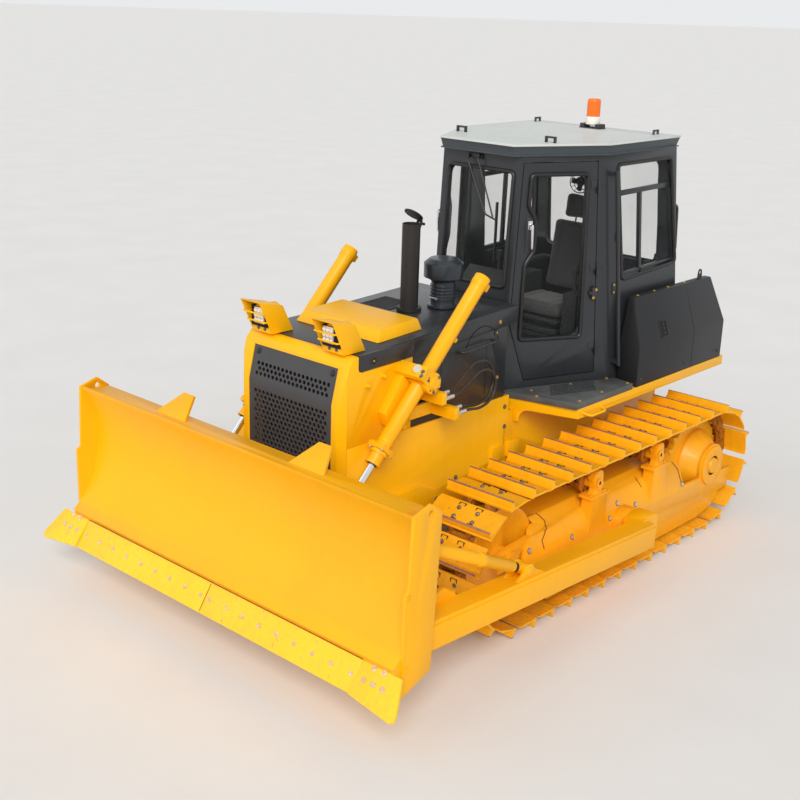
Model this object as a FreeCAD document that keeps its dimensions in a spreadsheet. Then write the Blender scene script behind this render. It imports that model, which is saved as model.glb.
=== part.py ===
"""Crawler bulldozer: steel tracks, closed cab and a straight raised blade.

X runs forward, Y to the machine's left and Z up.  The origin lies on the ground
in the middle of the whole machine.  All lengths are millimetres.
"""
import FreeCAD, Part
import math
import os

import Sketcher
from FreeCAD import Placement, Rotation, Vector

doc = FreeCAD.newDocument("Bulldozer")
sheet = doc.addObject("Spreadsheet::Sheet", "Sizes")

# Driving sizes: name, millimetres (degrees or a count where the name says so), meaning
SIZES = (
    # Tracks
    ("gauge", 1860, "between the middles of the two tracks"),
    ("shoe_width", 510, "one track shoe, across"),
    ("shoe_count", 36, "shoes in one track"),
    ("pin_radius", 362, "pin line round idler and sprocket"),
    ("plate_rise", 64, "pin line to the outside of a shoe plate"),
    ("plate_wall", 14, "shoe plate"),
    ("grouser_rise", 62, "bar that stands on a shoe plate"),
    ("idler_x", 733, "front wheel of the track"),
    ("sprocket_x", -1692, "driving wheel of the track"),
    ("rail_depth", 22, "pin line to the inside of the link rails"),
    ("rail_wall", 28, "one link rail, across"),
    ("rail_spread", 65, "middle of the chain to the middle of a rail"),
    ("seat_gap", 0.3, "play where one piece rests on another"),
    ("idler_width", 150, "front wheel, across"),
    ("idler_rim", 12, "guide ridge of the front wheel above its tread"),
    ("idler_dish", 24, "depth of the dished side of the front wheel"),
    ("idler_hub_radius", 70, "hub of the front wheel"),
    ("roller_radius", 85, "bottom roller tread"),
    ("roller_width", 190, "roller, across its flanges"),
    ("flange_rise", 14, "roller flange above its tread"),
    ("roller_count", 6, "bottom rollers of one track"),
    ("roller_first_x", 350, "foremost bottom roller"),
    ("roller_last_x", -1230, "rearmost bottom roller"),
    ("carrier_radius", 77, "top roller tread"),
    ("carrier_front_x", -165, "front top roller"),
    ("carrier_rear_x", -930, "rear top roller"),
    ("tooth_count", 23, "sprocket teeth, two for each link"),
    ("tooth_depth", 44, "sprocket tooth"),
    ("tooth_tip", 12, "sprocket tooth above the pin line"),
    ("sprocket_width", 52, "sprocket ring"),
    # Track frames
    ("frame_outer", 200, "outside of the track frame, from the track's middle"),
    ("frame_inner", 130, "inside of the track frame, from the track's middle"),
    ("frame_wall", 24, "side plates of the track frame"),
    ("frame_front_x", 330, "front end of the track frame beam"),
    ("frame_rear_x", -1290, "rear end of the track frame beam"),
    ("frame_floor_z", 350, "underside of the beam over the rollers"),
    ("frame_skirt_z", 232, "lower edge of the outer side plate"),
    ("frame_sill_z", 432, "foot of the sloping cover"),
    ("frame_crease_z", 560, "crease of the sloping cover"),
    ("frame_top_z", 650, "top of the sloping cover"),
    ("frame_crease", 156, "crease of the sloping cover, from the track's middle"),
    ("frame_top", 45, "outer edge of the flat top, from the track's middle"),
    ("nose_top_x", 420, "front of the sloping cover at its flat top"),
    ("nose_slope_x", 471, "front of the sloping cover on its slope"),
    ("nose_slope_z", 600, "front of the sloping cover on its slope"),
    ("nose_sill_x", 627, "front of the sloping cover at its foot"),
    ("axle_block_reach", 85, "idler axle block, each way"),
    ("axle_cap_radius", 58, "cap of the idler axle"),
    ("frame_tail_x", -2008, "rear end of the outer side plate"),
    ("frame_tail_top_z", 398, "top of the rear end"),
    ("guard_outer", 174, "outside of the roller guard, from the track's middle"),
    ("guard_wall", 16, "roller guard"),
    ("guard_bottom_z", 84, "lower edge of the roller guard"),
    ("guard_tail_x", -1905, "rear end of the roller guard"),
    ("fork_reach", 120, "idler fork beyond the idler's middle"),
    ("fork_height", 140, "idler fork"),
    ("pillar_foot", 205, "foot of a top roller pillar, along X"),
    ("pillar_head", 110, "head of a top roller pillar, along X"),
    ("pillar_flange_z", 690, "bolted flange of a top roller pillar"),
    # Final drives
    ("drive_case_radius", 215, "inner drive housing"),
    ("drive_cone_radius", 240, "large end of the conical cover"),
    ("drive_flange_radius", 150, "outer flange of the drive"),
    ("drive_spigot_radius", 100, "spigot through the side plate"),
    ("drive_cap_radius", 62, "cap in the middle of the drive"),
    # Hull
    ("hull_half", 450, "half width of the hull"),
    ("hull_wall", 25, "hull side plates"),
    ("hull_rear_x", -1980, "rear face of the hull"),
    ("hull_split_x", -10, "joint between rear case and front frame"),
    ("hull_front_x", 1540, "front end of the side plates"),
    ("hull_bottom_z", 430, "underside of the rear case"),
    ("belly_z", 620, "underside of the front frame"),
    ("sill_z", 1250, "top of the hull side plates"),
    ("deck_z", 1200, "top of the fenders"),
    ("fender_depth", 70, "edge of the fenders"),
    ("fender_wall", 12, "fender plate"),
    ("fender_front_x", -79, "inner front corner of the fenders"),
    ("fender_corner_x", -229, "outer front corner of the fenders"),
    ("fender_rear_x", -2180, "rear edge of the fenders"),
    ("fender_inner_y", 369, "inner edge of the fenders"),
    ("step_height", 45, "tread plate beside the cab"),
    ("step_rear_x", -905, "rear end of the tread plate"),
    ("apron_leg_z", 1040, "foot of the leg at a fender's front"),
    ("apron_leg", 42, "leg at a fender's front"),
    ("apron_arch", 70, "arch beside the leg"),
    ("rail_radius", 9, "bent grab bars"),
    ("step_bar_reach", 60, "bar outside a fender"),
    ("step_bar_length", 210, "bar outside a fender"),
    ("equalizer_x", 250, "front cross beam"),
    ("equalizer_z", 520, "front cross beam"),
    ("equalizer_height", 130, "front cross beam"),
    ("equalizer_depth", 110, "front cross beam, along X"),
    ("pivot_shaft_x", -1000, "rear cross shaft"),
    ("pivot_shaft_radius", 65, "rear cross shaft"),
    # Drawbar
    ("hull_pad_wall", 24, "pads on the hull's sides"),
    ("hull_pad_front_x", 170, "front of the foremost pad"),
    ("hull_pad_length", 120, "pad, along X"),
    ("hull_pad_low_z", 810, "lower edge of the pads"),
    ("hull_pad_height", 106, "pad"),
    ("bracket_front_x", 1225, "front of the side bracket under the guard"),
    ("bracket_rear_x", 720, "rear of the side bracket under the guard"),
    ("bracket_top_z", 852, "top of the side bracket under the guard"),
    ("bracket_wall", 30, "side bracket under the guard"),
    ("drawbar_end_x", -2350, "rear end of the drawbar"),
    ("drawbar_half", 75, "half width of the drawbar"),
    ("drawbar_z", 500, "middle of the drawbar"),
    ("drawbar_height", 50, "one drawbar jaw"),
    ("drawbar_gap", 70, "between the drawbar jaws"),
    ("tow_pin_radius", 25, "bore of the tow pin"),
    ("tow_pin_inset", 75, "tow pin to the drawbar's end"),
    # Radiator guard, hood and what stands on it
    ("guard_edge", 40, "corner bevel of the radiator guard"),
    ("guard_front_x", 1589, "front of the radiator guard"),
    ("guard_top_x", 1530, "top front edge of the radiator guard"),
    ("guard_bend_z", 1516, "bend of the front"),
    ("guard_brow_z", 1750, "top of the sloping front"),
    ("guard_top_z", 1797, "top of the radiator guard"),
    ("guard_low_z", 760, "lower edge of the radiator guard"),
    ("guard_back_x", 985, "rear edge of the radiator guard"),
    ("guard_skin", 30, "wall of the radiator guard"),
    ("grille_half", 363, "half width of the grille"),
    ("grille_wall", 8, "grille plate"),
    ("grille_inset", 6, "grille behind the front"),
    ("grille_low_z", 820, "lower edge of the grille"),
    ("grille_pitch", 36, "between two holes of the grille"),
    ("grille_hole", 14, "corner radius of a hole in the grille"),
    ("grille_margin", 52, "edge of the grille to its outer holes"),
    ("grille_rows", 19, "rows of holes in the upright panel"),
    ("brow_rows", 3, "rows of holes in the slanting panel"),
    ("peg_radius", 11, "pegs on the guard's sides"),
    ("peg_reach", 32, "pegs on the guard's sides"),
    ("hood_half", 440, "half width of the hood"),
    ("hood_front_x", 1451, "front of the hood"),
    ("hood_rear_x", -72, "rear of the hood"),
    ("hood_front_z", 1802, "hood top at the front"),
    ("hood_rear_z", 1856, "hood top at the rear"),
    ("hood_depth", 110, "edge of the hood"),
    ("hood_wall", 12, "hood plate"),
    ("cover_front_x", 1200, "front of the raised hood cover"),
    ("cover_rear_x", 795, "rear of the raised hood cover"),
    ("cover_half", 365, "half width of the raised hood cover"),
    ("cover_rise", 72, "raised hood cover"),
    ("cover_bevel", 48, "edge bevel of the raised hood cover"),
    ("panel_rear_x", 40, "rear edge of the side panels"),
    ("panel_wall", 14, "side panel"),
    ("panel_bar_x", 203, "rear end of the bar on a side panel"),
    ("panel_bar_length", 349, "bar on a side panel"),
    ("panel_bar_z", 1673, "rear end of the bar on a side panel"),
    ("panel_bar_drop", 17, "fall of the bar on a side panel"),
    ("panel_bar_reach", 55, "bar on a side panel"),
    ("exhaust_x", 531, "exhaust pipe"),
    ("exhaust_radius", 59, "exhaust pipe"),
    ("exhaust_wall", 5, "exhaust pipe"),
    ("exhaust_top_z", 2408, "top of the exhaust pipe"),
    ("cap_angle", 38, "open rain cap, degrees"),
    ("cleaner_x", 313, "air cleaner"),
    ("cleaner_y", 100, "air cleaner"),
    ("cleaner_neck_radius", 79, "air cleaner neck"),
    ("cleaner_radius", 130, "air cleaner bowl"),
    ("cleaner_bowl_z", 2050, "bottom of the air cleaner bowl"),
    ("cleaner_foot", 20, "foot flange of the air cleaner beyond its neck"),
    ("cleaner_rib", 6, "ribs round the air cleaner's neck"),
    ("cleaner_ribs", 4, "ribs round the air cleaner's neck"),
    ("cleaner_top_z", 2172, "top of the air cleaner"),
    ("lamp_front_x", 1621, "tip of a lamp hood"),
    ("lamp_inner_y", 222, "inner side of a lamp hood"),
    ("lamp_outer_y", 398, "outer side of a lamp hood"),
    ("lamp_wall", 6, "lamp hood plate"),
    ("lamp_low_x", 1347, "lower rear corner of a lamp hood"),
    ("lamp_back_x", 1433, "upper rear corner of a lamp hood"),
    ("lamp_back_z", 1975, "upper rear corner of a lamp hood"),
    ("lamp_tip_z", 2018, "tip of a lamp hood"),
    ("lamp_face_radius", 66, "round lamp"),
    ("engine_length", 900, "engine block"),
    ("engine_width", 520, "engine block"),
    ("engine_height", 900, "engine block"),
    ("engine_rear_x", 60, "rear of the engine block"),
    # Cab
    ("cab_low_z", 1200, "foot of the cab"),
    ("cab_top_z", 2815, "top of the cab walls"),
    ("cab_wall", 45, "cab walls and doors"),
    ("cab_front_low_x", -67, "front corner at the foot"),
    ("cab_front_low_y", 325, "front corner at the foot"),
    ("cab_side_low_x", -867, "side corner at the foot"),
    ("cab_side_low_y", 677, "side corner at the foot"),
    ("cab_rear_low_x", -1757, "rear corner at the foot"),
    ("cab_rear_low_y", 690, "rear corner at the foot"),
    ("cab_front_top_x", -157, "front corner at the top"),
    ("cab_front_top_y", 335, "front corner at the top"),
    ("cab_side_top_x", -737, "side corner at the top"),
    ("cab_side_top_y", 590, "side corner at the top"),
    ("cab_rear_top_x", -1612, "rear corner at the top"),
    ("cab_rear_top_y", 615, "rear corner at the top"),
    ("cab_floor", 40, "cab floor"),
    ("door_gap", 6, "gap round a door"),
    ("door_swing_offset", 14, "hinge line outside the door"),
    ("hinge_radius", 11, "door hinge barrel"),
    ("hinge_barrel", 90, "door hinge, along its line"),
    ("hinge_leaf", 55, "door hinge leaf"),
    ("hinge_wall", 5, "door hinge leaf"),
    ("hinge_stem", 8, "stem between a hinge barrel and its leaf"),
    ("hinge_sunk", 3, "weld of a hinge leaf"),
    ("glass_wall", 6, "window glass"),
    ("glass_inset", 18, "glass behind the outside of its wall"),
    ("windshield_half", 278, "half width of the windshield"),
    ("windshield_low_z", 1940, "lower edge of the windshield"),
    ("windshield_top_z", 2710, "upper edge of the windshield"),
    ("rear_window_half", 500, "half width of the rear window"),
    ("window_corner", 70, "rounding of the windows' corners"),
    ("post_radius", 14, "grab post behind a door"),
    ("post_back", 45, "grab post behind the cab's side corner"),
    ("post_reach", 62, "grab post outside the cab's side corner"),
    ("post_low_z", 1340, "foot of the grab post"),
    ("post_top_z", 2712, "top of the grab post"),
    ("corner_rail_y", 600, "grab rail behind the cab"),
    ("corner_rail_low_z", 2030, "foot of the grab rail behind the cab"),
    ("corner_rail_top_z", 2380, "top of the grab rail behind the cab"),
    ("corner_rail_reach", 78, "grab rail behind the cab"),
    ("roof_front_x", -79, "front edge of the roof"),
    ("roof_front_y", 312, "front corner of the roof"),
    ("roof_side_x", -721, "side corner of the roof"),
    ("roof_side_y", 640, "side corner of the roof"),
    ("roof_rear_x", -1619, "rear edge of the roof"),
    ("roof_lip", 8, "lip under the roof's fascia"),
    ("roof_fascia", 57, "leaning fascia under the roof plate"),
    ("roof_plate", 12, "roof plate"),
    ("roof_crown", 3, "rise of the roof plate's top"),
    ("roof_inset", 20, "foot of the fascia behind the roof plate's edge"),
    ("roof_bevel", 30, "sloping margin of the roof plate"),
    ("roof_lug_x", -1500, "lifting lugs on the roof"),
    ("roof_lug_y", 520, "lifting lugs on the roof"),
    ("roof_lug", 70, "lifting lug on the roof, along X"),
    ("beacon_x", -1437, "beacon"),
    ("beacon_radius", 55, "beacon lens"),
    ("beacon_height", 225, "beacon above the roof"),
    ("seat_x", -1080, "seat"),
    ("seat_half", 250, "half width of the seat"),
    ("console_inner", 285, "inner side of a console"),
    ("console_width", 115, "console"),
    ("console_height", 560, "console above the cab's floor"),
    ("console_front_x", -800, "front of the consoles"),
    ("console_rear_x", -1330, "rear of the consoles"),
    ("lever_radius", 12, "control lever"),
    ("lever_height", 205, "control lever above its console"),
    ("knob_radius", 22, "knob of a control lever"),
    ("dash_x", -330, "rear of the dash's foot"),
    ("dash_half", 200, "half width of the dash"),
    ("dash_height", 640, "front edge of the dash above the cab's floor"),
    # Side boxes and rear tank
    ("box_gap", 12, "cab's rear corner to a side box"),
    ("box_width", 168, "side box at its foot"),
    ("box_low_z", 1200, "foot of a side box"),
    ("box_waist_z", 1490, "bend of a side box"),
    ("box_top_z", 1820, "top of a side box"),
    ("box_top_width", 53, "side box at its top"),
    ("box_front_x", -937, "front of a side box"),
    ("box_rear_x", -2137, "rear of a side box"),
    ("box_tail_bevel", 70, "rear bevel of a side box"),
    ("box_ear_x", -1942, "lifting ear on a side box"),
    ("box_ear_height", 78, "lifting ear on a side box"),
    ("box_ear_half", 32, "half width of the lifting ear's foot"),
    ("box_ear_wall", 12, "lifting ear on a side box"),
    ("box_ear_hole", 13, "hole in the lifting ear"),
    ("tank_front_x", -1775, "front of the rear tank"),
    ("tank_gap", 62, "rear tank to a side box"),
    ("tank_top_z", 1690, "top of the rear tank"),
    # Blade
    ("blade_margin", 44, "blade's side plates outside the push arms"),
    ("blade_side_wall", 20, "blade side plate"),
    ("board_deep_x", 1970, "deepest line of the board's face"),
    ("board_z", 945, "middle of the board's curve"),
    ("board_radius", 622, "front face of the board"),
    ("board_wall", 20, "board plate"),
    ("board_low_z", 470, "lower edge of the board"),
    ("board_top_z", 1303, "upper edge of the board"),
    ("beam_back_x", 1912, "back of the blade's lower beam"),
    ("beam_low_z", 380, "underside of the lower beam"),
    ("beam_top_z", 640, "top of the lower beam"),
    ("rim_inset", 70, "end of the upper beam inside a side plate"),
    ("edge_slope", 56.8, "slope of the cutting edge, degrees"),
    ("edge_length", 190, "cutting edge plate, down its slope"),
    ("edge_wall", 22, "cutting edge plate"),
    ("edge_inset", 219, "end of the cutting edge inside the blade's side plates"),
    ("edge_lead", 12.6, "upper front line of the cutting edge before the board"),
    ("edge_drop", 10, "upper front line of the cutting edge below the board"),
    ("tip_slope", 50, "slope of the end bits, degrees"),
    ("tip_overhang", 123.5, "outer point of an end bit outside the side plates"),
    ("tip_reach", 228.7, "end bit at its outer point, down its slope"),
    ("ear_radius", 19, "lifting eye in a blade side plate"),
    ("ear_x", 1956, "lifting eye"),
    ("ear_z", 1290, "lifting eye"),
    # Push arms and braces
    ("pivot_x", -485, "push arm pivot"),
    ("pivot_z", 422, "push arm pivot"),
    ("trunnion_radius", 50, "push arm trunnion"),
    ("arm_gap", 90, "track shoe to a push arm"),
    ("arm_width", 150, "push arm, across"),
    ("arm_rear_x", -427, "rear end of a push arm"),
    ("arm_rear_z", 318, "underside at the rear"),
    ("arm_front_z", 447, "underside at the front"),
    ("arm_height", 166, "push arm"),
    ("arm_bevel", 24, "bevel along the top outer edge"),
    ("brace_inset", 80, "middle of a brace inside the push arm's outside"),
    ("brace_low_x", 961, "lower pin of a brace"),
    ("brace_low_z", 602, "lower pin of a brace"),
    ("brace_high_x", 1890, "upper pin of a brace"),
    ("brace_high_z", 1045, "upper pin of a brace"),
    ("brace_radius", 38, "screw brace tube"),
    ("brace_eye_radius", 37, "brace eye"),
    ("brace_eye_width", 70, "brace eye"),
    ("lug_wall", 18, "bracket plates"),
    ("pin_head_radius", 26, "head of a pin"),
    ("pin_head", 9, "head of a pin, along its axis"),
    ("tilt_radius", 52, "tilt cylinder"),
    # Lift cylinders
    ("lift_gap", 120, "radiator guard to the plane of a lift cylinder"),
    ("trunnion_x", 1031, "middle of the lift cylinder's trunnion"),
    ("trunnion_z", 1600, "middle of the lift cylinder's trunnion"),
    ("lift_pin_x", 1805, "rod end pin on the blade"),
    ("lift_pin_z", 807, "rod end pin on the blade"),
    ("lift_upper", 754, "cylinder above the trunnion"),
    ("lift_lower", 540, "cylinder below the trunnion"),
    ("lift_radius", 47.5, "lift cylinder tube"),
    ("lift_bore", 39, "lift cylinder bore"),
    ("rod_radius", 22.5, "lift cylinder rod"),
    ("rod_play", 0.5, "play round rod and piston"),
    ("rod_eye_radius", 44, "rod eye"),
    ("rod_eye_width", 60, "rod eye"),
    ("lift_pin_radius", 28, "trunnion pin"),
    ("pipe_radius", 8, "oil pipes of a lift cylinder"),
    ("pipe_stand", 15, "oil pipe's middle beyond the tube"),
    ("port_half", 22, "half width of the port blocks"),
    ("yoke_radius", 66, "yoke boss"),
    ("yoke_wall", 34, "yoke arm"),
)


def fill_sheet(rows):
    """Put every driving size into the sheet as a plain number with its alias."""
    for number, (name, value, meaning) in enumerate(rows, start=1):
        sheet.set("A%d" % number, meaning)
        sheet.set("B%d" % number, str(value))
        sheet.setAlias("B%d" % number, name)
    doc.recompute()


class Size:
    """A number together with the expression of sheet cells that it comes from."""

    def __init__(self, number, text):
        self.number = float(number)
        self.text = text

    def __add__(self, other):
        other = sized(other)
        return Size(self.number + other.number, "(%s + %s)" % (self.text, other.text))

    def __sub__(self, other):
        other = sized(other)
        return Size(self.number - other.number, "(%s - %s)" % (self.text, other.text))

    def __mul__(self, other):
        other = sized(other)
        return Size(self.number * other.number, "(%s * %s)" % (self.text, other.text))

    def __truediv__(self, other):
        other = sized(other)
        return Size(self.number / other.number, "(%s / %s)" % (self.text, other.text))

    def __radd__(self, other):
        return sized(other) + self

    def __rsub__(self, other):
        return sized(other) - self

    def __rmul__(self, other):
        return sized(other) * self

    def __rtruediv__(self, other):
        return sized(other) / self

    def __neg__(self):
        return sized(0) - self


def sized(value):
    """Any plain number as a Size."""
    if isinstance(value, Size):
        return value
    return Size(value, "(%r)" % float(value))


class SheetSizes:
    """The cells of the sheet by their aliases, each as a Size."""

    def __getattr__(self, name):
        return Size(sheet.get(name), "Sizes.%s" % name)


def sine(angle):
    return Size(math.sin(math.radians(angle.number)), "sin(%s * 1 deg)" % angle.text)


def cosine(angle):
    return Size(math.cos(math.radians(angle.number)), "cos(%s * 1 deg)" % angle.text)


def root(value):
    return Size(math.sqrt(value.number), "sqrt(%s)" % value.text)


def slope(run, fall):
    """Angle in degrees of a line that drops by fall over run."""
    return Size(math.degrees(math.atan2(fall.number, run.number)),
                "(atan2(%s; %s) / 1 deg)" % (fall.text, run.text))


def bind(thing, prop, value):
    """Tie one property of an object to the sheet."""
    thing.setExpression(prop, sized(value).text)


# Directions of the three drawing planes
TURNS = {
    "XY": Rotation(),
    "XZ": Rotation(Vector(1, 0, 0), 90),
    "YZ": Rotation(Vector(1, 1, 1), 120),
}
ACROSS = {
    "XY": (Vector(0, 0, 1), "z"),
    "XZ": (Vector(0, 1, 0), "y"),
    "YZ": (Vector(1, 0, 0), "x"),
}
ALONG = {
    "X": Rotation(Vector(0, 1, 0), 90),
    "Y": Rotation(Vector(1, 0, 0), -90),
    "Z": Rotation(),
}


def drawing(name, plane, outline, offset):
    """Closed sketch through the outline's points; a third value makes the line to a point an arc.

    The arc has that radius and bulges to the left of its way for a positive value.
    """
    sketch = doc.addObject("Sketcher::SketchObject", name)
    sketch.Placement = Placement(Vector(), TURNS[plane])
    bind(sketch, "Placement.Base.%s" % ACROSS[plane][1], offset)
    points = [(sized(point[0]), sized(point[1])) for point in outline]
    places = [Vector(a.number, b.number, 0) for a, b in points]
    count = len(places)
    for index in range(count):
        start, end = places[index], places[(index + 1) % count]
        radius = outline[(index + 1) % count][2:]
        if radius:
            sketch.addGeometry(arc_between(start, end, sized(radius[0]).number), False)
        else:
            sketch.addGeometry(Part.LineSegment(start, end), False)
    # An arc that runs clockwise starts, for the sketch, at its far end
    ends = []
    for index in range(count):
        radius = outline[(index + 1) % count][2:]
        turned = bool(radius) and sized(radius[0]).number > 0
        ends.append((2, 1) if turned else (1, 2))
    for index in range(count):
        following = (index + 1) % count
        sketch.addConstraint(Sketcher.Constraint(
            "Coincident", index, ends[index][1], following, ends[following][0]))
    for index, (a, b) in enumerate(points):
        for kind, size in (("DistanceX", a), ("DistanceY", b)):
            number = sketch.addConstraint(Sketcher.Constraint(
                kind, -1, 1, index, ends[index][0], size.number))
            sketch.setExpression("Constraints[%d]" % number, size.text)
    for index in range(count):
        radius = outline[(index + 1) % count][2:]
        if radius:
            size = sized(radius[0])
            number = sketch.addConstraint(Sketcher.Constraint("Radius", index, abs(size.number)))
            sketch.setExpression("Constraints[%d]" % number, "abs(%s)" % size.text)
    return sketch


def arc_between(start, end, radius):
    """Short arc from start to end that bulges to the left for a positive radius."""
    chord = end - start
    middle = (start + end) * 0.5
    left = Vector(-chord.y, chord.x, 0).normalize()
    side = 1 if radius > 0 else -1
    depth = math.sqrt(max(radius * radius - chord.Length ** 2 / 4, 0))
    crown = middle + left * side * (abs(radius) - depth)
    return Part.Arc(start, crown, end)


def prism(name, plane, outline, low, high):
    """Straight prism of an outline, from low to high across its plane."""
    low, high = sized(low), sized(high)
    sketch = drawing(name + "Outline", plane, outline, low)
    solid = doc.addObject("Part::Extrusion", name)
    solid.Base = sketch
    solid.DirMode = "Custom"
    solid.Dir = ACROSS[plane][0]
    solid.Solid = True
    bind(solid, "LengthFwd", high - low)
    return solid


def spin(name, outline, x, z):
    """Solid of revolution about a line along Y; the outline's points are (y, radius)."""
    sketch = drawing(name + "Outline", "YZ", outline, x)
    bind(sketch, "Placement.Base.z", z)
    solid = doc.addObject("Part::Revolution", name)
    solid.Source = sketch
    solid.Axis = Vector(0, 1, 0)
    solid.Angle = 360
    solid.Solid = True
    bind(solid, "Base.x", x)
    bind(solid, "Base.z", z)
    return solid


def box(name, x, y, z):
    """Block between two values along each direction."""
    solid = doc.addObject("Part::Box", name)
    for prop, way, (low, high) in (("Length", "x", x), ("Width", "y", y), ("Height", "z", z)):
        bind(solid, prop, sized(high) - sized(low))
        bind(solid, "Placement.Base.%s" % way, low)
    return solid


def rod(name, axis, place, low, high, radius, far_radius=None):
    """Cylinder or cone along an axis; place gives the two other coordinates."""
    kind = "Part::Cylinder" if far_radius is None else "Part::Cone"
    solid = doc.addObject(kind, name)
    solid.Placement = Placement(Vector(), ALONG[axis])
    others = [way for way in "xyz" if way != axis.lower()]
    for way, value in zip(others, place):
        bind(solid, "Placement.Base.%s" % way, value)
    bind(solid, "Placement.Base.%s" % axis.lower(), low)
    bind(solid, "Height", sized(high) - sized(low))
    if far_radius is None:
        bind(solid, "Radius", radius)
    else:
        bind(solid, "Radius1", radius)
        bind(solid, "Radius2", far_radius)
    return solid


def fuse(name, *pieces):
    solid = doc.addObject("Part::MultiFuse", name)
    solid.Shapes = list(pieces)
    return solid


def cut(name, base, *tools):
    solid = doc.addObject("Part::Cut", name)
    solid.Base = base
    solid.Tool = tools[0] if len(tools) == 1 else fuse(name + "Tools", *tools)
    return solid


def common(name, *pieces):
    solid = doc.addObject("Part::MultiCommon", name)
    solid.Shapes = list(pieces)
    return solid


def group(name, *pieces):
    """Several solids that don't touch, kept as one piece."""
    solid = doc.addObject("Part::Compound", name)
    solid.Links = list(pieces)
    return solid


def tilt(solid, x, y, z, angle):
    """Turn a piece drawn about the origin nose down by angle and move it to its place."""
    solid.Placement = Placement(Vector(), Rotation(Vector(0, 1, 0), angle.number))
    for way, value in zip("xyz", (x, y, z)):
        bind(solid, "Placement.Base.%s" % way, value)
    solid.setExpression("Placement.Rotation.Angle", "%s * 1 deg" % angle.text)
    return solid


def other_side(name, piece):
    """The same piece on the machine's right."""
    solid = doc.addObject("Part::Mirroring", name)
    solid.Source = piece
    solid.Normal = Vector(0, 1, 0)
    return solid


def shaped(name, shape):
    """Piece whose shape is worked out here from the sheet's values."""
    solid = doc.addObject("Part::Feature", name)
    solid.Shape = shape
    return solid


def bent_path(points):
    """Straight runs joined by tangent arcs, each as large as its two runs allow."""
    edges, start, radii = [], points[0], []
    for index in range(1, len(points) - 1):
        here = points[index]
        before, after = here - points[index - 1], points[index + 1] - here
        turn = before.getAngle(after)
        reach = 0.45 * min(before.Length, after.Length)
        radii.append(reach / math.tan(turn / 2))
        first = here - before.normalize() * reach
        last = here + after.normalize() * reach
        toward = (first + last) * 0.5 - here
        spread = radii[-1] / math.cos(turn / 2) - radii[-1]
        crown = here + toward.normalize() * spread
        edges.append(Part.LineSegment(start, first).toShape())
        edges.append(Part.Arc(first, crown, last).toShape())
        start = last
    edges.append(Part.LineSegment(start, points[-1]).toShape())
    return Part.Wire(edges), radii


def bar(points, radius):
    """Round bar bent through the points, with its path and the radii of its bends."""
    path, radii = bent_path([Vector(*point) for point in points])
    start = path.Edges[0]
    ring = Part.Wire(Part.makeCircle(radius, start.Vertexes[0].Point,
                                     start.tangentAt(start.FirstParameter)))
    return path.makePipeShell([ring], True, True), path, radii


def rounded(outline, radius):
    """Outline with every corner eased into four chords."""
    points = []
    for index, corner in enumerate(outline):
        here = Vector(*corner, 0)
        before = Vector(*outline[index - 1], 0) - here
        after = Vector(*outline[(index + 1) % len(outline)], 0) - here
        turn = math.pi - before.getAngle(after)
        reach = min(radius * math.tan(turn / 2), 0.45 * min(before.Length, after.Length))
        first = before.normalize() * reach
        last = after.normalize() * reach
        for step in range(5):
            share = step / 4
            point = here + first * (1 - share) ** 2 + last * share ** 2
            points.append((point.x, point.y))
    return points


NODES = []


def node(label, solid):
    """Name a finished sub-part."""
    solid.Label = label
    NODES.append(solid)
    return solid


def pair(stem, name, piece):
    """A finished sub-part on the left and its twin on the right."""
    node(stem + "_left", piece)
    node(stem + "_right", other_side(name + "Right", piece))


def val(name):
    return float(sheet.get(name))


fill_sheet(SIZES)
size = SheetSizes()
track_y = size.gauge / 2
frame_outer_y = track_y + size.frame_outer
frame_inner_y = track_y - size.frame_inner
frame_crease_y = track_y + size.frame_crease
frame_top_y = track_y + size.frame_top
guard_outer_y = track_y + size.guard_outer
arm_inner_y = track_y + size.shoe_width / 2 + size.arm_gap
arm_outer_y = arm_inner_y + size.arm_width
brace_y = arm_outer_y - size.brace_inset
blade_half = arm_outer_y + size.blade_margin
edge_half = blade_half - size.edge_inset
tip_outer_y = blade_half + size.tip_overhang
guard_half = size.hull_half
lift_y = guard_half + size.lift_gap
box_inner_y = size.cab_rear_low_y + size.box_gap
box_top_y = box_inner_y + size.box_top_width
fender_outer_y = box_inner_y + size.box_width
tank_half = box_inner_y - size.tank_gap
board_x = size.board_deep_x + size.board_radius
axle_z = size.pin_radius + size.plate_rise + size.grouser_rise
run_top_z = axle_z + size.pin_radius - size.rail_depth
run_low_z = axle_z - size.pin_radius + size.rail_depth


# Track chain: positions round the pin line and the outline of one shoe
def pin_place(way):
    """Point of the pin line at a distance along it, from above the sprocket forwards."""
    radius = val("pin_radius")
    base = val("idler_x") - val("sprocket_x")
    bend = math.pi * radius
    height = axle_z.number
    way = way % (2 * base + 2 * bend)
    if way < base:
        return Vector(val("sprocket_x") + way, 0, height + radius)
    if way < base + bend:
        turn = (way - base) / radius
        return Vector(val("idler_x") + radius * math.sin(turn), 0, height + radius * math.cos(turn))
    if way < 2 * base + bend:
        return Vector(val("idler_x") - (way - base - bend), 0, height - radius)
    turn = (way - 2 * base - bend) / radius
    return Vector(val("sprocket_x") - radius * math.sin(turn), 0, height - radius * math.cos(turn))


def chain_pins():
    base = val("idler_x") - val("sprocket_x")
    length = 2 * base + 2 * math.pi * val("pin_radius")
    count = int(val("shoe_count"))
    return [pin_place(length * index / count) for index in range(count)]


def chain_ring(profile):
    """Closed outline that repeats a profile of (share of the pitch, height) on every link."""
    pins = chain_pins()
    points = []
    for index, start in enumerate(pins):
        way = pins[(index + 1) % len(pins)] - start
        out = Vector(-way.z, 0, way.x).normalize()
        for share, height in profile:
            points.append(start + way * share + out * height)
    return points


def face_of(points):
    return Part.Face(Part.makePolygon(points + points[:1]))


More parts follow.
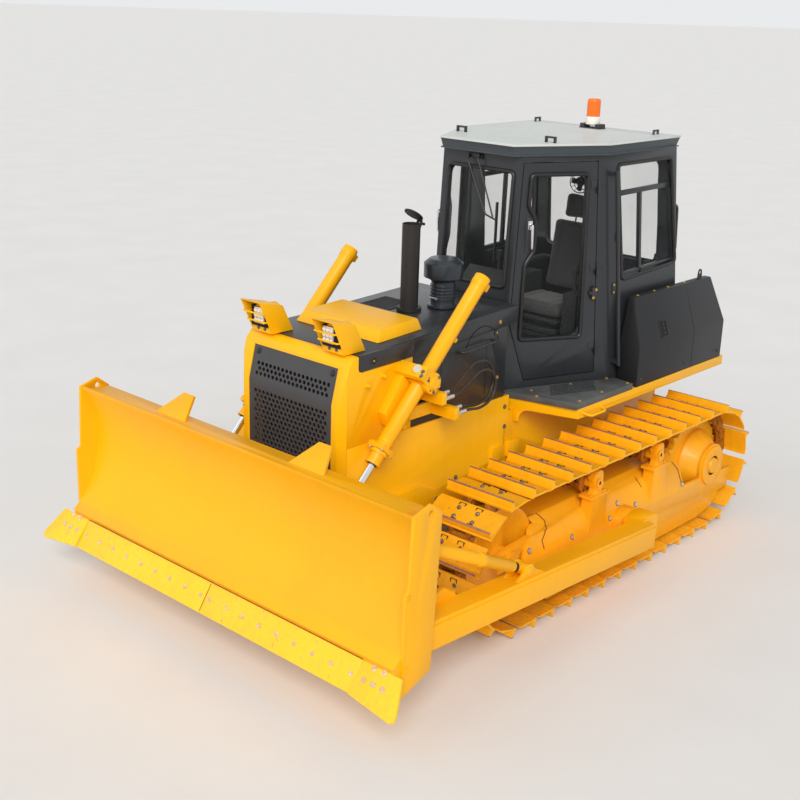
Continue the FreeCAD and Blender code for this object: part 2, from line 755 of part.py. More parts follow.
def track_loop():
    """Shoes with their grousers all round, carried by two link rails."""
    plate = val("plate_rise")
    under = plate - val("plate_wall")
    tip = plate + val("grouser_rise")
    lip = under + val("plate_wall") * 0.6
    # Share of the pitch, height over the pin line: lip, plate, grouser bar, plate's end
    shoe = ((0.02, lip), (0.22, lip), (0.225, plate), (0.80, plate),
            (0.825, tip), (0.885, tip), (0.92, plate), (0.985, plate))
    inner = chain_ring(((0.0, under), (0.5, under)))
    rail = chain_ring(((0.0, -val("rail_depth")), (0.5, -val("rail_depth"))))
    plates = face_of(chain_ring(shoe)).cut(face_of(inner))
    rails = face_of(inner).cut(face_of(rail))
    middle = val("gauge") / 2
    half = val("shoe_width") / 2
    plates.translate(Vector(0, middle - half, 0))
    solid = plates.extrude(Vector(0, 2 * half, 0))
    for side in (-1, 1):
        band = rails.copy()
        band.translate(Vector(0, middle + side * val("rail_spread") - val("rail_wall") / 2, 0))
        solid = solid.fuse(band.extrude(Vector(0, val("rail_wall"), 0)))
    return solid


pair("track", "Track", shaped("Track", track_loop()))


# Idler: dished front wheel with a guide ridge between the rails
idler_radius = (size.pin_radius - size.rail_depth) * 0.963 - 1
idler_half = size.idler_width / 2
ridge_half = size.rail_spread - size.rail_wall / 2 - 10
hub_half = idler_half + 28
idler = spin("Idler", (
    (track_y - hub_half, 0),
    (track_y - hub_half, size.idler_hub_radius),
    (track_y - idler_half + size.idler_dish, size.idler_hub_radius),
    (track_y - idler_half + size.idler_dish, idler_radius * 0.8),
    (track_y - idler_half, idler_radius - 24),
    (track_y - idler_half, idler_radius),
    (track_y - ridge_half, idler_radius),
    (track_y - ridge_half + 6, idler_radius + size.idler_rim),
    (track_y + ridge_half - 6, idler_radius + size.idler_rim),
    (track_y + ridge_half, idler_radius),
    (track_y + idler_half, idler_radius),
    (track_y + idler_half, idler_radius - 24),
    (track_y + idler_half - size.idler_dish, idler_radius * 0.8),
    (track_y + idler_half - size.idler_dish, size.idler_hub_radius),
    (track_y + hub_half, size.idler_hub_radius),
    (track_y + hub_half, 0),
), size.idler_x, axle_z)
pair("idler", "Idler", idler)


# Rollers: six under the frame and two that carry the upper run
def roller(name, x, z, radius):
    half = size.roller_width / 2
    inside = size.rail_spread - size.rail_wall / 2 - 4
    outside = size.rail_spread + size.rail_wall / 2 + 4
    flange = radius + size.flange_rise
    return spin(name, (
        (track_y - half, 0),
        (track_y - half, flange),
        (track_y - outside, flange),
        (track_y - outside, radius),
        (track_y - inside, radius),
        (track_y - inside, radius * 0.72),
        (track_y + inside, radius * 0.72),
        (track_y + inside, radius),
        (track_y + outside, radius),
        (track_y + outside, flange),
        (track_y + half, flange),
        (track_y + half, 0),
    ), x, z)


roller_z = run_low_z + size.seat_gap + size.roller_radius
carrier_z = run_top_z - size.seat_gap - size.carrier_radius
rollers = []
count = int(val("roller_count"))
for index in range(count):
    step = (size.roller_first_x - size.roller_last_x) / (count - 1)
    rollers.append(roller("Roller%d" % index, size.roller_first_x - step * index, roller_z,
                          size.roller_radius))
for index, x in enumerate((size.carrier_front_x, size.carrier_rear_x)):
    rollers.append(roller("Carrier%d" % index, x, carrier_z, size.carrier_radius))
pair("rollers", "Rollers", group("Rollers", *rollers))


# Track frame: beam with a sloping cover, side plates, roller guard, idler fork and pillars
def track_frame():
    outer, inner, wall = frame_outer_y, frame_inner_y, size.frame_wall
    beam = prism("FrameBeam", "YZ", (
        (inner, roller_z - 40),
        (inner, size.frame_top_z),
        (frame_top_y, size.frame_top_z),
        (frame_crease_y, size.frame_crease_z),
        (outer, size.frame_sill_z),
        (outer, size.frame_skirt_z),
        (outer - wall, size.frame_skirt_z),
        (outer - wall, size.frame_floor_z),
        (inner + wall, size.frame_floor_z),
        (inner + wall, roller_z - 40),
    ), size.frame_rear_x, size.frame_front_x)
    tail = prism("FrameTail", "XZ", (
        (size.frame_rear_x, size.frame_skirt_z),
        (size.frame_tail_x + 30, size.frame_skirt_z + 14),
        (size.frame_tail_x, size.frame_tail_top_z),
        (size.frame_rear_x, size.frame_sill_z),
    ), outer - wall, outer)
    boss = rod("FrameDriveBoss", "Y", (size.sprocket_x, axle_z), outer - wall, outer,
               size.drive_flange_radius + 15)
    bore = rod("FrameDriveBore", "Y", (size.sprocket_x, axle_z), outer - 2 * wall, outer + wall,
               size.drive_spigot_radius + size.seat_gap)
    guard = prism("RollerGuard", "XZ", (
        (size.frame_front_x, size.guard_bottom_z),
        (size.frame_front_x, size.frame_skirt_z + 30),
        (size.guard_tail_x, size.frame_skirt_z + 30),
        (size.guard_tail_x + 15, size.guard_bottom_z + 96),
        (size.guard_tail_x + 120, size.guard_bottom_z + 36),
        (size.guard_tail_x + 305, size.guard_bottom_z),
    ), guard_outer_y - size.guard_wall, guard_outer_y)
    spacer = box("GuardSpacer", (size.guard_tail_x + 30, size.frame_front_x),
                 (guard_outer_y - 1, outer - wall + 1),
                 (size.frame_skirt_z, size.frame_skirt_z + 30))
    fork_low = axle_z - size.fork_height / 2
    fork_high = axle_z + size.fork_height / 2
    nose = size.idler_x + size.fork_reach
    forks = []
    for name, low, high in (("ForkOuter", track_y + hub_half, track_y + hub_half + 40),
                            ("ForkInner", track_y - hub_half - 27, track_y - hub_half)):
        forks.append(prism(name, "XZ", (
            (size.frame_front_x - 30, fork_low - 40),
            (nose - 70, fork_low),
            (nose, axle_z - 30),
            (nose, axle_z + 30),
            (nose - 70, fork_high),
            (size.frame_front_x - 30, fork_high + 30),
        ), low, high))
    nose_section = prism("NoseSection", "YZ", (
        (outer, size.frame_skirt_z + 30),
        (outer, size.frame_sill_z),
        (frame_crease_y, size.frame_crease_z),
        (frame_top_y, size.frame_top_z),
        (frame_top_y, size.frame_top_z - wall),
        (frame_crease_y - wall, size.frame_crease_z - wall / 2),
        (outer - wall, size.frame_sill_z - wall / 2),
        (outer - wall, size.frame_skirt_z + 30),
    ), size.frame_front_x - 5, size.nose_sill_x)
    nose_side = prism("NoseSide", "XZ", (
        (size.frame_front_x - 5, size.frame_skirt_z + 30),
        (size.nose_sill_x - 40, size.frame_skirt_z + 30),
        (size.nose_sill_x, size.frame_skirt_z + 80),
        (size.nose_sill_x, size.frame_sill_z + 42),
        (size.nose_slope_x, size.nose_slope_z),
        (size.nose_top_x, size.frame_top_z),
        (size.frame_front_x - 5, size.frame_top_z),
    ), frame_top_y - wall, outer)
    wheel_room = rod("WheelRoom", "Y", (size.idler_x, axle_z), frame_top_y - wall - 5,
                     track_y + idler_half + 6, idler_radius + size.idler_rim + 8)
    fork_face = track_y + hub_half + 40
    reach = size.axle_block_reach
    axle = [prism("AxleBlock", "XZ", (
        (size.idler_x - reach, axle_z - 52),
        (size.idler_x + reach + 40, axle_z - 52),
        (size.idler_x + reach + 40, axle_z + 52),
        (size.idler_x - reach, axle_z + 52),
    ), fork_face - 1, fork_face + 22),
        rod("AxleCap", "Y", (size.idler_x, axle_z), fork_face, fork_face + 34,
            size.axle_cap_radius)]
    pillars = []
    for index, x in enumerate((size.carrier_front_x, size.carrier_rear_x)):
        foot, head = size.pillar_foot / 2, size.pillar_head / 2
        pillars.append(prism("PillarFoot%d" % index, "XZ", (
            (x - foot, size.frame_sill_z - 10),
            (x + foot, size.frame_sill_z - 10),
            (x + foot - 18, size.pillar_flange_z - 20),
            (x - foot + 18, size.pillar_flange_z - 20),
        ), track_y + size.roller_width / 2 + 22, outer))
        pillars.append(box("PillarFlange%d" % index, (x - foot - 4, x + foot + 4),
                           (track_y + size.roller_width / 2 + 8, outer + 8),
                           (size.pillar_flange_z - 20, size.pillar_flange_z)))
        pillars.append(prism("PillarHead%d" % index, "XZ", (
            (x - head, size.pillar_flange_z - 5, 80),
            (x + head, size.pillar_flange_z - 5),
            (x + head * 0.62, size.pillar_flange_z + 55, 80),
            (x + head * 0.82, carrier_z + 20),
            (x + head * 0.82, carrier_z + 62),
            (x + head * 0.42, carrier_z + 98, -48),
            (x - head * 0.42, carrier_z + 98),
            (x - head * 0.82, carrier_z + 62, -48),
            (x - head * 0.82, carrier_z + 20),
            (x - head * 0.62, size.pillar_flange_z + 55),
        ), track_y + size.roller_width / 2 + 40, outer - 12))
        pillars.append(rod("CarrierShaft%d" % index, "Y", (x, carrier_z),
                           track_y + size.roller_width / 2, outer, 36))
    shafts = []
    for index in range(count):
        step = (size.roller_first_x - size.roller_last_x) / (count - 1)
        x = size.roller_first_x - step * index
        shafts.append(rod("RollerShaftOuter%d" % index, "Y", (x, roller_z),
                          track_y + size.roller_width / 2, guard_outer_y - 1, 34))
        shafts.append(rod("RollerShaftInner%d" % index, "Y", (x, roller_z),
                          inner + 2, track_y - size.roller_width / 2, 34))
    seat = rod("TrunnionSeat", "Y", (size.pivot_x, size.pivot_z), outer - 10,
               arm_inner_y - 70, size.trunnion_radius + 42)
    pin = rod("Trunnion", "Y", (size.pivot_x, size.pivot_z), outer - 10,
              arm_inner_y + 56, size.trunnion_radius)
    body = fuse("TrackFrameBody", beam, tail, boss, guard, spacer,
                cut("FrameNose", common("NoseCover", nose_section, nose_side), wheel_room), *axle, *forks, *pillars, *shafts,
                seat, pin)
    return cut("TrackFrame", body, bore)


pair("track_frame", "TrackFrame", track_frame())


# Final drive: housing, conical cover with its flange and cap, and the toothed ring
def sprocket_ring():
    """Teeth for the pins of the chain, two for each link."""
    teeth = int(val("tooth_count"))
    tip = val("pin_radius") + val("tooth_tip")
    low = tip - val("tooth_depth")
    # Share of a tooth's angle, radius
    shape = ((0.0, low), (0.20, low), (0.42, tip), (0.58, tip), (0.80, low))
    points = []
    for index in range(teeth):
        for share, radius in shape:
            angle = 2 * math.pi * (index + share) / teeth
            points.append(Vector(val("sprocket_x") + radius * math.cos(angle), 0,
                                 axle_z.number + radius * math.sin(angle)))
    face = face_of(points)
    face.translate(Vector(0, val("gauge") / 2 - val("sprocket_width") / 2, 0))
    return face.extrude(Vector(0, val("sprocket_width"), 0))


ring_half = size.sprocket_width / 2
cover_end_y = frame_outer_y - size.frame_wall - 2
drive = spin("DriveCase", (
    (size.hull_half, 0),
    (size.hull_half, size.drive_case_radius),
    (track_y - ring_half - 90, size.drive_case_radius),
    (track_y - ring_half - 60, size.drive_case_radius + 30),
    (track_y + ring_half + 6, size.drive_cone_radius),
    (track_y + ring_half + 30, size.drive_cone_radius),
    (cover_end_y, size.drive_flange_radius + 8),
    (cover_end_y, size.drive_spigot_radius),
    (frame_outer_y, size.drive_spigot_radius),
    (frame_outer_y, size.drive_flange_radius),
    (frame_outer_y + 16, size.drive_flange_radius),
    (frame_outer_y + 16, size.drive_cap_radius + 14),
    (frame_outer_y + 6, size.drive_cap_radius + 14),
    (frame_outer_y + 6, size.drive_cap_radius),
    (frame_outer_y + 26, size.drive_cap_radius - 8),
    (frame_outer_y + 26, 0),
), size.sprocket_x, axle_z)
pair("final_drive", "FinalDrive", fuse("FinalDrive", drive, shaped("Sprocket", sprocket_ring())))


# Hull: rear case, front side plates, belly pan, cross members and the drawbar
def main_frame():
    half, wall = size.hull_half, size.hull_wall
    case = prism("RearCase", "XZ", (
        (size.hull_split_x, size.belly_z),
        (size.hull_split_x, size.deck_z - size.fender_depth),
        (size.hull_rear_x, size.deck_z - size.fender_depth),
        (size.hull_rear_x, size.hull_bottom_z + 60),
        (size.hull_rear_x + 80, size.hull_bottom_z),
        (size.pivot_shaft_x, size.hull_bottom_z),
    ), -half + wall, half - wall)
    sides = []
    for name, low, high in (("SideLeft", half - wall, half), ("SideRight", -half, wall - half)):
        sides.append(prism(name, "XZ", (
            (size.hull_split_x, size.belly_z),
            (size.hull_front_x - 320, size.belly_z),
            (size.hull_front_x, size.belly_z + 170),
            (size.hull_front_x, size.sill_z),
            (size.hull_split_x, size.sill_z),
        ), low, high))
    seam = half - 5
    belly = box("Belly", (size.hull_split_x - 10, size.hull_front_x - 320), (-seam, seam),
                (size.belly_z, size.belly_z + wall))
    slant = prism("BellySlant", "XZ", (
        (size.hull_front_x - 320, size.belly_z),
        (size.hull_front_x, size.belly_z + 170),
        (size.hull_front_x, size.belly_z + 200),
        (size.hull_front_x - 320, size.belly_z + 30),
    ), -seam, seam)
    link = box("CaseLink", (size.hull_split_x - 60, size.hull_split_x + 20), (-seam, seam),
               (size.belly_z + 10, size.deck_z - size.fender_depth))
    equalizer = box("Equalizer", (size.equalizer_x - size.equalizer_depth / 2,
                                  size.equalizer_x + size.equalizer_depth / 2),
                    (-frame_inner_y, frame_inner_y),
                    (size.equalizer_z - size.equalizer_height / 2,
                     size.equalizer_z + size.equalizer_height / 2))
    saddle = box("Saddle", (size.equalizer_x - 90, size.equalizer_x + 90), (-110, 110),
                 (size.equalizer_z, size.belly_z + 5))
    shaft = rod("PivotShaft", "Y", (size.pivot_shaft_x, size.hull_bottom_z + 90),
                -frame_inner_y, frame_inner_y, size.pivot_shaft_radius)
    pads = []
    pad, low, high = size.hull_pad_wall, size.hull_pad_low_z, size.hull_pad_low_z + size.hull_pad_height
    front = size.hull_pad_front_x
    for name, way in (("Left", 1), ("Right", -1)):
        for tag, x, inside in (("Front", front - size.hull_pad_length, half - 1),
                               ("Rear", size.hull_split_x - size.hull_pad_length, half - wall - 1)):
            edges = (inside * way, (half + pad) * way)
            pads.append(box("Pad%s%s" % (tag, name), (x, x + size.hull_pad_length),
                            edges if way > 0 else edges[::-1], (low, high)))
        edges = ((half - 1) * way, (half + size.bracket_wall) * way)
        rear = size.bracket_rear_x
        pads.append(prism("SideBracket" + name, "XZ", (
            (rear - 30, size.belly_z + 35),
            (size.bracket_front_x - 30, size.belly_z + 35),
            (size.bracket_front_x, size.belly_z + 65),
            (size.bracket_front_x, size.bracket_top_z),
            (rear + 188, size.bracket_top_z),
            (rear, size.bracket_top_z - 88),
        ), *(edges if way > 0 else edges[::-1])))
    return fuse("MainFrame", case, belly, slant, link, equalizer, saddle, shaft, *sides, *pads)


node("main_frame", main_frame())


def drawbar():
    jaw, gap = size.drawbar_height, size.drawbar_gap / 2
    end, half = size.drawbar_end_x, size.drawbar_half
    root_x = size.hull_rear_x - 120
    jaws = []
    for name, low in (("JawUpper", size.drawbar_z + gap), ("JawLower", size.drawbar_z - gap - jaw)):
        jaws.append(prism(name, "XY", (
            (root_x, -half - 40),
            (root_x, half + 40),
            (end + size.tow_pin_inset, half),
            (end + 30, half - 20),
            (end, half - 45),
            (end, 45 - half),
            (end + 30, 20 - half),
            (end + size.tow_pin_inset, -half),
        ), low, low + jaw))
    heel = box("DrawbarHeel", (root_x - 20, size.hull_rear_x), (-half - 40, half + 40),
               (size.drawbar_z - gap - jaw, size.drawbar_z + gap + jaw))
    bore = rod("TowPinBore", "Z", (end + size.tow_pin_inset, 0), size.drawbar_z - 150,
               size.drawbar_z + 150, size.tow_pin_radius)
    return cut("Drawbar", fuse("DrawbarBody", heel, *jaws), bore)


node("drawbar", drawbar())


engine_low_z = size.belly_z + size.hull_wall + size.seat_gap
node("engine_block", box("EngineBlock",
                         (size.engine_rear_x, size.engine_rear_x + size.engine_length),
                         (-size.engine_width / 2, size.engine_width / 2),
                         (engine_low_z, engine_low_z + size.engine_height)))


# Radiator guard with a sloping, bevelled front, open behind
def guard_profile(name, offset, front, low, plane_low, plane_high):
    """Side outline of the guard, drawn in by offset."""
    return prism(name, "XZ", (
        (size.guard_back_x - front, low),
        (size.guard_front_x - offset, low),
        (size.guard_front_x - offset, size.guard_bend_z),
        (size.guard_top_x - offset, size.guard_brow_z - offset / 2),
        (size.guard_top_x - 45 - offset, size.guard_top_z - offset),
        (size.guard_back_x - front, size.guard_top_z - offset),
    ), plane_low, plane_high)


def radiator_guard():
    half, skin = guard_half, size.guard_skin
    side = guard_profile("GuardSide", sized(0), sized(0), size.guard_low_z, -half, half)
    plan = prism("GuardPlan", "XY", (
        (size.guard_back_x, -half),
        (size.guard_front_x - size.guard_edge, -half),
        (size.guard_front_x, size.guard_edge - half),
        (size.guard_front_x, half - size.guard_edge),
        (size.guard_front_x - size.guard_edge, half),
        (size.guard_back_x, half),
    ), size.guard_low_z, size.guard_top_z)
    shell = common("GuardBlock", side, plan)
    inside = guard_profile("GuardInside", skin, sized(10), size.guard_low_z - 10, skin - half,
                           half - skin)
    heel = box("GuardHeel", (size.guard_back_x - 10, size.hull_front_x),
               (-half - 5, half + 5), (size.guard_low_z - 5, size.sill_z))
    mouth = prism("GrilleMouth", "XZ", (
        (size.guard_front_x + 20, size.grille_low_z),
        (size.guard_front_x + 20, size.guard_bend_z),
        (size.guard_front_x + 20, size.guard_brow_z - 24),
        (size.guard_top_x - 60, size.guard_brow_z - 24),
        (size.guard_front_x - 60, size.guard_bend_z),
        (size.guard_front_x - 60, size.grille_low_z),
    ), -size.grille_half, size.grille_half)
    pegs = []
    for name, way in (("Left", 1), ("Right", -1)):
        for index, (x, z) in enumerate(((size.guard_front_x - 200, size.guard_brow_z - 136),
                                        (size.guard_front_x - 333, size.guard_brow_z - 102))):
            for tag, reach, radius in (("Peg", size.peg_reach, size.peg_radius),
                                       ("PegFoot", size.peg_reach / 4, size.peg_radius * 1.8)):
                edges = ((half - 5) * way, (half + reach) * way)
                low, high = edges if way > 0 else edges[::-1]
                pegs.append(rod("%s%s%d" % (tag, name, index), "Y", (x, z), low, high, radius))
    return fuse("RadiatorGuard", cut("GuardShell", shell, inside, heel, mouth), *pegs)


node("radiator_guard", radiator_guard())


def perforated(start, end, across, rows, first):
    """Upright or slanting face between two edges, with staggered rows of six-sided holes."""
    half, pitch, hole = val("grille_half"), val("grille_pitch"), val("grille_hole")
    rise = (end - start).normalize()
    outer = [start - across * half, start + across * half, end + across * half,
             end - across * half]
    wires = [Part.makePolygon(outer + outer[:1])]
    columns = int((2 * half - 2 * val("grille_margin")) / pitch)
    for row in range(rows):
        count = columns + 1 - row % 2
        for column in range(count):
            middle = (start + rise * (first + row * pitch * math.sqrt(0.75))
                      + across * (column - (count - 1) / 2) * pitch)
            ring = [middle + (across * math.cos(step * math.pi / 3)
                              + rise * math.sin(step * math.pi / 3)) * hole for step in range(6, 0, -1)]
            wires.append(Part.makePolygon(ring + ring[:1]))
    return Part.Face(wires)


def radiator_grille():
    """Perforated plate in the guard's mouth: an upright panel and a slanting one over its fold."""
    front = val("guard_front_x") - val("grille_inset")
    low, bend = val("grille_low_z"), val("guard_bend_z")
    top = val("guard_brow_z") - 24
    lean = ((val("guard_front_x") - val("guard_top_x")) * (top - bend)
            / (val("guard_brow_z") - bend))
    foot, fold = Vector(front, 0, low), Vector(front, 0, bend)
    head = Vector(front - lean, 0, top)
    across = Vector(0, 1, 0)
    row = val("grille_pitch") * math.sqrt(0.75)
    rows, brow_rows = int(val("grille_rows")), int(val("brow_rows"))
    first = (bend - low - (rows - 1) * row) / 2
    back = Vector(-val("grille_wall"), 0, 0)
    upright = perforated(foot, fold, across, rows, first).extrude(back)
    slanting = perforated(fold, head, across, brow_rows, row * 1.4).extrude(back)
    return shaped("RadiatorGrille", upright.fuse(slanting))


node("radiator_grille", radiator_grille())


# Hood: black top panel with turned-down edges, raised cover and side panels
def hood():
    half, wall, depth = size.hood_half, size.hood_wall, size.hood_depth
    front, rear = size.hood_front_x, size.hood_rear_x
    low_x = size.guard_back_x - 1
    skin = prism("HoodSkin", "XZ", (
        (rear, size.hood_rear_z - depth),
        (low_x, size.hood_front_z - depth),
        (low_x, size.guard_top_z),
        (front, size.guard_top_z),
        (front, size.hood_front_z),
        (size.panel_rear_x + 60, size.hood_rear_z),
        (rear, size.hood_rear_z),
    ), -half, half)
    inside = prism("HoodInside", "XZ", (
        (rear - 10, size.hood_rear_z - depth - 20),
        (low_x - wall, size.hood_front_z - depth - 20),
        (low_x - wall, size.hood_front_z - wall),
        (size.panel_rear_x + 60, size.hood_rear_z - wall),
        (rear - 10, size.hood_rear_z - wall),
    ), wall - half, half - wall)
    return cut("Hood", skin, inside)


node("hood", hood())


def hood_top(x):
    """Height of the hood's top at x."""
    share = (size.hood_front_x - x) / (size.hood_front_x - size.panel_rear_x - 60)
    return size.hood_front_z + (size.hood_rear_z - size.hood_front_z) * share


def hood_cover():
    rise, bevel = size.cover_rise, size.cover_bevel
    front, rear = size.cover_front_x, size.cover_rear_x
    side = prism("CoverSide", "XZ", (
        (rear, hood_top(rear)),
        (front, hood_top(front)),
        (front - bevel, hood_top(front) + rise),
        (rear + bevel / 3, hood_top(rear) + rise),
    ), -size.cover_half, size.cover_half)
    face = prism("CoverFace", "YZ", (
        (-size.cover_half, size.hood_front_z),
        (size.cover_half, size.hood_front_z),
        (size.cover_half - bevel, size.hood_rear_z + rise),
        (bevel - size.cover_half, size.hood_rear_z + rise),
    ), rear, front)
    return common("HoodCover", side, face)


node("hood_cover", hood_cover())


def side_panels():
    panels = []
    for name, low, high in (("PanelLeft", size.hood_half - size.panel_wall, size.hood_half),
                            ("PanelRight", -size.hood_half, size.panel_wall - size.hood_half)):
        panels.append(prism(name, "XZ", (
            (size.panel_rear_x, size.sill_z),
            (size.guard_back_x - 1, size.sill_z),
            (size.guard_back_x - 1, size.hood_front_z - size.hood_depth - 0.3),
            (size.panel_rear_x, size.hood_rear_z - size.hood_depth - 6),
        ), low, high))
    x, z, length = val("panel_bar_x"), val("panel_bar_z"), val("panel_bar_length")
    skin, reach, drop = val("hood_half") - 6, val("panel_bar_reach"), val("panel_bar_drop")
    grab = bar(((x, skin, z), (x + 12, skin + reach, z - 1),
                (x + length - 12, skin + reach, z - drop + 1), (x + length, skin, z - drop)),
               val("rail_radius"))[0]
    left = fuse("PanelLeftWithBar", panels[0], shaped("PanelBarLeft", grab))
    right = fuse("PanelRightWithBar", panels[1], shaped(
        "PanelBarRight", grab.mirror(Vector(), Vector(0, 1, 0))))
    return group("SidePanels", left, right)


node("hood_side_panels", side_panels())


# Exhaust pipe with its open rain cap, and the air cleaner
def exhaust():
    x, radius, top = size.exhaust_x, size.exhaust_radius, size.exhaust_top_z
    low = hood_top(x - radius - 22)
    pipe = rod("ExhaustPipe", "Z", (x, 0), low, top, radius)
    bore = rod("ExhaustBore", "Z", (x, 0), low + 60, top + 10, radius - size.exhaust_wall)
    foot = rod("ExhaustFoot", "Z", (x, 0), low, low + 22, radius + 22)
    lugs = []
    for index, y in enumerate((15, -15)):
        lugs.append(prism("RainCapLug%d" % index, "XZ", (
            (x - radius + 3, top - 60),
            (x - radius + 3, top - 14),
            (rain_cap_x + 7, rain_cap_z + 2),
            (rain_cap_x + 7, rain_cap_z + 9),
            (rain_cap_x - 9, rain_cap_z + 9),
            (rain_cap_x - 9, rain_cap_z - 12),
        ), y - 3, y + 3))
    return fuse("Exhaust", cut("ExhaustTube", fuse("ExhaustOuter", pipe, foot), bore), *lugs)


def rain_cap():
    """Round lid on its arm, held open at an angle, with the counterweight behind the pin."""
    radius = size.exhaust_radius
    lid = rod("RainCapLid", "Z", (radius + 18, 0), 0, 5, radius + 6)
    arm = box("RainCapArm", (-34, 40), (-10, 10), (-1, 5))
    barrel = rod("RainCapBarrel", "Y", (0, 0), -11.5, 11.5, 7)
    weight = rod("RainCapWeight", "Y", (-36, 2), -16, 16, 9)
    return tilt(fuse("RainCap", lid, arm, barrel, weight), rain_cap_x, 0, rain_cap_z,
                -size.cap_angle)


rain_cap_x = size.exhaust_x - size.exhaust_radius - 18
rain_cap_z = size.exhaust_top_z + 6
node("exhaust", exhaust())
node("rain_cap", rain_cap())


def air_cleaner():
    x, y = size.cleaner_x, size.cleaner_y
    neck = rod("CleanerNeck", "Z", (x, y), hood_top(x - size.cleaner_neck_radius),
               size.cleaner_bowl_z + 5, size.cleaner_neck_radius)
    bowl = rod("CleanerBowl", "Z", (x, y), size.cleaner_bowl_z, size.cleaner_top_z - 30,
               size.cleaner_radius)
    lid = rod("CleanerLid", "Z", (x, y), size.cleaner_top_z - 30, size.cleaner_top_z,
              size.cleaner_radius, size.cleaner_radius * 0.72)
    neck_radius = size.cleaner_neck_radius
    foot_z = hood_top(x - neck_radius - size.cleaner_foot)
    foot = rod("CleanerFoot", "Z", (x, y), foot_z, foot_z + 14, neck_radius + size.cleaner_foot)
    shoulder = rod("CleanerShoulder", "Z", (x, y), size.cleaner_bowl_z - 24, size.cleaner_bowl_z,
                   neck_radius + 4, size.cleaner_radius - 12)
    ribs = []
    for index in range(int(val("cleaner_ribs"))):
        z = size.cleaner_bowl_z - 60 - index * 22
        ribs.append(rod("CleanerRib%d" % index, "Z", (x, y), z, z + 8,
                        neck_radius + size.cleaner_rib))
    return fuse("AirCleaner", neck, bowl, lid, foot, shoulder, *ribs)


node("air_cleaner", air_cleaner())


# Headlamps: folded hoods on top of the guard with a round lamp in each
def headlamp(name, inner, outer):
    wall = size.lamp_wall
    front, low = size.lamp_front_x, size.hood_front_z
    outline = (
        (size.lamp_low_x, low + 6),
        (size.guard_top_x - 45, low + 6),
        (front - 100, low + 6),
        (front, size.lamp_tip_z),
        (size.lamp_back_x, size.lamp_back_z),
    )
    inside = (
        (size.lamp_low_x + 30, low + wall + 6),
        (front - 90, low + wall + 6),
        (front + 20, low + wall + 6),
        (front + 20, size.lamp_tip_z - wall),
        (front, size.lamp_tip_z - wall),
        (size.lamp_back_x + 8, size.lamp_back_z - wall),
    )
    block = prism(name + "Block", "XZ", outline, inner, outer)
    room = prism(name + "Room", "XZ", inside, inner + wall, outer - wall)
    middle = (inner + outer) / 2
    lamp = rod(name + "Lamp", "X", (middle, low + 6 + (size.lamp_tip_z - low) / 2),
               size.lamp_back_x - 20, front - 75, size.lamp_face_radius)
    foot = box(name + "Foot", (size.hood_front_x + 3, size.guard_top_x - 47),
               (inner + 20, outer - 20), (size.guard_top_z, low + 8))
    return fuse(name, cut(name + "Shell", block, room), lamp, foot)


node("headlamps", group("Headlamps",
                        headlamp("LampLeft", size.lamp_inner_y, size.lamp_outer_y),
                        headlamp("LampRight", -size.lamp_outer_y, -size.lamp_inner_y)))


# Cab: tapered walls with their windows, doors that close the front side openings
def blend(low, high, z):
    """Value between the cab's foot and its top."""
    return low + (high - low) * (z - val("cab_low_z")) / (val("cab_top_z") - val("cab_low_z"))


def cab_corner(which, z):
    x = blend(val("cab_%s_low_x" % which), val("cab_%s_top_x" % which), z)
    y = blend(val("cab_%s_low_y" % which), val("cab_%s_top_y" % which), z)
    return x, y


def cab_plan(z, inset):
    """Six corners of the cab's outline at a height, drawn in by inset."""
    left = [cab_corner(which, z) for which in ("front", "side", "rear")]
    ring = left + [(x, -y) for x, y in reversed(left)]
    return offset_plan(ring, inset, z)


def offset_plan(ring, inset, z):
    """Counter-clockwise ring of corners moved inwards by inset, as points at a height."""
    points = []
    for index, corner in enumerate(ring):
        before = Vector(*ring[index - 1], 0)
        after = Vector(*ring[(index + 1) % len(ring)], 0)
        here = Vector(*corner, 0)
        first = (here - before).normalize()
        second = (after - here).normalize()
        normal_first = Vector(-first.y, first.x, 0)
        normal_second = Vector(-second.y, second.x, 0)
        push = (normal_first + normal_second) * (inset / (1 + normal_first.dot(normal_second)))
        points.append(Vector(here.x + push.x, here.y + push.y, z))
    return points


def loft(*rings):
    wires = [Part.makePolygon(ring + ring[:1]) for ring in rings]
    return Part.makeLoft(wires, True, True)


class DoorPlane:
    """Plane of the left door: along the wall from the front corner, and up."""

    def __init__(self):
        low, top = val("cab_low_z"), val("cab_top_z")
        self.start = Vector(*cab_corner("front", low), low)
        side = Vector(*cab_corner("side", low), low)
        upper = Vector(*cab_corner("front", top), top)
        self.along = (side - self.start).normalize()
        self.out = (upper - self.start).cross(self.along).normalize()
        if self.out.y < 0:
            self.out = self.out * -1
        self.rise = self.along.cross(self.out)
        if self.rise.z < 0:
            self.rise = self.rise * -1

    def place(self, way, height, depth=0.0):
        """Point of the wall at a distance from the front corner's foot and at a height."""
        lift = (height - self.start.z) / self.rise.z
        return self.start + self.along * way + self.rise * lift + self.out * depth

    def slab(self, outline, depth_low, depth_high):
        """Prism of an outline on the wall between two depths."""
        points = [self.place(way, height, depth_low) for way, height in outline]
        return face_of(points).extrude(self.out * (depth_high - depth_low))


# Door outline and its window: distance from the front corner's foot, height
DOOR = ((96, 2776), (667, 2776), (751, 1299), (178, 1291), (47, 1692))
DOOR_WINDOW = ((161, 2695), (595, 2690), (610, 1570), (128, 1583), (139, 2098), (205, 2190),
               (210, 2398), (148, 2490))
# Rear side window: X, height
SIDE_WINDOW = ((-885, 2736), (-1562, 2740), (-1680, 1972), (-985, 1934))


def hinge_line():
    """Foot and top of the left door's hinge line, outside the door's rear edge."""
    plane = DoorPlane()
    reach = val("door_swing_offset")
    return plane.place(*DOOR[2], reach), plane.place(*DOOR[1], reach), plane


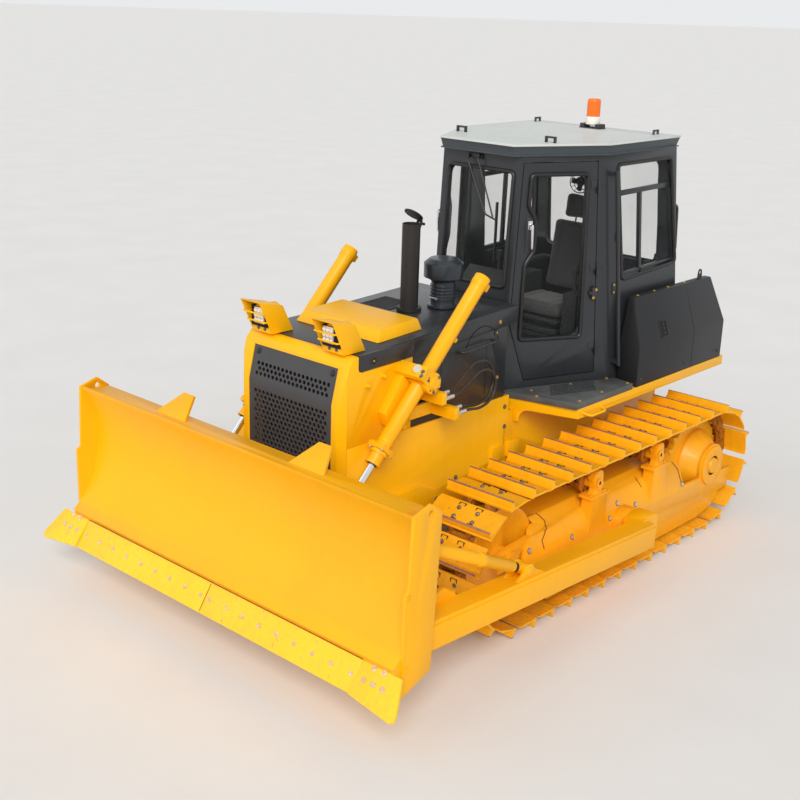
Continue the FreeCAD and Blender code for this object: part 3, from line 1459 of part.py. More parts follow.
def knuckle(share, low, high, way):
    """Barrel on the hinge line with its leaf towards the door (way -1) or the post (way 1)."""
    foot, top, plane = hinge_line()
    line = (top - foot).normalize()
    across = line.cross(plane.out) * way
    start = foot + (top - foot) * share + line * low
    run = line * (high - low)

    def block(near, far, deep, shallow):
        """Plate beside the line, between two distances from it and two depths."""
        corners = [start + across * near, start + across * far,
                   start + across * far + run, start + across * near + run]
        return face_of([corner + plane.out * deep for corner in corners]).extrude(
            plane.out * (shallow - deep))

    out, reach = val("door_swing_offset"), val("hinge_leaf")
    stem, sunk = val("hinge_stem"), val("hinge_sunk")
    barrel = Part.makeCylinder(val("hinge_radius"), high - low, start, line)
    return barrel.fuse([block(0, stem, -out, 0), block(0, reach, -out, val("hinge_wall") - out),
                        block(stem + 1, reach, -out - sunk, 1 - out)])


HINGE_SHARES = (0.12, 0.5, 0.88)


def shrink(outline, gap):
    """Outline of (way, height) drawn in by gap."""
    ring = list(outline)
    area = sum(a[0] * b[1] - b[0] * a[1] for a, b in zip(ring, ring[1:] + ring[:1]))
    if area < 0:
        ring.reverse()
    return [(point.x, point.y) for point in offset_plan(ring, gap, 0)]


def cab_shapes():
    """Cab shell, left door, left door glass and the fixed panes."""
    low, top, wall = val("cab_low_z"), val("cab_top_z"), val("cab_wall")
    outer = loft(cab_plan(low, 0), cab_plan(top, 0))
    inner = loft(cab_plan(low - 50, wall), cab_plan(top + 50, wall))
    floor = loft(cab_plan(low, -wall), cab_plan(low + val("cab_floor"), -wall))
    room = inner.cut(floor)
    walls = outer.cut(room)
    plane = DoorPlane()
    hole = plane.slab(DOOR, -wall - 30, 30)
    corner = val("window_corner")
    door_window = rounded(DOOR_WINDOW, corner)
    window = plane.slab(door_window, -wall - 30, 30)
    leaf = walls.common(plane.slab(shrink(DOOR, val("door_gap")), -wall - 20, 20)).cut(window)
    deep, inset = val("glass_wall"), val("glass_inset")
    door_glass = plane.slab(door_window, -inset - deep, -inset)
    mirror = (Vector(0, 0, 0), Vector(0, 1, 0))
    half_barrel = val("hinge_barrel") / 2
    leaf = leaf.fuse([knuckle(share, val("seat_gap"), half_barrel, -1) for share in HINGE_SHARES])
    posts = [knuckle(share, -half_barrel, 0, 1) for share in HINGE_SHARES]
    shell = walls.cut(hole).cut(hole.mirror(*mirror))
    shell = shell.fuse(posts + [post.mirror(*mirror) for post in posts])
    pane_band = loft(cab_plan(low, inset), cab_plan(top, inset)).cut(
        loft(cab_plan(low - 1, inset + deep), cab_plan(top + 1, inset + deep)))
    low_z, top_z = val("windshield_low_z"), val("windshield_top_z")

    def opening(half, x):
        """Block through the wall near x, with the outline of a window that faces along X."""
        outline = rounded(((-half, low_z), (half, low_z), (half, top_z), (-half, top_z)), corner)
        return face_of([Vector(x, y, z) for y, z in outline]).extrude(Vector(500, 0, 0))

    front = opening(val("windshield_half"), val("cab_front_top_x") - 243)
    half = val("rear_window_half")
    rear = opening(half, val("cab_rear_low_x") - 193)
    sides = [face_of([Vector(x, way * half, z) for x, z in rounded(SIDE_WINDOW, corner)]).extrude(
        Vector(0, way * half, 0)) for way in (-1, 1)]
    openings = (front, rear, *sides)
    panes = [pane_band.common(opening) for opening in openings]
    for opening in openings:
        shell = shell.cut(opening)
    return shell, leaf, door_glass, Part.makeCompound(
        [solid for pane in panes for solid in pane.Solids])


shell, leaf, door_glass, panes = cab_shapes()
node("cab", shaped("Cab", shell))
pair("door", "Door", shaped("Door", leaf))
pair("door_glass", "DoorGlass", shaped("DoorGlass", door_glass))
node("cab_windows", shaped("CabWindows", panes))


def grab_rails():
    """Post on two brackets behind the door, and the bent rail behind the cab's rear corner."""
    low, top = val("post_low_z"), val("post_top_z")
    back, reach, radius = val("post_back"), val("post_reach"), val("post_radius")
    # The walls lean, so a flat end stands off them by a little more than its seat's play
    lean = val("seat_gap") + 0.08 * radius
    ends = []
    for z in (low, top):
        x, y = cab_corner("side", z)
        ends.append(Vector(x - back, y + reach, z))
    way = ends[1] - ends[0]
    pieces = [Part.makeCylinder(radius, way.Length, ends[0], way)]
    for share in (0.02, 0.98):
        place = ends[0] + way * share
        wall_y = side_wall_y(place.x, place.z) + lean
        pieces.append(Part.makeBox(2 * radius, place.y - wall_y, 2 * radius,
                                   Vector(place.x - radius, wall_y, place.z - radius)))
    post = pieces[0].fuse(pieces[1:])
    y, reach = val("corner_rail_y"), val("corner_rail_reach")
    low, top = val("corner_rail_low_z"), val("corner_rail_top_z")
    points = []
    for z, away in ((top, lean), (top, reach), (low, reach), (low, lean)):
        points.append((cab_corner("rear", z)[0] - away, y, z))
    rail = bar(points, val("rail_radius") + 2)[0]
    return Part.makeCompound([post, rail])


def side_wall_y(x, z):
    """Outside of the cab's rear side wall at a place."""
    (side_x, side_y), (rear_x, rear_y) = cab_corner("side", z), cab_corner("rear", z)
    return side_y + (rear_y - side_y) * (side_x - x) / (side_x - rear_x)


pair("grab_rails", "GrabRails", shaped("GrabRails", grab_rails()))


def roof():
    """Thin roof plate over a leaning fascia with a lip, and two lifting lugs on top."""
    left = [(val("roof_front_x"), val("roof_front_y")), (val("roof_side_x"), val("roof_side_y")),
            (val("roof_rear_x"), val("roof_side_y"))]
    ring = left + [(x, -y) for x, y in reversed(left)]
    inset = val("roof_inset")
    levels = [val("cab_top_z")]
    for name in ("roof_lip", "roof_fascia", "roof_plate", "roof_crown"):
        levels.append(levels[-1] + val(name))
    steps = ((inset / 3, inset / 3), (inset, inset / 4), (0, 0), (0, val("roof_bevel")))
    stack = [loft(offset_plan(ring, below, levels[index]), offset_plan(ring, above, levels[index + 1]))
             for index, (below, above) in enumerate(steps)]
    long, y, top = val("roof_lug"), val("roof_lug_y"), levels[-1]
    for way in (-1, 1):
        lug = Part.makeBox(long, 14, 38, Vector(val("roof_lug_x"), way * y - 7, top - 2))
        stack.append(lug.cut(Part.makeBox(long - 28, 20, 26,
                                          Vector(val("roof_lug_x") + 14, way * y - 10, top - 4))))
    return stack[0].fuse(stack[1:])


node("cab_roof", shaped("CabRoof", roof()))
roof_z = size.cab_top_z + size.roof_lip + size.roof_fascia + size.roof_plate + size.roof_crown


def beacon():
    x, radius = size.beacon_x, size.beacon_radius
    base = rod("BeaconBase", "Z", (x, 0), roof_z, roof_z + 60, radius * 0.6)
    foot = box("BeaconFoot", (x - 45, x + 45), (-90, 90), (roof_z, roof_z + 12))
    body = rod("BeaconBody", "Z", (x, 0), roof_z + 55, roof_z + size.beacon_height - 70, radius)
    lens = rod("BeaconLens", "Z", (x, 0), roof_z + size.beacon_height - 70,
               roof_z + size.beacon_height, radius, radius * 0.7)
    return fuse("Beacon", base, foot, body, lens)


node("beacon", beacon())


# Seat and consoles
def seat():
    x, floor = size.seat_x, size.cab_low_z + size.cab_floor
    outline = (
        (x - 230, floor),
        (x + 200, floor),
        (x + 200, floor + 330),
        (x + 270, floor + 350),
        (x + 270, floor + 450),
        (x - 150, floor + 430),
        (x - 250, floor + 960),
        (x - 240, floor + 1180),
        (x - 330, floor + 1180),
        (x - 350, floor + 960),
        (x - 280, floor + 380),
    )
    return prism("Seat", "XZ", outline, -size.seat_half, size.seat_half)


node("seat", seat())


def console():
    floor = size.cab_low_z + size.cab_floor
    top = floor + size.console_height
    long = (size.console_rear_x, size.console_front_x)
    middle = size.console_inner + size.console_width / 2
    stands = []
    for name, way in (("ConsoleLeft", 1), ("ConsoleRight", -1)):
        edges = (size.console_inner * way, (size.console_inner + size.console_width) * way)
        stand = box(name + "Stand", long, edges if way > 0 else edges[::-1], (floor, top))
        place = (size.console_front_x - 50, middle * way)
        stick = rod(name + "Lever", "Z", place, top - 5, top + size.lever_height - 60,
                    size.lever_radius)
        knob = rod(name + "Knob", "Z", place, top + size.lever_height - 65,
                   top + size.lever_height, size.knob_radius)
        stands.append(fuse(name, stand, stick, knob))
    rear, height = size.dash_x, floor + size.dash_height
    dash = prism("Dash", "XZ", (
        (rear, floor),
        (rear + 150, floor),
        (rear + 140, height),
        (rear, height + 120),
        (rear - 70, height + 60),
    ), -size.dash_half, size.dash_half)
    return group("Console", *stands, dash)


node("operator_consoles", console())


# Fenders, tread plates, side boxes and the rear tank
def fender():
    wall = size.fender_wall
    top, low = size.deck_z, size.deck_z - size.fender_depth
    edge = ((size.fender_front_x, size.fender_inner_y), (size.fender_corner_x, fender_outer_y),
            (size.fender_rear_x, fender_outer_y), (size.fender_rear_x, size.hull_half - 60),
            (size.fender_front_x, size.hull_half - 160))
    plate = prism("FenderPlate", "XY", edge, low, top)
    under = prism("FenderUnder", "XY", (
        (size.fender_front_x - wall, size.hull_half - 200),
        (size.fender_front_x - wall * 1.6, size.fender_inner_y),
        (size.fender_corner_x - wall * 1.3, fender_outer_y - wall),
        (size.fender_rear_x + wall, fender_outer_y - wall),
        (size.fender_rear_x + wall, size.hull_half - 200),
    ), low - 10, top - wall)
    return fuse("Fender", cut("FenderShell", plate, under), shaped("FenderApron", apron()),
                shaped("StepBar", step_bar()))


def apron():
    """Leg with its arch under the fender's front edge, beside the hull."""
    inner = Vector(val("fender_front_x"), val("fender_inner_y"), 0)
    corner = Vector(val("fender_corner_x"), fender_outer_y.number, 0)
    way = (corner - inner).normalize()
    back = Vector(-way.y, way.x, 0)
    if back.x > 0:
        back = back * -1
    top = val("deck_z") - val("fender_wall") / 2
    edge = val("deck_z") - val("fender_depth")
    near = (val("hull_half") - val("hull_wall") + 4 - val("fender_inner_y")) / way.y
    far = near + val("apron_leg")
    foot, arch = val("apron_leg_z"), val("apron_arch")
    outline = [(near, top), (near, foot), (far, foot)]
    for step in range(7):
        turn = math.radians(step * 15)
        outline.append((far + arch - arch * math.cos(turn),
                        edge + 1 - arch + arch * math.sin(turn)))
    outline += [(far + arch, top)]
    points = [inner + way * along + Vector(0, 0, height) for along, height in outline]
    return face_of(points).extrude(back * val("fender_wall"))


def step_bar():
    """Bent bar that stands out from the fender's edge."""
    reach, length = val("step_bar_reach"), val("step_bar_length")
    skin = fender_outer_y.number - val("fender_wall") / 2
    x = val("fender_corner_x") - 55
    z = val("deck_z") - val("fender_depth") / 2
    return bar(((x, skin, z), (x - 12, skin + reach, z - 14),
                (x + 12 - length, skin + reach, z - 14), (x - length, skin, z)),
               val("rail_radius"))[0]


pair("fender", "Fender", fender())


def tread_plate():
    gap = 6
    plane = [cab_corner("front", val("cab_low_z")), cab_corner("side", val("cab_low_z"))]
    (front_x, front_y), (side_x, side_y) = plane
    rear = val("step_rear_x")
    share = (rear - front_x) / (side_x - front_x)
    corners = [
        (front_x + gap, front_y + gap),
        (val("fender_corner_x") + 30, fender_outer_y.number + 2),
        (rear + 20, fender_outer_y.number + 2),
        (rear, front_y + (side_y - front_y) * share + gap * 2),
    ]
    face = face_of([Vector(x, y, val("deck_z")) for x, y in corners])
    return face.extrude(Vector(0, 0, val("step_height")))


pair("tread_plate", "TreadPlate", shaped("TreadPlate", tread_plate()))


def side_box():
    inner, outer = box_inner_y, fender_outer_y
    section = prism("BoxSection", "YZ", (
        (inner, size.box_low_z),
        (outer, size.box_low_z),
        (outer, size.box_waist_z),
        (box_top_y, size.box_top_z),
        (inner, size.box_top_z),
    ), size.box_rear_x, size.box_front_x)
    side = prism("BoxSide", "XZ", (
        (size.box_front_x, size.box_low_z),
        (size.box_front_x, size.box_waist_z),
        (size.box_front_x - size.box_tail_bevel, size.box_top_z),
        (size.box_rear_x + size.box_tail_bevel, size.box_top_z),
        (size.box_rear_x, size.box_waist_z),
        (size.box_rear_x, size.box_low_z),
    ), inner, outer)
    x, half, high = size.box_ear_x, size.box_ear_half, size.box_top_z + size.box_ear_height
    ear = prism("BoxEar", "XZ", (
        (x + half, size.box_top_z - 2),
        (x + half * 0.75, high - half * 0.75),
        (x - half * 0.75, high - half * 0.75, -half * 0.78),
        (x - half, size.box_top_z - 2),
    ), inner + 20, inner + 20 + size.box_ear_wall)
    hole = rod("BoxEarHole", "Y", (x, high - half), inner, inner + 60, size.box_ear_hole)
    return fuse("SideBox", common("BoxBody", section, side), cut("BoxEarPlate", ear, hole))


pair("side_box", "SideBox", side_box())


def rear_tank():
    front, half = size.tank_front_x, tank_half
    return prism("RearTank", "XZ", (
        (front, size.deck_z),
        (size.box_rear_x, size.deck_z),
        (size.box_rear_x, size.tank_top_z - 90),
        (size.box_rear_x + 90, size.tank_top_z),
        (front, size.tank_top_z),
    ), -half, half)


node("rear_tank", rear_tank())


# Blade: curved board with its beams and ribs between two side plates
def board_face(z, offset=0):
    """X of the board's front, or of its back with the board's wall as offset, at a height."""
    radius = size.board_radius + offset
    rise = size.board_z - z
    return board_x - root(radius * radius - rise * rise)


edge_top_x = board_face(size.board_low_z) + size.edge_lead
edge_top_z = size.board_low_z - size.edge_drop


def blade():
    wall, half = size.board_wall, blade_half - size.blade_side_wall
    back = size.board_radius + wall
    low, top = size.board_low_z, size.board_top_z
    board = prism("Board", "XZ", (
        (board_face(low), low),
        (board_face(top), top, size.board_radius),
        (board_face(top, wall), top),
        (board_face(low, wall), low, -back),
    ), -half, half)
    inside = wall - 6
    beam = prism("LowerBeam", "XZ", (
        (board_face(low, inside), low),
        (board_face(low) - 30, size.beam_low_z),
        (size.beam_back_x, size.beam_low_z),
        (size.beam_back_x, size.beam_top_z - 40),
        (board_face(size.beam_top_z, inside), size.beam_top_z),
    ), -half, half)
    rim = prism("UpperBeam", "XZ", (
        (board_face(top, inside), top),
        (size.beam_back_x, top - 10),
        (size.beam_back_x, top - 110),
        (board_face(top - 130, inside), top - 130),
    ), size.rim_inset - half, half - size.rim_inset)
    lip = board_face(low)
    side_outline = (
        (board_face(top) + 2, top),
        (size.ear_x - 3, size.ear_z + 52),
        (size.ear_x - 88, size.ear_z - 14),
        (size.beam_back_x - 8, size.beam_low_z + 134),
        (size.beam_back_x + 4, size.beam_low_z - 6),
        (lip - 39, size.beam_low_z - 93),
        (lip - 78, size.beam_low_z + 20),
        (lip - 57, low - 68),
        (lip - 57, size.board_z - 72),
        (lip - 87, size.board_z - 45),
    )
    sides = [prism("BladeSideLeft", "XZ", side_outline, half, blade_half),
             prism("BladeSideRight", "XZ", side_outline, -blade_half, -half)]
    ribs = []
    for index, y in enumerate((-1180, -820, -250, 250, 820, 1180)):
        ribs.append(prism("BoardRib%d" % index, "XZ", (
            (board_face(size.beam_top_z - 20, inside), size.beam_top_z - 20,
             -(size.board_radius + inside)),
            (size.beam_back_x + 10, size.beam_top_z - 60),
            (size.beam_back_x + 10, top - 60),
            (board_face(top - 120, inside), top - 120),
        ), y - 9, y + 9))
    lugs = []
    for side in (-1, 1):
        for index, y in enumerate((lift_y - 46, lift_y + 46)):
            middle = y * side
            lugs.append(prism("LiftLug%d%d" % (side + 1, index), "XZ", (
                (board_face(size.lift_pin_z - 110, inside), size.lift_pin_z - 110),
                (board_face(size.lift_pin_z + 110, inside), size.lift_pin_z + 110),
                (size.lift_pin_x - 20, size.lift_pin_z + 52),
                (size.lift_pin_x - 52, size.lift_pin_z + 20),
                (size.lift_pin_x - 52, size.lift_pin_z - 20),
                (size.lift_pin_x - 20, size.lift_pin_z - 52),
            ), middle - 10, middle + 10))
        for index, y in enumerate((brace_y - size.brace_eye_width / 2 - size.lug_wall / 2,
                                   brace_y + size.brace_eye_width / 2 + size.lug_wall / 2)):
            middle = y * side
            lugs.append(prism("BraceLug%d%d" % (side + 1, index), "XZ", (
                (board_face(size.brace_high_z - 80, inside), size.brace_high_z - 80),
                (board_face(size.brace_high_z + 80, inside), size.brace_high_z + 80),
                (size.brace_high_x - 10, size.brace_high_z + 44),
                (size.brace_high_x - 44, size.brace_high_z + 10),
                (size.brace_high_x - 44, size.brace_high_z - 30),
                (size.brace_high_x - 10, size.brace_high_z - 50),
            ), middle - size.lug_wall / 2, middle + size.lug_wall / 2))
        lugs += pin_heads("LiftPin%d" % (side + 1), (size.lift_pin_x, size.lift_pin_z),
                          lift_y * side, 56)
        lugs += pin_heads("BraceTopPin%d" % (side + 1), (size.brace_high_x, size.brace_high_z),
                          brace_y * side, size.brace_eye_width / 2 + size.lug_wall)
        # Guard plate over the rod end
        lugs.append(loft_plate("RodGuard%d" % (side + 1), side))
    fall_x, fall_z = cosine(size.edge_slope), sine(size.edge_slope)
    behind_x = edge_top_x - fall_z * size.edge_wall
    behind_z = edge_top_z - fall_x * size.edge_wall
    support = prism("EdgeSupport", "XZ", (
        (board_face(low, inside), low),
        (behind_x, behind_z),
        (behind_x + fall_x * 120, behind_z - fall_z * 120),
        (behind_x + fall_x * 120 - 30, behind_z - fall_z * 120),
        (board_face(low) - 60, low - 60),
    ), -half, half)
    eyes = [rod("LiftingEyeLeft", "Y", (size.ear_x, size.ear_z), half - 5, blade_half + 5,
                size.ear_radius),
            rod("LiftingEyeRight", "Y", (size.ear_x, size.ear_z), -blade_half - 5, 5 - half,
                size.ear_radius)]
    body = fuse("BladeBody", board, beam, rim, support, *sides, *ribs, *lugs)
    return cut("Blade", body, *eyes)


def pin_heads(name, place, middle, half):
    """Heads of a pin outside the two plates that it joins."""
    low, high = middle - half, middle + half
    return [rod(name + "Inner", "Y", place, low - size.pin_head, low + 1, size.pin_head_radius),
            rod(name + "Outer", "Y", place, high - 1, high + size.pin_head, size.pin_head_radius)]


def loft_plate(name, side):
    """Sloping trapezoid plate behind the blade's upper edge, over a rod end."""
    foot_x, foot_z = val("beam_back_x") + 90, val("board_top_z") - 14
    head_x, head_z = foot_x - 150, foot_z + 110
    wall, middle = 14, lift_y.number
    low = [Vector(foot_x, side * (middle + 170), foot_z),
           Vector(foot_x, side * (middle - 110), foot_z),
           Vector(head_x, side * (middle - 16), head_z),
           Vector(head_x, side * (middle + 81), head_z)]
    return shaped(name, face_of(low).extrude(Vector(wall, 0, wall * 0.9)))


node("blade", blade())


# Cutting edges and end bits: flat plates on the lower front of the blade
def cutting_edges():
    plates = []
    for index, (low, high) in enumerate(((1, edge_half), (-edge_half, -1))):
        plate = prism("Edge%d" % index, "XY", (
            (0, low),
            (size.edge_length, low),
            (size.edge_length, high),
            (0, high),
        ), -size.edge_wall, 0)
        plates.append(tilt(plate, edge_top_x, 0, edge_top_z, size.edge_slope))
    fall = size.tip_reach
    inner = edge_half + 3
    outer = tip_outer_y
    tips = []
    for index, side in enumerate((1, -1)):
        tip = prism("Tip%d" % index, "XY", (
            (0, inner * side),
            (fall * 0.84, inner * side),
            (fall, (outer - 22) * side),
            (fall - 12, (outer - 2) * side),
            (fall - 40, outer * side),
            (0, (outer - 66) * side),
        ), -size.edge_wall, 0)
        tips.append(tilt(tip, edge_top_x, 0, edge_top_z, size.tip_slope))
    return group("CuttingEdges", *plates, *tips)


node("cutting_edges", cutting_edges())


# Push arm: box beam outside the track with its bearing, brace bracket and inner gusset
def push_arm():
    inner, outer, height = arm_inner_y, arm_outer_y, size.arm_height
    rear, front = size.arm_rear_x, size.beam_back_x
    low_rear, low_front = size.arm_rear_z, size.arm_front_z
    side = prism("ArmSide", "XZ", (
        (rear, low_rear),
        (front, low_front),
        (front, low_front + height),
        (rear, low_rear + height),
    ), inner, outer)
    bevel = prism("ArmBevel", "XZ", (
        (rear - 10, low_rear + height - size.arm_bevel),
        (front + 10, low_front + height - size.arm_bevel),
        (front + 10, low_front + height + 40),
        (rear - 10, low_rear + height + 40),
    ), outer - size.arm_bevel, outer + 10)
    strip = prism("ArmBevelKeep", "XZ", (
        (rear - 20, low_rear - 60),
        (front + 20, low_front - 60),
        (front + 20, low_front + height + 80),
        (rear - 20, low_rear + height + 80),
    ), inner - 10, outer - size.arm_bevel / 2)
    corner = cut("ArmCorner", bevel, strip)
    bearing = prism("ArmBearing", "XZ", (
        (size.pivot_x - 88, size.pivot_z - 70),
        (size.pivot_x + 130, size.pivot_z - 100),
        (size.pivot_x + 130, size.pivot_z + 60),
        (size.pivot_x + 40, size.pivot_z + 84),
        (size.pivot_x - 60, size.pivot_z + 84),
        (size.pivot_x - 88, size.pivot_z + 50),
    ), inner - 62, inner + 75)
    bore = rod("ArmBore", "Y", (size.pivot_x, size.pivot_z), inner - 80, inner + 60,
               size.trunnion_radius + size.rod_play)
    eye = size.brace_eye_width / 2
    brackets = []
    for index, (low, high) in enumerate(((brace_y - eye - size.lug_wall, brace_y - eye),
                                         (brace_y + eye, brace_y + eye + size.lug_wall))):
        brackets.append(prism("BraceBracket%d" % index, "XZ", (
            (size.brace_low_x - 210, size.brace_low_z - 80),
            (size.brace_low_x + 150, size.brace_low_z - 60),
            (size.brace_low_x + 50, size.brace_low_z + 4),
            (size.brace_low_x - 50, size.brace_low_z + 4, -51),
        ), low, high))
    heads = pin_heads("BracePin", (size.brace_low_x, size.brace_low_z), brace_y,
                      eye + size.lug_wall)
    gusset = prism("ArmGusset", "XZ", (
        (front - 520, low_front + height / 2),
        (front - 330, low_front + height + 55),
        (front, low_front + height - 20),
        (front, low_front + 40),
    ), inner - 18, inner + 2)
    boss = rod("ArmBoss", "Y", (front - 335, low_front + height), inner - 30, inner + 2, 42)
    body = fuse("ArmBody", cut("ArmBeam", side, corner), bearing, gusset, boss, *brackets, *heads)
    return cut("PushArm", body, bore)


pair("push_arm", "PushArm", push_arm())


# Braces between arm and blade: a screw brace on the left, the tilt cylinder on the right
brace_run = size.brace_high_x - size.brace_low_x
brace_rise = size.brace_high_z - size.brace_low_z
brace_length = root(brace_run * brace_run + brace_rise * brace_rise)
brace_turn = slope(brace_run, -brace_rise)


def brace_eye(name, place):
    half = size.brace_eye_width / 2
    return rod(name, "Y", (place, 0), -half, half, size.brace_eye_radius)


def screw_brace():
    length = brace_length
    parts = (
        brace_eye("BraceEyeLow", 0),
        brace_eye("BraceEyeHigh", length),
        rod("BraceNeckLow", "X", (0, 0), 20, 130, 24),
        rod("BraceTube", "X", (0, 0), 120, length - 120, size.brace_radius),
        rod("BraceCollar", "X", (0, 0), 430, 475, size.brace_radius + 5),
        rod("BraceNeckHigh", "X", (0, 0), length - 130, length - 20, 24),
    )
    return tilt(fuse("ScrewBrace", *parts), size.brace_low_x, brace_y, size.brace_low_z,
                brace_turn)


def tilt_cylinder():
    length = brace_length
    parts = (
        brace_eye("TiltEyeLow", 0),
        brace_eye("TiltEyeHigh", length),
        rod("TiltBase", "X", (0, 0), 20, 90, 34),
        rod("TiltTube", "X", (0, 0), 80, length * 0.66, size.tilt_radius),
        rod("TiltGland", "X", (0, 0), length * 0.62, length * 0.70, size.tilt_radius + 6),
        rod("TiltRod", "X", (0, 0), length * 0.6, length - 20, 26),
    )
    return tilt(fuse("TiltCylinder", *parts), size.brace_low_x, -brace_y, size.brace_low_z,
                brace_turn)


node("screw_brace", screw_brace())
node("tilt_cylinder", tilt_cylinder())


# Lift cylinders: tube on a trunnion, rod down to the blade
lift_run = size.lift_pin_x - size.trunnion_x
lift_fall = size.trunnion_z - size.lift_pin_z
lift_length = root(lift_run * lift_run + lift_fall * lift_fall)
lift_turn = slope(lift_run, lift_fall)


def at_trunnion(solid):
    return tilt(solid, size.trunnion_x, lift_y, size.trunnion_z, lift_turn)


def lift_cylinder():
    radius, bore = size.lift_radius, size.lift_bore
    low, high = size.lift_lower, -size.lift_upper
    square = radius + 14
    outer = (
        rod("LiftTube", "X", (0, 0), high, low - 30, radius),
        rod("LiftEndCap", "X", (0, 0), high - 14, high + 50, radius + 4),
        rod("LiftGlandNeck", "X", (0, 0), low - 30, low + 60, radius - 3),
        box("LiftGland", (low - 60, low - 30), (-square, square), (-square, square)),
        box("LiftTrunnionBlock", (-48, 48), (-radius - 6, radius + 6), (-radius - 8, radius + 8)),
        rod("LiftTrunnionPin", "Y", (0, 0), -radius - 46, radius + 36, size.lift_pin_radius),
    )
    stand, port = -radius - size.pipe_stand, size.port_half
    pipes = (
        rod("LiftPipe", "X", (0, stand), high + 10, low - 40, size.pipe_radius),
        box("LiftPortTop", (high - 6, high + 40), (-port, port), (stand - 15, -radius + 8)),
        box("LiftPortMiddle", (-60, 20), (-port, port), (stand - 26, -radius + 8)),
        box("LiftClampTop", (high + 400, high + 428), (-port + 6, port - 6),
            (stand - 14, -radius + 6)),
        box("LiftClampLow", (low - 260, low - 232), (-port + 6, port - 6),
            (stand - 14, -radius + 6)),
    )
    room = rod("LiftRoom", "X", (0, 0), high + 30, low - 36, bore)
    throat = rod("LiftThroat", "X", (0, 0), low - 40, low + 70, size.rod_radius + size.rod_play)
    return at_trunnion(cut("LiftCylinder", fuse("LiftBody", *outer, *pipes), room, throat))


def lift_rod():
    half = size.rod_eye_width / 2
    return at_trunnion(fuse(
        "LiftRod",
        rod("RodBar", "X", (0, 0), 0, lift_length - 20, size.rod_radius),
        rod("RodPiston", "X", (0, 0), -30, 30, size.lift_bore - size.rod_play),
        rod("RodNeck", "X", (0, 0), lift_length - 60, lift_length - 20, size.rod_radius + 9),
        rod("RodEye", "Y", (lift_length, 0), -half, half, size.rod_eye_radius)))


pair("lift_cylinder", "LiftCylinder", lift_cylinder())
pair("lift_rod", "LiftRod", lift_rod())


def cylinder_yoke():
    """Bracket on the guard's side that holds the trunnion between two bosses."""
    radius, wall = size.yoke_radius, size.yoke_wall
    inner = guard_half - lift_y
    hole = size.lift_pin_radius + size.rod_play
    gap = size.lift_radius + 12
    parts = (
        rod("YokeBossInner", "Y", (0, 0), inner, -gap, radius),
        rod("YokeBossOuter", "Y", (0, 0), gap, gap + wall, radius),
        prism("YokeArm", "XZ", (
            (-40, -60),
            (320, -60),
            (340, -20),
            (300, 60),
            (60, 96),
            (-40, 60),
        ), inner, -gap),
        prism("YokeBridge", "XZ", (
            (-46, size.lift_radius + 40),
            (46, size.lift_radius + 40),
            (40, size.lift_radius + 76),
            (-40, size.lift_radius + 76),
        ), inner, gap + wall),
        prism("YokeCheek", "XZ", (
            (-46, 20),
            (46, 20),
            (40, size.lift_radius + 76),
            (-40, size.lift_radius + 76),
        ), gap, gap + wall),
    )
    bore = rod("YokeBore", "Y", (0, 0), inner + 12, gap + wall - 8, hole)
    return at_trunnion(cut("CylinderYoke", fuse("YokeBody", *parts), bore))


pair("cylinder_yoke", "CylinderYoke", cylinder_yoke())


# Hoses that loop from the pipe block to the yoke on each side
HOSE_RADIUS = 9
# Left side hoses: X, Y, Z
HOSES = (
    ((862, 600, 1488), (790, 600, 1488), (716, 602, 1530), (640, 602, 1588), (552, 594, 1624),
     (450, 582, 1616), (368, 572, 1570), (322, 566, 1492), (330, 566, 1404), (396, 572, 1346),
     (482, 580, 1326), (572, 590, 1336), (656, 600, 1366), (737, 600, 1366)),
    ((862, 640, 1470), (790, 640, 1470), (722, 644, 1500), (652, 650, 1546), (566, 642, 1578),
     (476, 630, 1572), (398, 618, 1530), (356, 612, 1456), (374, 612, 1374), (446, 618, 1330),
     (546, 626, 1322), (640, 640, 1346), (737, 640, 1346)),
)


def hose(points):
    tube, path, radii = bar(points, HOSE_RADIUS)
    wanted = math.pi * HOSE_RADIUS ** 2 * path.Length
    print("hose: length %.0f, volume %.4f of its section times length, radii %s" % (
        path.Length, tube.Volume / wanted, " ".join("%.0f" % radius for radius in radii)))
    return tube


pair("lift_hoses", "LiftHoses", shaped("LiftHoses", Part.makeCompound(
    [hose(points) for points in HOSES])))


def hose_fittings():
    """Pipe blocks on the guard's side, with the ferrules that both ends of the hoses leave."""
    upper, lower, middle = HOSES[0][0], HOSES[0][-1], HOSES[1][0]
    far = size.guard_back_x + 36
    parts = []
    for name, x, z, drop in (("Upper", upper[0], upper[2], 48), ("Lower", lower[0], lower[2], 50)):
        parts.append(fuse(
            "HoseBlock" + name,
            box("HosePlate" + name, (x + 42, far), (guard_half, guard_half + 24),
                (z - drop, z + 30)),
            box("HoseBar" + name, (x + 40, x + 82), (guard_half, middle[1] + 22),
                (z - drop, z + 26))))
    for index, points in enumerate(HOSES):
        for tag, (x, y, z) in (("Start", points[0]), ("End", points[-1])):
            parts.append(rod("Ferrule%s%d" % (tag, index), "X", (y, z), x, x + 42,
                             HOSE_RADIUS + 4))
    return fuse("HoseFittings", *parts)


pair("hose_fittings", "HoseFittings", hose_fittings())


doc.recompute()


def check():
    """Stop on anything that failed to build."""
    for item in doc.Objects:
        if "Invalid" in item.State or "Error" in item.State:
            raise RuntimeError("%s failed: %s" % (item.Name, item.State))
    for item in NODES:
        shape = item.Shape
        if shape.isNull() or not shape.isValid() or not shape.Solids:
            raise RuntimeError("%s has no valid shape" % item.Label)


check()
os.makedirs("parts", exist_ok=True)
for item in NODES:
    item.Shape.exportStep("parts/%s.step" % item.Label)
print("%d sub-parts written" % len(NODES))
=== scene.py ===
"""Looks of the crawler bulldozer: its finishes, small parts, stage and camera."""
import math

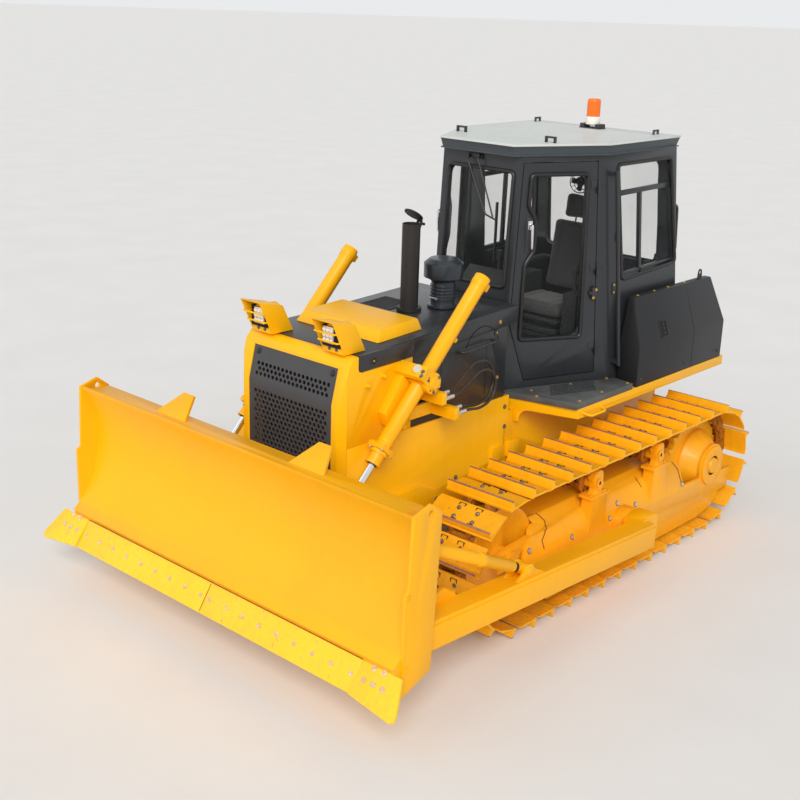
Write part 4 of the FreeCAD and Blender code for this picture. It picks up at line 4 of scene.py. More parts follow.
import bmesh
import bpy
from bpy.props import FloatProperty, FloatVectorProperty, IntProperty, PointerProperty
from mathutils import Matrix, Vector
from mathutils.bvhtree import BVHTree


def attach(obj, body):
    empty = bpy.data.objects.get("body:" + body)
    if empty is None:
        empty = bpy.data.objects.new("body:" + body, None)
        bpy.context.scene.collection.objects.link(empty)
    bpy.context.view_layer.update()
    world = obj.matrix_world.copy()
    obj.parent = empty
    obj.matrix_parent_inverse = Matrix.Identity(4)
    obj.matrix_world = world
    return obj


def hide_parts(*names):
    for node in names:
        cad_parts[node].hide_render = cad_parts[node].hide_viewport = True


bl_info = {
    "name": "Crawler bulldozer looks",
    "version": (1, 0, 0),
    "blender": (4, 5, 0),
    "location": "3D View > Sidebar > Bulldozer",
    "description": "Paint, glass, track shoes, bolts, handles, hoses and stage of a crawler bulldozer",
    "category": "Object",
}

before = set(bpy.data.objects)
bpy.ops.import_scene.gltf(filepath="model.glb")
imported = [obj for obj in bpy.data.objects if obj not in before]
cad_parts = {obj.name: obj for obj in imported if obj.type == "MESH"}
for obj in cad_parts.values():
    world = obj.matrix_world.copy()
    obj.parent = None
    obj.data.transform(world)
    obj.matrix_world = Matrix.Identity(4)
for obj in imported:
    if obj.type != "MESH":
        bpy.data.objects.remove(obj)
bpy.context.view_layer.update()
SIDES = (("left", 1), ("right", -1))


def rgb(red, green, blue):
    """Scene-linear colour of a colour given in 0 to 255 as a screen shows it."""
    def linear(value):
        value /= 255
        return value / 12.92 if value <= 0.04045 else ((value + 0.055) / 1.055) ** 2.4
    return linear(red), linear(green), linear(blue)


def colour(name, text, value):
    return FloatVectorProperty(name=name, description=text, default=value, size=3, min=0, max=1,
                               subtype="COLOR")


def length(name, text, value):
    return FloatProperty(name=name, description=text, default=value, min=0, unit="LENGTH",
                         subtype="DISTANCE", precision=4)


class DOZER_PG_finish(bpy.types.PropertyGroup):
    """Colours of the machine."""
    yellow: colour("Yellow", "Enamel of the hull, hood and blade", rgb(254, 188, 0))
    # Running gear yellow, darker and more orange than the hull's: painted shade and brown bounce light.
    shaded_track_yellow: colour("Shaded track yellow", "Enamel of the running gear", rgb(249, 172, 6))
    black: colour("Black", "Enamel of the cab and side boxes", rgb(43, 46, 50))
    dust: colour("Dust", "Dry soil that lies on the paint", rgb(214, 166, 104))
    steel: colour("Steel", "Bare bolts and worn edges", rgb(128, 116, 104))
    glass: colour("Glass", "Tint of the windows", rgb(62, 70, 68))


class DOZER_PG_track(bpy.types.PropertyGroup):
    """Sizes of the track chain."""
    gauge: length("Gauge", "Between the middles of the two tracks", 1.86)
    width: length("Shoe width", "One shoe, across", 0.51)
    shoes: IntProperty(name="Shoes", description="Shoes in one track", default=36, min=8)
    radius: length("Pin radius", "Pin line round the wheels", 0.362)
    idler_x: FloatProperty(name="Idler", description="Front wheel along X", default=0.733,
                           unit="LENGTH")
    sprocket_x: FloatProperty(name="Sprocket", description="Rear wheel along X", default=-1.692,
                              unit="LENGTH")
    axle_z: length("Axle height", "Height of both wheels", 0.488)
    plate: length("Plate rise", "Pin line to the outside of a shoe plate", 0.081)
    grouser: length("Grouser", "Bar on a shoe plate", 0.045)


class DOZER_PG_bolts(bpy.types.PropertyGroup):
    """Sizes of the fasteners and handles."""
    small: length("Small bolt", "Radius of a cover bolt's head", 0.009)
    large: length("Large bolt", "Radius of a shoe or blade bolt's head", 0.016)
    handle: length("Handle tube", "Radius of a handle's tube", 0.011)


# Small builders on bmesh operators
def frame_matrix(place, ahead, across=None):
    """Matrix whose Z runs ahead and whose X lies near across."""
    z = Vector(ahead).normalized()
    x = Vector(across) if across is not None else Vector((1, 0, 0))
    if abs(x.normalized().dot(z)) > 0.98:
        x = Vector((0, 1, 0))
    y = z.cross(x).normalized()
    x = y.cross(z)
    matrix = Matrix((x, y, z)).transposed().to_4x4()
    matrix.translation = Vector(place)
    return matrix


def add_box(bm, low, high, matrix=None, bevel=0.0):
    """Block between two corners, its edges rounded when bevel is given."""
    low, high = Vector(low), Vector(high)
    scale = Matrix.Diagonal((*(high - low), 1))
    made = bmesh.ops.create_cube(bm, size=1, matrix=Matrix.Translation((low + high) / 2) @ scale)
    verts = made["verts"]
    if bevel:
        edges = list({edge for vert in verts for edge in vert.link_edges})
        made = bmesh.ops.bevel(bm, geom=edges, offset=bevel, segments=2, affect="EDGES",
                               profile=0.5, material=-1)
        verts = made["verts"]
        faces = {face for vert in verts for face in vert.link_faces}
        verts = list({vert for face in faces for vert in face.verts})
    if matrix is not None:
        bmesh.ops.transform(bm, matrix=matrix, verts=verts)
    return verts


def add_rod(bm, start, end, radius, far=None, sides=20):
    """Closed cylinder or cone between two points."""
    start, end = Vector(start), Vector(end)
    matrix = frame_matrix((start + end) / 2, end - start)
    return bmesh.ops.create_cone(bm, cap_ends=True, cap_tris=False, segments=sides, radius1=radius,
                                 radius2=radius if far is None else far,
                                 depth=(end - start).length, matrix=matrix)["verts"]


def add_plate(bm, outline, depth, matrix=None, bevel=0.0):
    """Flat outline of (x, y) points raised by depth along Z, its upper edges rounded."""
    verts = [bm.verts.new((x, y, 0)) for x, y in outline]
    face = bm.faces.new(verts)
    face.normal_update()
    if face.normal.z < 0:
        face.normal_flip()
    raised = bmesh.ops.extrude_face_region(bm, geom=[face])["geom"]
    tops = [part for part in raised if isinstance(part, bmesh.types.BMVert)]
    bmesh.ops.translate(bm, vec=(0, 0, depth), verts=tops)
    face.normal_flip()
    everything = verts + tops
    if bevel:
        upper = [edge for edge in {e for v in tops for e in v.link_edges}
                 if edge.verts[0] in tops and edge.verts[1] in tops]
        made = bmesh.ops.bevel(bm, geom=upper, offset=bevel, segments=2, affect="EDGES",
                               profile=0.5, material=-1)
        everything = list({v for v in verts if v.is_valid} | set(made["verts"])
                          | {v for v in tops if v.is_valid})
    if matrix is not None:
        bmesh.ops.transform(bm, matrix=matrix, verts=everything)
    return everything


def add_bolt(bm, place, ahead, radius, washer=True):
    """Hexagon head on its washer, standing on place along ahead."""
    place, ahead = Vector(place), Vector(ahead).normalized()
    if washer:
        add_rod(bm, place - ahead * radius * 0.1, place + ahead * radius * 0.2, radius * 1.35,
                sides=14)
    add_rod(bm, place, place + ahead * radius * 0.75, radius, radius * 0.93, sides=6)


def add_dome(bm, place, ahead, radius, height=0.55):
    """Round head."""
    place, ahead = Vector(place), Vector(ahead).normalized()
    add_rod(bm, place - ahead * 0.001, place + ahead * radius * height * 0.55, radius,
            radius * 0.86, sides=14)
    add_rod(bm, place + ahead * radius * height * 0.54, place + ahead * radius * height,
            radius * 0.86, radius * 0.45, sides=14)


def add_ring(bm, place, ahead, inner, outer, depth, sides=32):
    """Flat ring that stands along ahead."""
    matrix = frame_matrix(place, ahead)
    profile = ((inner, 0), (outer, 0), (outer, depth), (inner, depth))
    verts = [bm.verts.new((r, 0, h)) for r, h in profile]
    edges = [bm.edges.new((verts[i], verts[(i + 1) % 4])) for i in range(4)]
    made = bmesh.ops.spin(bm, geom=verts + edges, cent=(0, 0, 0), axis=(0, 0, 1), dvec=(0, 0, 0),
                          angle=math.tau, steps=sides, use_merge=True)
    faces = {face for edge in edges for face in edge.link_faces}
    grown = set(verts)
    front = set(verts)
    while front:
        front = {v for item in front for e in item.link_edges for v in e.verts} - grown
        grown |= front
    bmesh.ops.recalc_face_normals(bm, faces=list({f for v in grown for f in v.link_faces} | faces))
    bmesh.ops.transform(bm, matrix=matrix, verts=list(grown))
    return made


def add_lathe(bm, place, ahead, profile, sides=32):
    """Turned solid; profile is (radius, height) from the foot's middle to the top's middle."""
    matrix = frame_matrix(place, ahead)
    verts = [bm.verts.new((r, 0, h)) for r, h in profile]
    edges = [bm.edges.new((a, b)) for a, b in zip(verts, verts[1:])]
    bmesh.ops.spin(bm, geom=verts + edges, cent=(0, 0, 0), axis=(0, 0, 1), dvec=(0, 0, 0),
                   angle=math.tau, steps=sides, use_merge=True)
    grown, front = set(), {v for v in verts if v.is_valid}
    while front:
        grown |= front
        front = {v for item in front for e in item.link_edges for v in e.verts} - grown
    bmesh.ops.remove_doubles(bm, verts=list(grown), dist=1e-6)
    grown = {v for v in grown if v.is_valid}
    bmesh.ops.recalc_face_normals(bm, faces=list({f for v in grown for f in v.link_faces}))
    bmesh.ops.transform(bm, matrix=matrix, verts=list(grown))


def add_tube(bm, points, radius, corner=0.03, sides=3):
    """Round bar along straight runs with bends at the points between."""
    route = [Vector(points[0])]
    for before, here, after in zip(points, points[1:], points[2:]):
        before, here, after = Vector(before), Vector(here), Vector(after)
        first = (before - here).normalized()
        second = (after - here).normalized()
        route += [here + first * min(corner, (before - here).length * 0.45), here,
                  here + second * min(corner, (after - here).length * 0.45)]
    route.append(Vector(points[-1]))
    curve = bpy.data.curves.new("bar", "CURVE")
    curve.dimensions = "3D"
    curve.bevel_depth = radius
    curve.bevel_resolution = sides
    curve.use_fill_caps = True
    curve.resolution_u = 5
    spline = curve.splines.new("NURBS")
    spline.points.add(len(route) - 1)
    for point, place in zip(spline.points, route):
        point.co = (*place, 1)
    spline.order_u = 3
    spline.use_endpoint_u = True
    holder = bpy.data.objects.new("bar", curve)
    mesh = bpy.data.meshes.new_from_object(holder)
    bm.from_mesh(mesh)
    bpy.data.objects.remove(holder)
    bpy.data.curves.remove(curve)
    bpy.data.meshes.remove(mesh)


def add_loop(bm, points, radius, corner=0.07, sides=3):
    """Closed round bar whose corners are rounded."""
    count = len(points)
    route = []
    for index in range(count):
        here = Vector(points[index])
        first = Vector(points[index - 1]) - here
        second = Vector(points[(index + 1) % count]) - here
        route += [here + first.normalized() * min(corner, first.length * 0.45), here,
                  here + second.normalized() * min(corner, second.length * 0.45)]
    curve = bpy.data.curves.new("loop", "CURVE")
    curve.dimensions = "3D"
    curve.bevel_depth = radius
    curve.bevel_resolution = sides
    curve.resolution_u = 4
    spline = curve.splines.new("NURBS")
    spline.points.add(len(route) - 1)
    for point, place in zip(spline.points, route):
        point.co = (*place, 1)
    spline.order_u = 3
    spline.use_cyclic_u = True
    holder = bpy.data.objects.new("loop", curve)
    mesh = bpy.data.meshes.new_from_object(holder)
    bm.from_mesh(mesh)
    bpy.data.objects.remove(holder)
    bpy.data.curves.remove(curve)
    bpy.data.meshes.remove(mesh)


surfaces = {}


def landing(node, start, way):
    """Point and outward direction where a line from start along way meets a CAD piece."""
    if node not in surfaces:
        bm = bmesh.new()
        bm.from_mesh(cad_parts[node].data)
        surfaces[node] = BVHTree.FromBMesh(bm)
        bm.free()
    way = Vector(way).normalized()
    place, normal, index, distance = surfaces[node].ray_cast(Vector(start), way)
    if place is None:
        raise RuntimeError("no surface of %s below %s" % (node, tuple(start)))
    return place, (-normal if normal.dot(way) > 0 else normal)


def bolts_on(bm, node, starts, way, radius, head="bolt"):
    """Heads that stand on a CAD piece where lines from starts along way meet it."""
    for start in starts:
        place, normal = landing(node, start, way)
        if head == "bolt":
            add_bolt(bm, place, normal, radius)
        elif head == "dome":
            add_dome(bm, place, normal, radius)
        else:
            add_rod(bm, place - normal * 0.001, place + normal * 0.0025, radius, sides=18)


class Wall:
    """Flat wall with X along it, Y up its slope and Z outwards."""

    def __init__(self, start, end, top, outward):
        self.start = Vector(start)
        self.along = (Vector(end) - self.start).normalized()
        self.out = (Vector(top) - self.start).cross(self.along).normalized()
        if self.out.dot(Vector(outward)) < 0:
            self.out.negate()
        self.rise = self.along.cross(self.out)
        if self.rise.z < 0:
            self.rise.negate()
        self.matrix = Matrix((self.along, self.rise, self.out)).transposed().to_4x4()
        self.matrix.translation = self.start

    def up(self, height):
        """Distance up the slope of a height."""
        return (height - self.start.z) / self.rise.z

    def place(self, way, height, depth=0.0):
        return self.matrix @ Vector((way, self.up(height), depth))

    def facing(self, point, axis, depth=0.0):
        """Point moved along axis onto the wall, then out of it by depth."""
        point, axis = Vector(point), Vector(axis)
        reach = (self.start - point).dot(self.out) / axis.dot(self.out)
        return point + axis * reach + self.out * depth


# Cab walls: foot corner, foot of the next corner, top of the first
DOOR_WALL = Wall((-0.067, 0.325, 1.2), (-0.867, 0.677, 1.2), (-0.157, 0.335, 2.815), (0, 1, 0))
SIDE_WALL = Wall((-0.867, 0.677, 1.2), (-1.757, 0.690, 1.2), (-0.737, 0.590, 2.815), (0, 1, 0))
FRONT_WALL = Wall((-0.067, 0.0, 1.2), (-0.067, 0.325, 1.2), (-0.157, 0.0, 2.815), (1, 0, 0))
REAR_WALL = Wall((-1.757, 0.0, 1.2), (-1.757, -0.690, 1.2), (-1.612, 0.0, 2.815), (-1, 0, 0))


def mirrored(bm):
    """Add the right-hand twin of everything in bm."""
    geom = bm.verts[:] + bm.edges[:] + bm.faces[:]
    twin = bmesh.ops.duplicate(bm, geom=geom)["geom"]
    verts = [part for part in twin if isinstance(part, bmesh.types.BMVert)]
    faces = [part for part in twin if isinstance(part, bmesh.types.BMFace)]
    bmesh.ops.scale(bm, vec=(1, -1, 1), verts=verts)
    bmesh.ops.reverse_faces(bm, faces=faces)


def to_side(bm, way):
    """Turn a left-hand shape into its right-hand twin when way is negative."""
    if way < 0:
        bmesh.ops.scale(bm, vec=(1, -1, 1), verts=bm.verts)
        bmesh.ops.reverse_faces(bm, faces=bm.faces)


def add_bar(bm, wall, start, end, width, low, high, bevel=0.002):
    """Flat bar on a wall between two points, from depth low to depth high."""
    inverse = wall.matrix.inverted()
    a, b = inverse @ Vector(start), inverse @ Vector(end)
    turn = Matrix.Rotation(math.atan2(b.y - a.y, b.x - a.x), 4, "Z")
    matrix = wall.matrix @ Matrix.Translation((a.x, a.y, 0)) @ turn
    add_box(bm, (0, -width / 2, low), ((b - a).to_2d().length, width / 2, high), matrix, bevel)


def finish_piece(name, bm, material, body="root", smooth=35, replaces=()):
    """Turn bm into a piece that rides on a body, shaded smooth up to an angle."""
    mesh = bpy.data.meshes.new(name)
    bm.to_mesh(mesh)
    bm.free()
    mesh.materials.append(bpy.data.materials[material])
    piece = bpy.data.objects.new(name, mesh)
    bpy.context.scene.collection.objects.link(piece)
    if smooth:
        mesh.shade_smooth()
        mesh.set_sharp_from_angle(angle=math.radians(smooth))
    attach(piece, body)
    if replaces:
        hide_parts(*replaces)
    return piece


# Node groups and materials
class Graph:
    """Short way to place and join shader nodes."""

    def __init__(self, tree):
        self.tree = tree

    def add(self, kind, inputs=None, **settings):
        node = self.tree.nodes.new(kind)
        for key, value in settings.items():
            setattr(node, key, value)
        for key, value in (inputs or {}).items():
            if isinstance(value, bpy.types.NodeSocket):
                self.tree.links.new(value, node.inputs[key])
            else:
                node.inputs[key].default_value = value
        return node

    def maths(self, operation, first, second, clamp=False):
        node = self.add("ShaderNodeMath", {0: first, 1: second}, operation=operation,
                        use_clamp=clamp)
        return node.outputs[0]

    def ramp(self, value, low, high, to_low=0.0, to_high=1.0):
        node = self.add("ShaderNodeMapRange", {"Value": value, "From Min": low, "From Max": high,
                                               "To Min": to_low, "To Max": to_high})
        return node.outputs[0]

    def blend(self, factor, first, second, mode="MIX"):
        node = self.add("ShaderNodeMix", data_type="RGBA", blend_type=mode)
        for socket, value in ((node.inputs[0], factor), (node.inputs[6], first),
                              (node.inputs[7], second)):
            if isinstance(value, bpy.types.NodeSocket):
                self.tree.links.new(value, socket)
            else:
                socket.default_value = value if isinstance(value, float) else (*value[:3], 1)
        return node.outputs[2]

    def noise(self, vector, scale, detail=3.0, rough=0.55):
        return self.add("ShaderNodeTexNoise", {"Vector": vector, "Scale": scale, "Detail": detail,
                                               "Roughness": rough}).outputs["Fac"]


def new_group(name, sockets):
    """Empty shader group with inputs (name, kind, default) and outputs (name, kind)."""
    group = bpy.data.node_groups.new(name, "ShaderNodeTree")
    for socket in sockets:
        way = "INPUT" if len(socket) == 3 else "OUTPUT"
        made = group.interface.new_socket(socket[0], in_out=way, socket_type=socket[1])
        if way == "INPUT":
            made.default_value = socket[2]
    graph = Graph(group)
    return group, graph, graph.add("NodeGroupInput"), graph.add("NodeGroupOutput")


def build_weathering():
    """Enamel with uneven tone, dry dust on what faces up or lies low, and fine orange peel."""
    group, g, given, out = new_group("Weathered enamel", (
        ("Paint", "NodeSocketColor", (1, 1, 1, 1)), ("Dust", "NodeSocketColor", (1, 1, 1, 1)),
        ("Dust Amount", "NodeSocketFloat", 0.3), ("Low Dust", "NodeSocketFloat", 0.4),
        ("Mottle", "NodeSocketFloat", 0.05), ("Roughness", "NodeSocketFloat", 0.35),
        ("Color", "NodeSocketColor"), ("Roughness", "NodeSocketFloat"),
        ("Height", "NodeSocketFloat")))
    place = g.add("ShaderNodeTexCoord").outputs["Object"]
    facing = g.add("ShaderNodeSeparateXYZ",
                   {0: g.add("ShaderNodeNewGeometry").outputs["Normal"]}).outputs["Z"]
    height = g.add("ShaderNodeSeparateXYZ", {0: place}).outputs["Z"]
    broad = g.noise(place, 2.3, 4.0)
    fine = g.noise(place, 38.0, 6.0, 0.7)
    streak_place = g.add("ShaderNodeMapping", {"Vector": place, "Scale": (26, 26, 1.4)})
    streaks = g.noise(streak_place.outputs[0], 1.0, 3.0)
    tone = g.maths("MULTIPLY", g.ramp(broad, 0.3, 0.7, -1.0, 1.0), given.outputs["Mottle"])
    streak_tone = g.maths("MULTIPLY", g.ramp(streaks, 0.35, 0.65, -0.4, 0.4),
                          given.outputs["Mottle"])
    value = g.maths("ADD", g.maths("ADD", tone, streak_tone), 1.0)
    toned = g.add("ShaderNodeHueSaturation", {"Color": given.outputs["Paint"], "Value": value})
    upward = g.ramp(facing, 0.25, 0.95)
    patches = g.maths("MULTIPLY", g.ramp(fine, 0.44, 0.66), g.ramp(broad, 0.38, 0.62, 0.35, 1.0))
    lying = g.maths("MULTIPLY", g.maths("MULTIPLY", upward, patches),
                    given.outputs["Dust Amount"])
    low = g.maths("MULTIPLY", g.ramp(height, 1.0, 0.05), g.ramp(fine, 0.42, 0.72))
    splashed = g.maths("MULTIPLY", low, given.outputs["Low Dust"])
    mask = g.maths("ADD", lying, splashed, clamp=True)
    links = group.links
    links.new(g.blend(mask, toned.outputs[0], given.outputs["Dust"]), out.inputs["Color"])
    rough = g.maths("ADD", given.outputs["Roughness"],
                    g.maths("MULTIPLY", mask, 0.45), clamp=True)
    links.new(g.maths("ADD", rough, g.ramp(broad, 0.3, 0.7, -0.03, 0.03)),
              out.inputs["Roughness"])
    peel = g.noise(place, 170.0, 2.0)
    links.new(g.maths("ADD", peel, g.maths("MULTIPLY", mask, 0.8)), out.inputs["Height"])
    return group


def build_wear():
    """Bare, brownish steel where soil has rubbed the paint off, in broken patches."""
    group, g, given, out = new_group("Rubbed steel", (
        ("Paint", "NodeSocketColor", (1, 1, 1, 1)), ("Steel", "NodeSocketColor", (1, 1, 1, 1)),
        ("Amount", "NodeSocketFloat", 0.5), ("Scale", "NodeSocketFloat", 18.0),
        ("Color", "NodeSocketColor"), ("Mask", "NodeSocketFloat")))
    place = g.add("ShaderNodeTexCoord").outputs["Object"]
    patches = g.add("ShaderNodeTexNoise", {"Vector": place, "Scale": given.outputs["Scale"],
                                           "Detail": 6.0, "Roughness": 0.7}).outputs["Fac"]
    edge = g.maths("SUBTRACT", 1.0, given.outputs["Amount"])
    mask = g.ramp(patches, g.maths("SUBTRACT", edge, 0.05), g.maths("ADD", edge, 0.05))
    group.links.new(g.blend(mask, given.outputs["Paint"], given.outputs["Steel"]),
                    out.inputs["Color"])
    group.links.new(mask, out.inputs["Mask"])
    return group


def build_grain():
    """Fine grain of moulded rubber, plastic or cast metal."""
    group, g, given, out = new_group("Moulded grain", (
        ("Base", "NodeSocketColor", (1, 1, 1, 1)), ("Scale", "NodeSocketFloat", 120.0),
        ("Spread", "NodeSocketFloat", 0.15), ("Roughness", "NodeSocketFloat", 0.6),
        ("Color", "NodeSocketColor"), ("Roughness", "NodeSocketFloat"),
        ("Height", "NodeSocketFloat")))
    place = g.add("ShaderNodeTexCoord").outputs["Object"]
    cells = g.add("ShaderNodeTexVoronoi", {"Vector": place, "Scale": given.outputs["Scale"]})
    tone = g.noise(place, 6.0, 5.0)
    value = g.maths("ADD", g.maths("MULTIPLY", g.ramp(tone, 0.3, 0.7, -1.0, 1.0),
                                   given.outputs["Spread"]), 1.0)
    toned = g.add("ShaderNodeHueSaturation", {"Color": given.outputs["Base"], "Value": value})
    group.links.new(toned.outputs[0], out.inputs["Color"])
    group.links.new(g.maths("ADD", given.outputs["Roughness"],
                            g.ramp(tone, 0.3, 0.7, -0.06, 0.06)), out.inputs["Roughness"])
    group.links.new(cells.outputs["Distance"], out.inputs["Height"])
    return group


def build_weave():
    """Cloth of crossing threads on a padded seat."""
    group, g, given, out = new_group("Seat weave", (
        ("Base", "NodeSocketColor", (1, 1, 1, 1)), ("Scale", "NodeSocketFloat", 900.0),
        ("Color", "NodeSocketColor"), ("Height", "NodeSocketFloat")))
    place = g.add("ShaderNodeTexCoord").outputs["Object"]
    scaled = g.add("ShaderNodeVectorMath", {0: place, 3: given.outputs["Scale"]},
                   operation="SCALE").outputs[0]
    parts = g.add("ShaderNodeSeparateXYZ", {0: scaled})
    waves = [g.maths("SINE", parts.outputs[axis], 0.0) for axis in "XYZ"]
    weave = g.maths("MULTIPLY", g.maths("ADD", waves[0], waves[2]), waves[1])
    worn = g.noise(place, 14.0, 4.0)
    value = g.maths("ADD", g.ramp(weave, -1.0, 1.0, 0.8, 1.15), g.ramp(worn, 0.3, 0.7, -0.1, 0.1))
    toned = g.add("ShaderNodeHueSaturation", {"Color": given.outputs["Base"], "Value": value})
    group.links.new(toned.outputs[0], out.inputs["Color"])
    group.links.new(weave, out.inputs["Height"])
    return group


def new_material(name):
    material = bpy.data.materials.new(name)
    material.use_nodes = True
    graph = Graph(material.node_tree)
    shader = material.node_tree.nodes["Principled BSDF"]
    return graph, shader, material.node_tree.links


def enamel(name, paint, dust, dusting, low, mottle, rough, coat=0.0, wear=0.0, steel=None,
           wear_scale=18.0, band=None):
    """Painted metal with dust, rubbed patches when wear is given, and a second colour between
    two heights when band gives them; on the roof that band is a painted sky reflection."""
    g, shader, links = new_material(name)
    tint = (*paint, 1)
    shader.inputs["Specular IOR Level"].default_value = 0.35
    if wear:
        rubbed = g.add("ShaderNodeGroup", node_tree=bpy.data.node_groups["Rubbed steel"])
        for key, value in (("Paint", tint), ("Steel", (*steel, 1)), ("Amount", wear),
                           ("Scale", wear_scale)):
            rubbed.inputs[key].default_value = value
    group = g.add("ShaderNodeGroup", node_tree=bpy.data.node_groups["Weathered enamel"])
    for key, value in (("Paint", tint), ("Dust", (*dust, 1)), ("Dust Amount", dusting),
                       ("Low Dust", low), ("Mottle", mottle), ("Roughness", rough)):
        group.inputs[key].default_value = value
    # Painted sky reflection: the band's colour between its two heights, used on the roof.
    if band:
        place = g.add("ShaderNodeTexCoord").outputs["Object"]
        height = g.add("ShaderNodeSeparateXYZ", {0: place}).outputs["Z"]
        sky_reflection_mask = g.maths("MULTIPLY", g.ramp(height, band[1] - 0.0004, band[1] + 0.0004),
                         g.ramp(height, band[2] + 0.0004, band[2] - 0.0004))
        links.new(g.blend(sky_reflection_mask, tint, band[0]), group.inputs["Paint"])
    if wear:
        links.new(rubbed.outputs["Color"], group.inputs["Paint"])
        links.new(g.maths("MULTIPLY", rubbed.outputs["Mask"], 0.6), shader.inputs["Metallic"])
    links.new(group.outputs["Color"], shader.inputs["Base Color"])
    links.new(group.outputs["Roughness"], shader.inputs["Roughness"])
    bump = g.add("ShaderNodeBump", {"Strength": 0.12, "Distance": 0.001,
                                    "Height": group.outputs["Height"]})
    links.new(bump.outputs[0], shader.inputs["Normal"])
    shader.inputs["Coat Weight"].default_value = coat
    shader.inputs["Coat Roughness"].default_value = 0.12


def grained(name, base, scale, spread, rough, bump=0.25, metallic=0.0):
    g, shader, links = new_material(name)
    group = g.add("ShaderNodeGroup", node_tree=bpy.data.node_groups["Moulded grain"])
    for key, value in (("Base", (*base, 1)), ("Scale", scale), ("Spread", spread),
                       ("Roughness", rough)):
        group.inputs[key].default_value = value
    links.new(group.outputs["Color"], shader.inputs["Base Color"])
    links.new(group.outputs["Roughness"], shader.inputs["Roughness"])
    raised = g.add("ShaderNodeBump", {"Strength": bump, "Distance": 0.001,
                                      "Height": group.outputs["Height"]})
    links.new(raised.outputs[0], shader.inputs["Normal"])
    shader.inputs["Metallic"].default_value = metallic


def clear(name, tint, alpha, rough=0.03, transmission=0.0):
    g, shader, links = new_material(name)
    place = g.add("ShaderNodeTexCoord").outputs["Object"]
    smear = g.ramp(g.noise(place, 5.0, 4.0), 0.45, 0.75, rough, rough + 0.08)
    links.new(smear, shader.inputs["Roughness"])
    film = g.ramp(g.noise(place, 1.6, 3.0), 0.3, 0.7, alpha - 0.03, alpha + 0.03)
    links.new(film, shader.inputs["Alpha"])
    shader.inputs["Base Color"].default_value = (*tint, 1)
    shader.inputs["Transmission Weight"].default_value = transmission
    bpy.data.materials[name].surface_render_method = "DITHERED"


def cloth(name, base):
    g, shader, links = new_material(name)
    group = g.add("ShaderNodeGroup", node_tree=bpy.data.node_groups["Seat weave"])
    group.inputs["Base"].default_value = (*base, 1)
    links.new(group.outputs["Color"], shader.inputs["Base Color"])
    bump = g.add("ShaderNodeBump", {"Strength": 0.3, "Distance": 0.0008,
                                    "Height": group.outputs["Height"]})
    links.new(bump.outputs[0], shader.inputs["Normal"])
    shader.inputs["Roughness"].default_value = 0.85
    shader.inputs["Sheen Weight"].default_value = 0.3


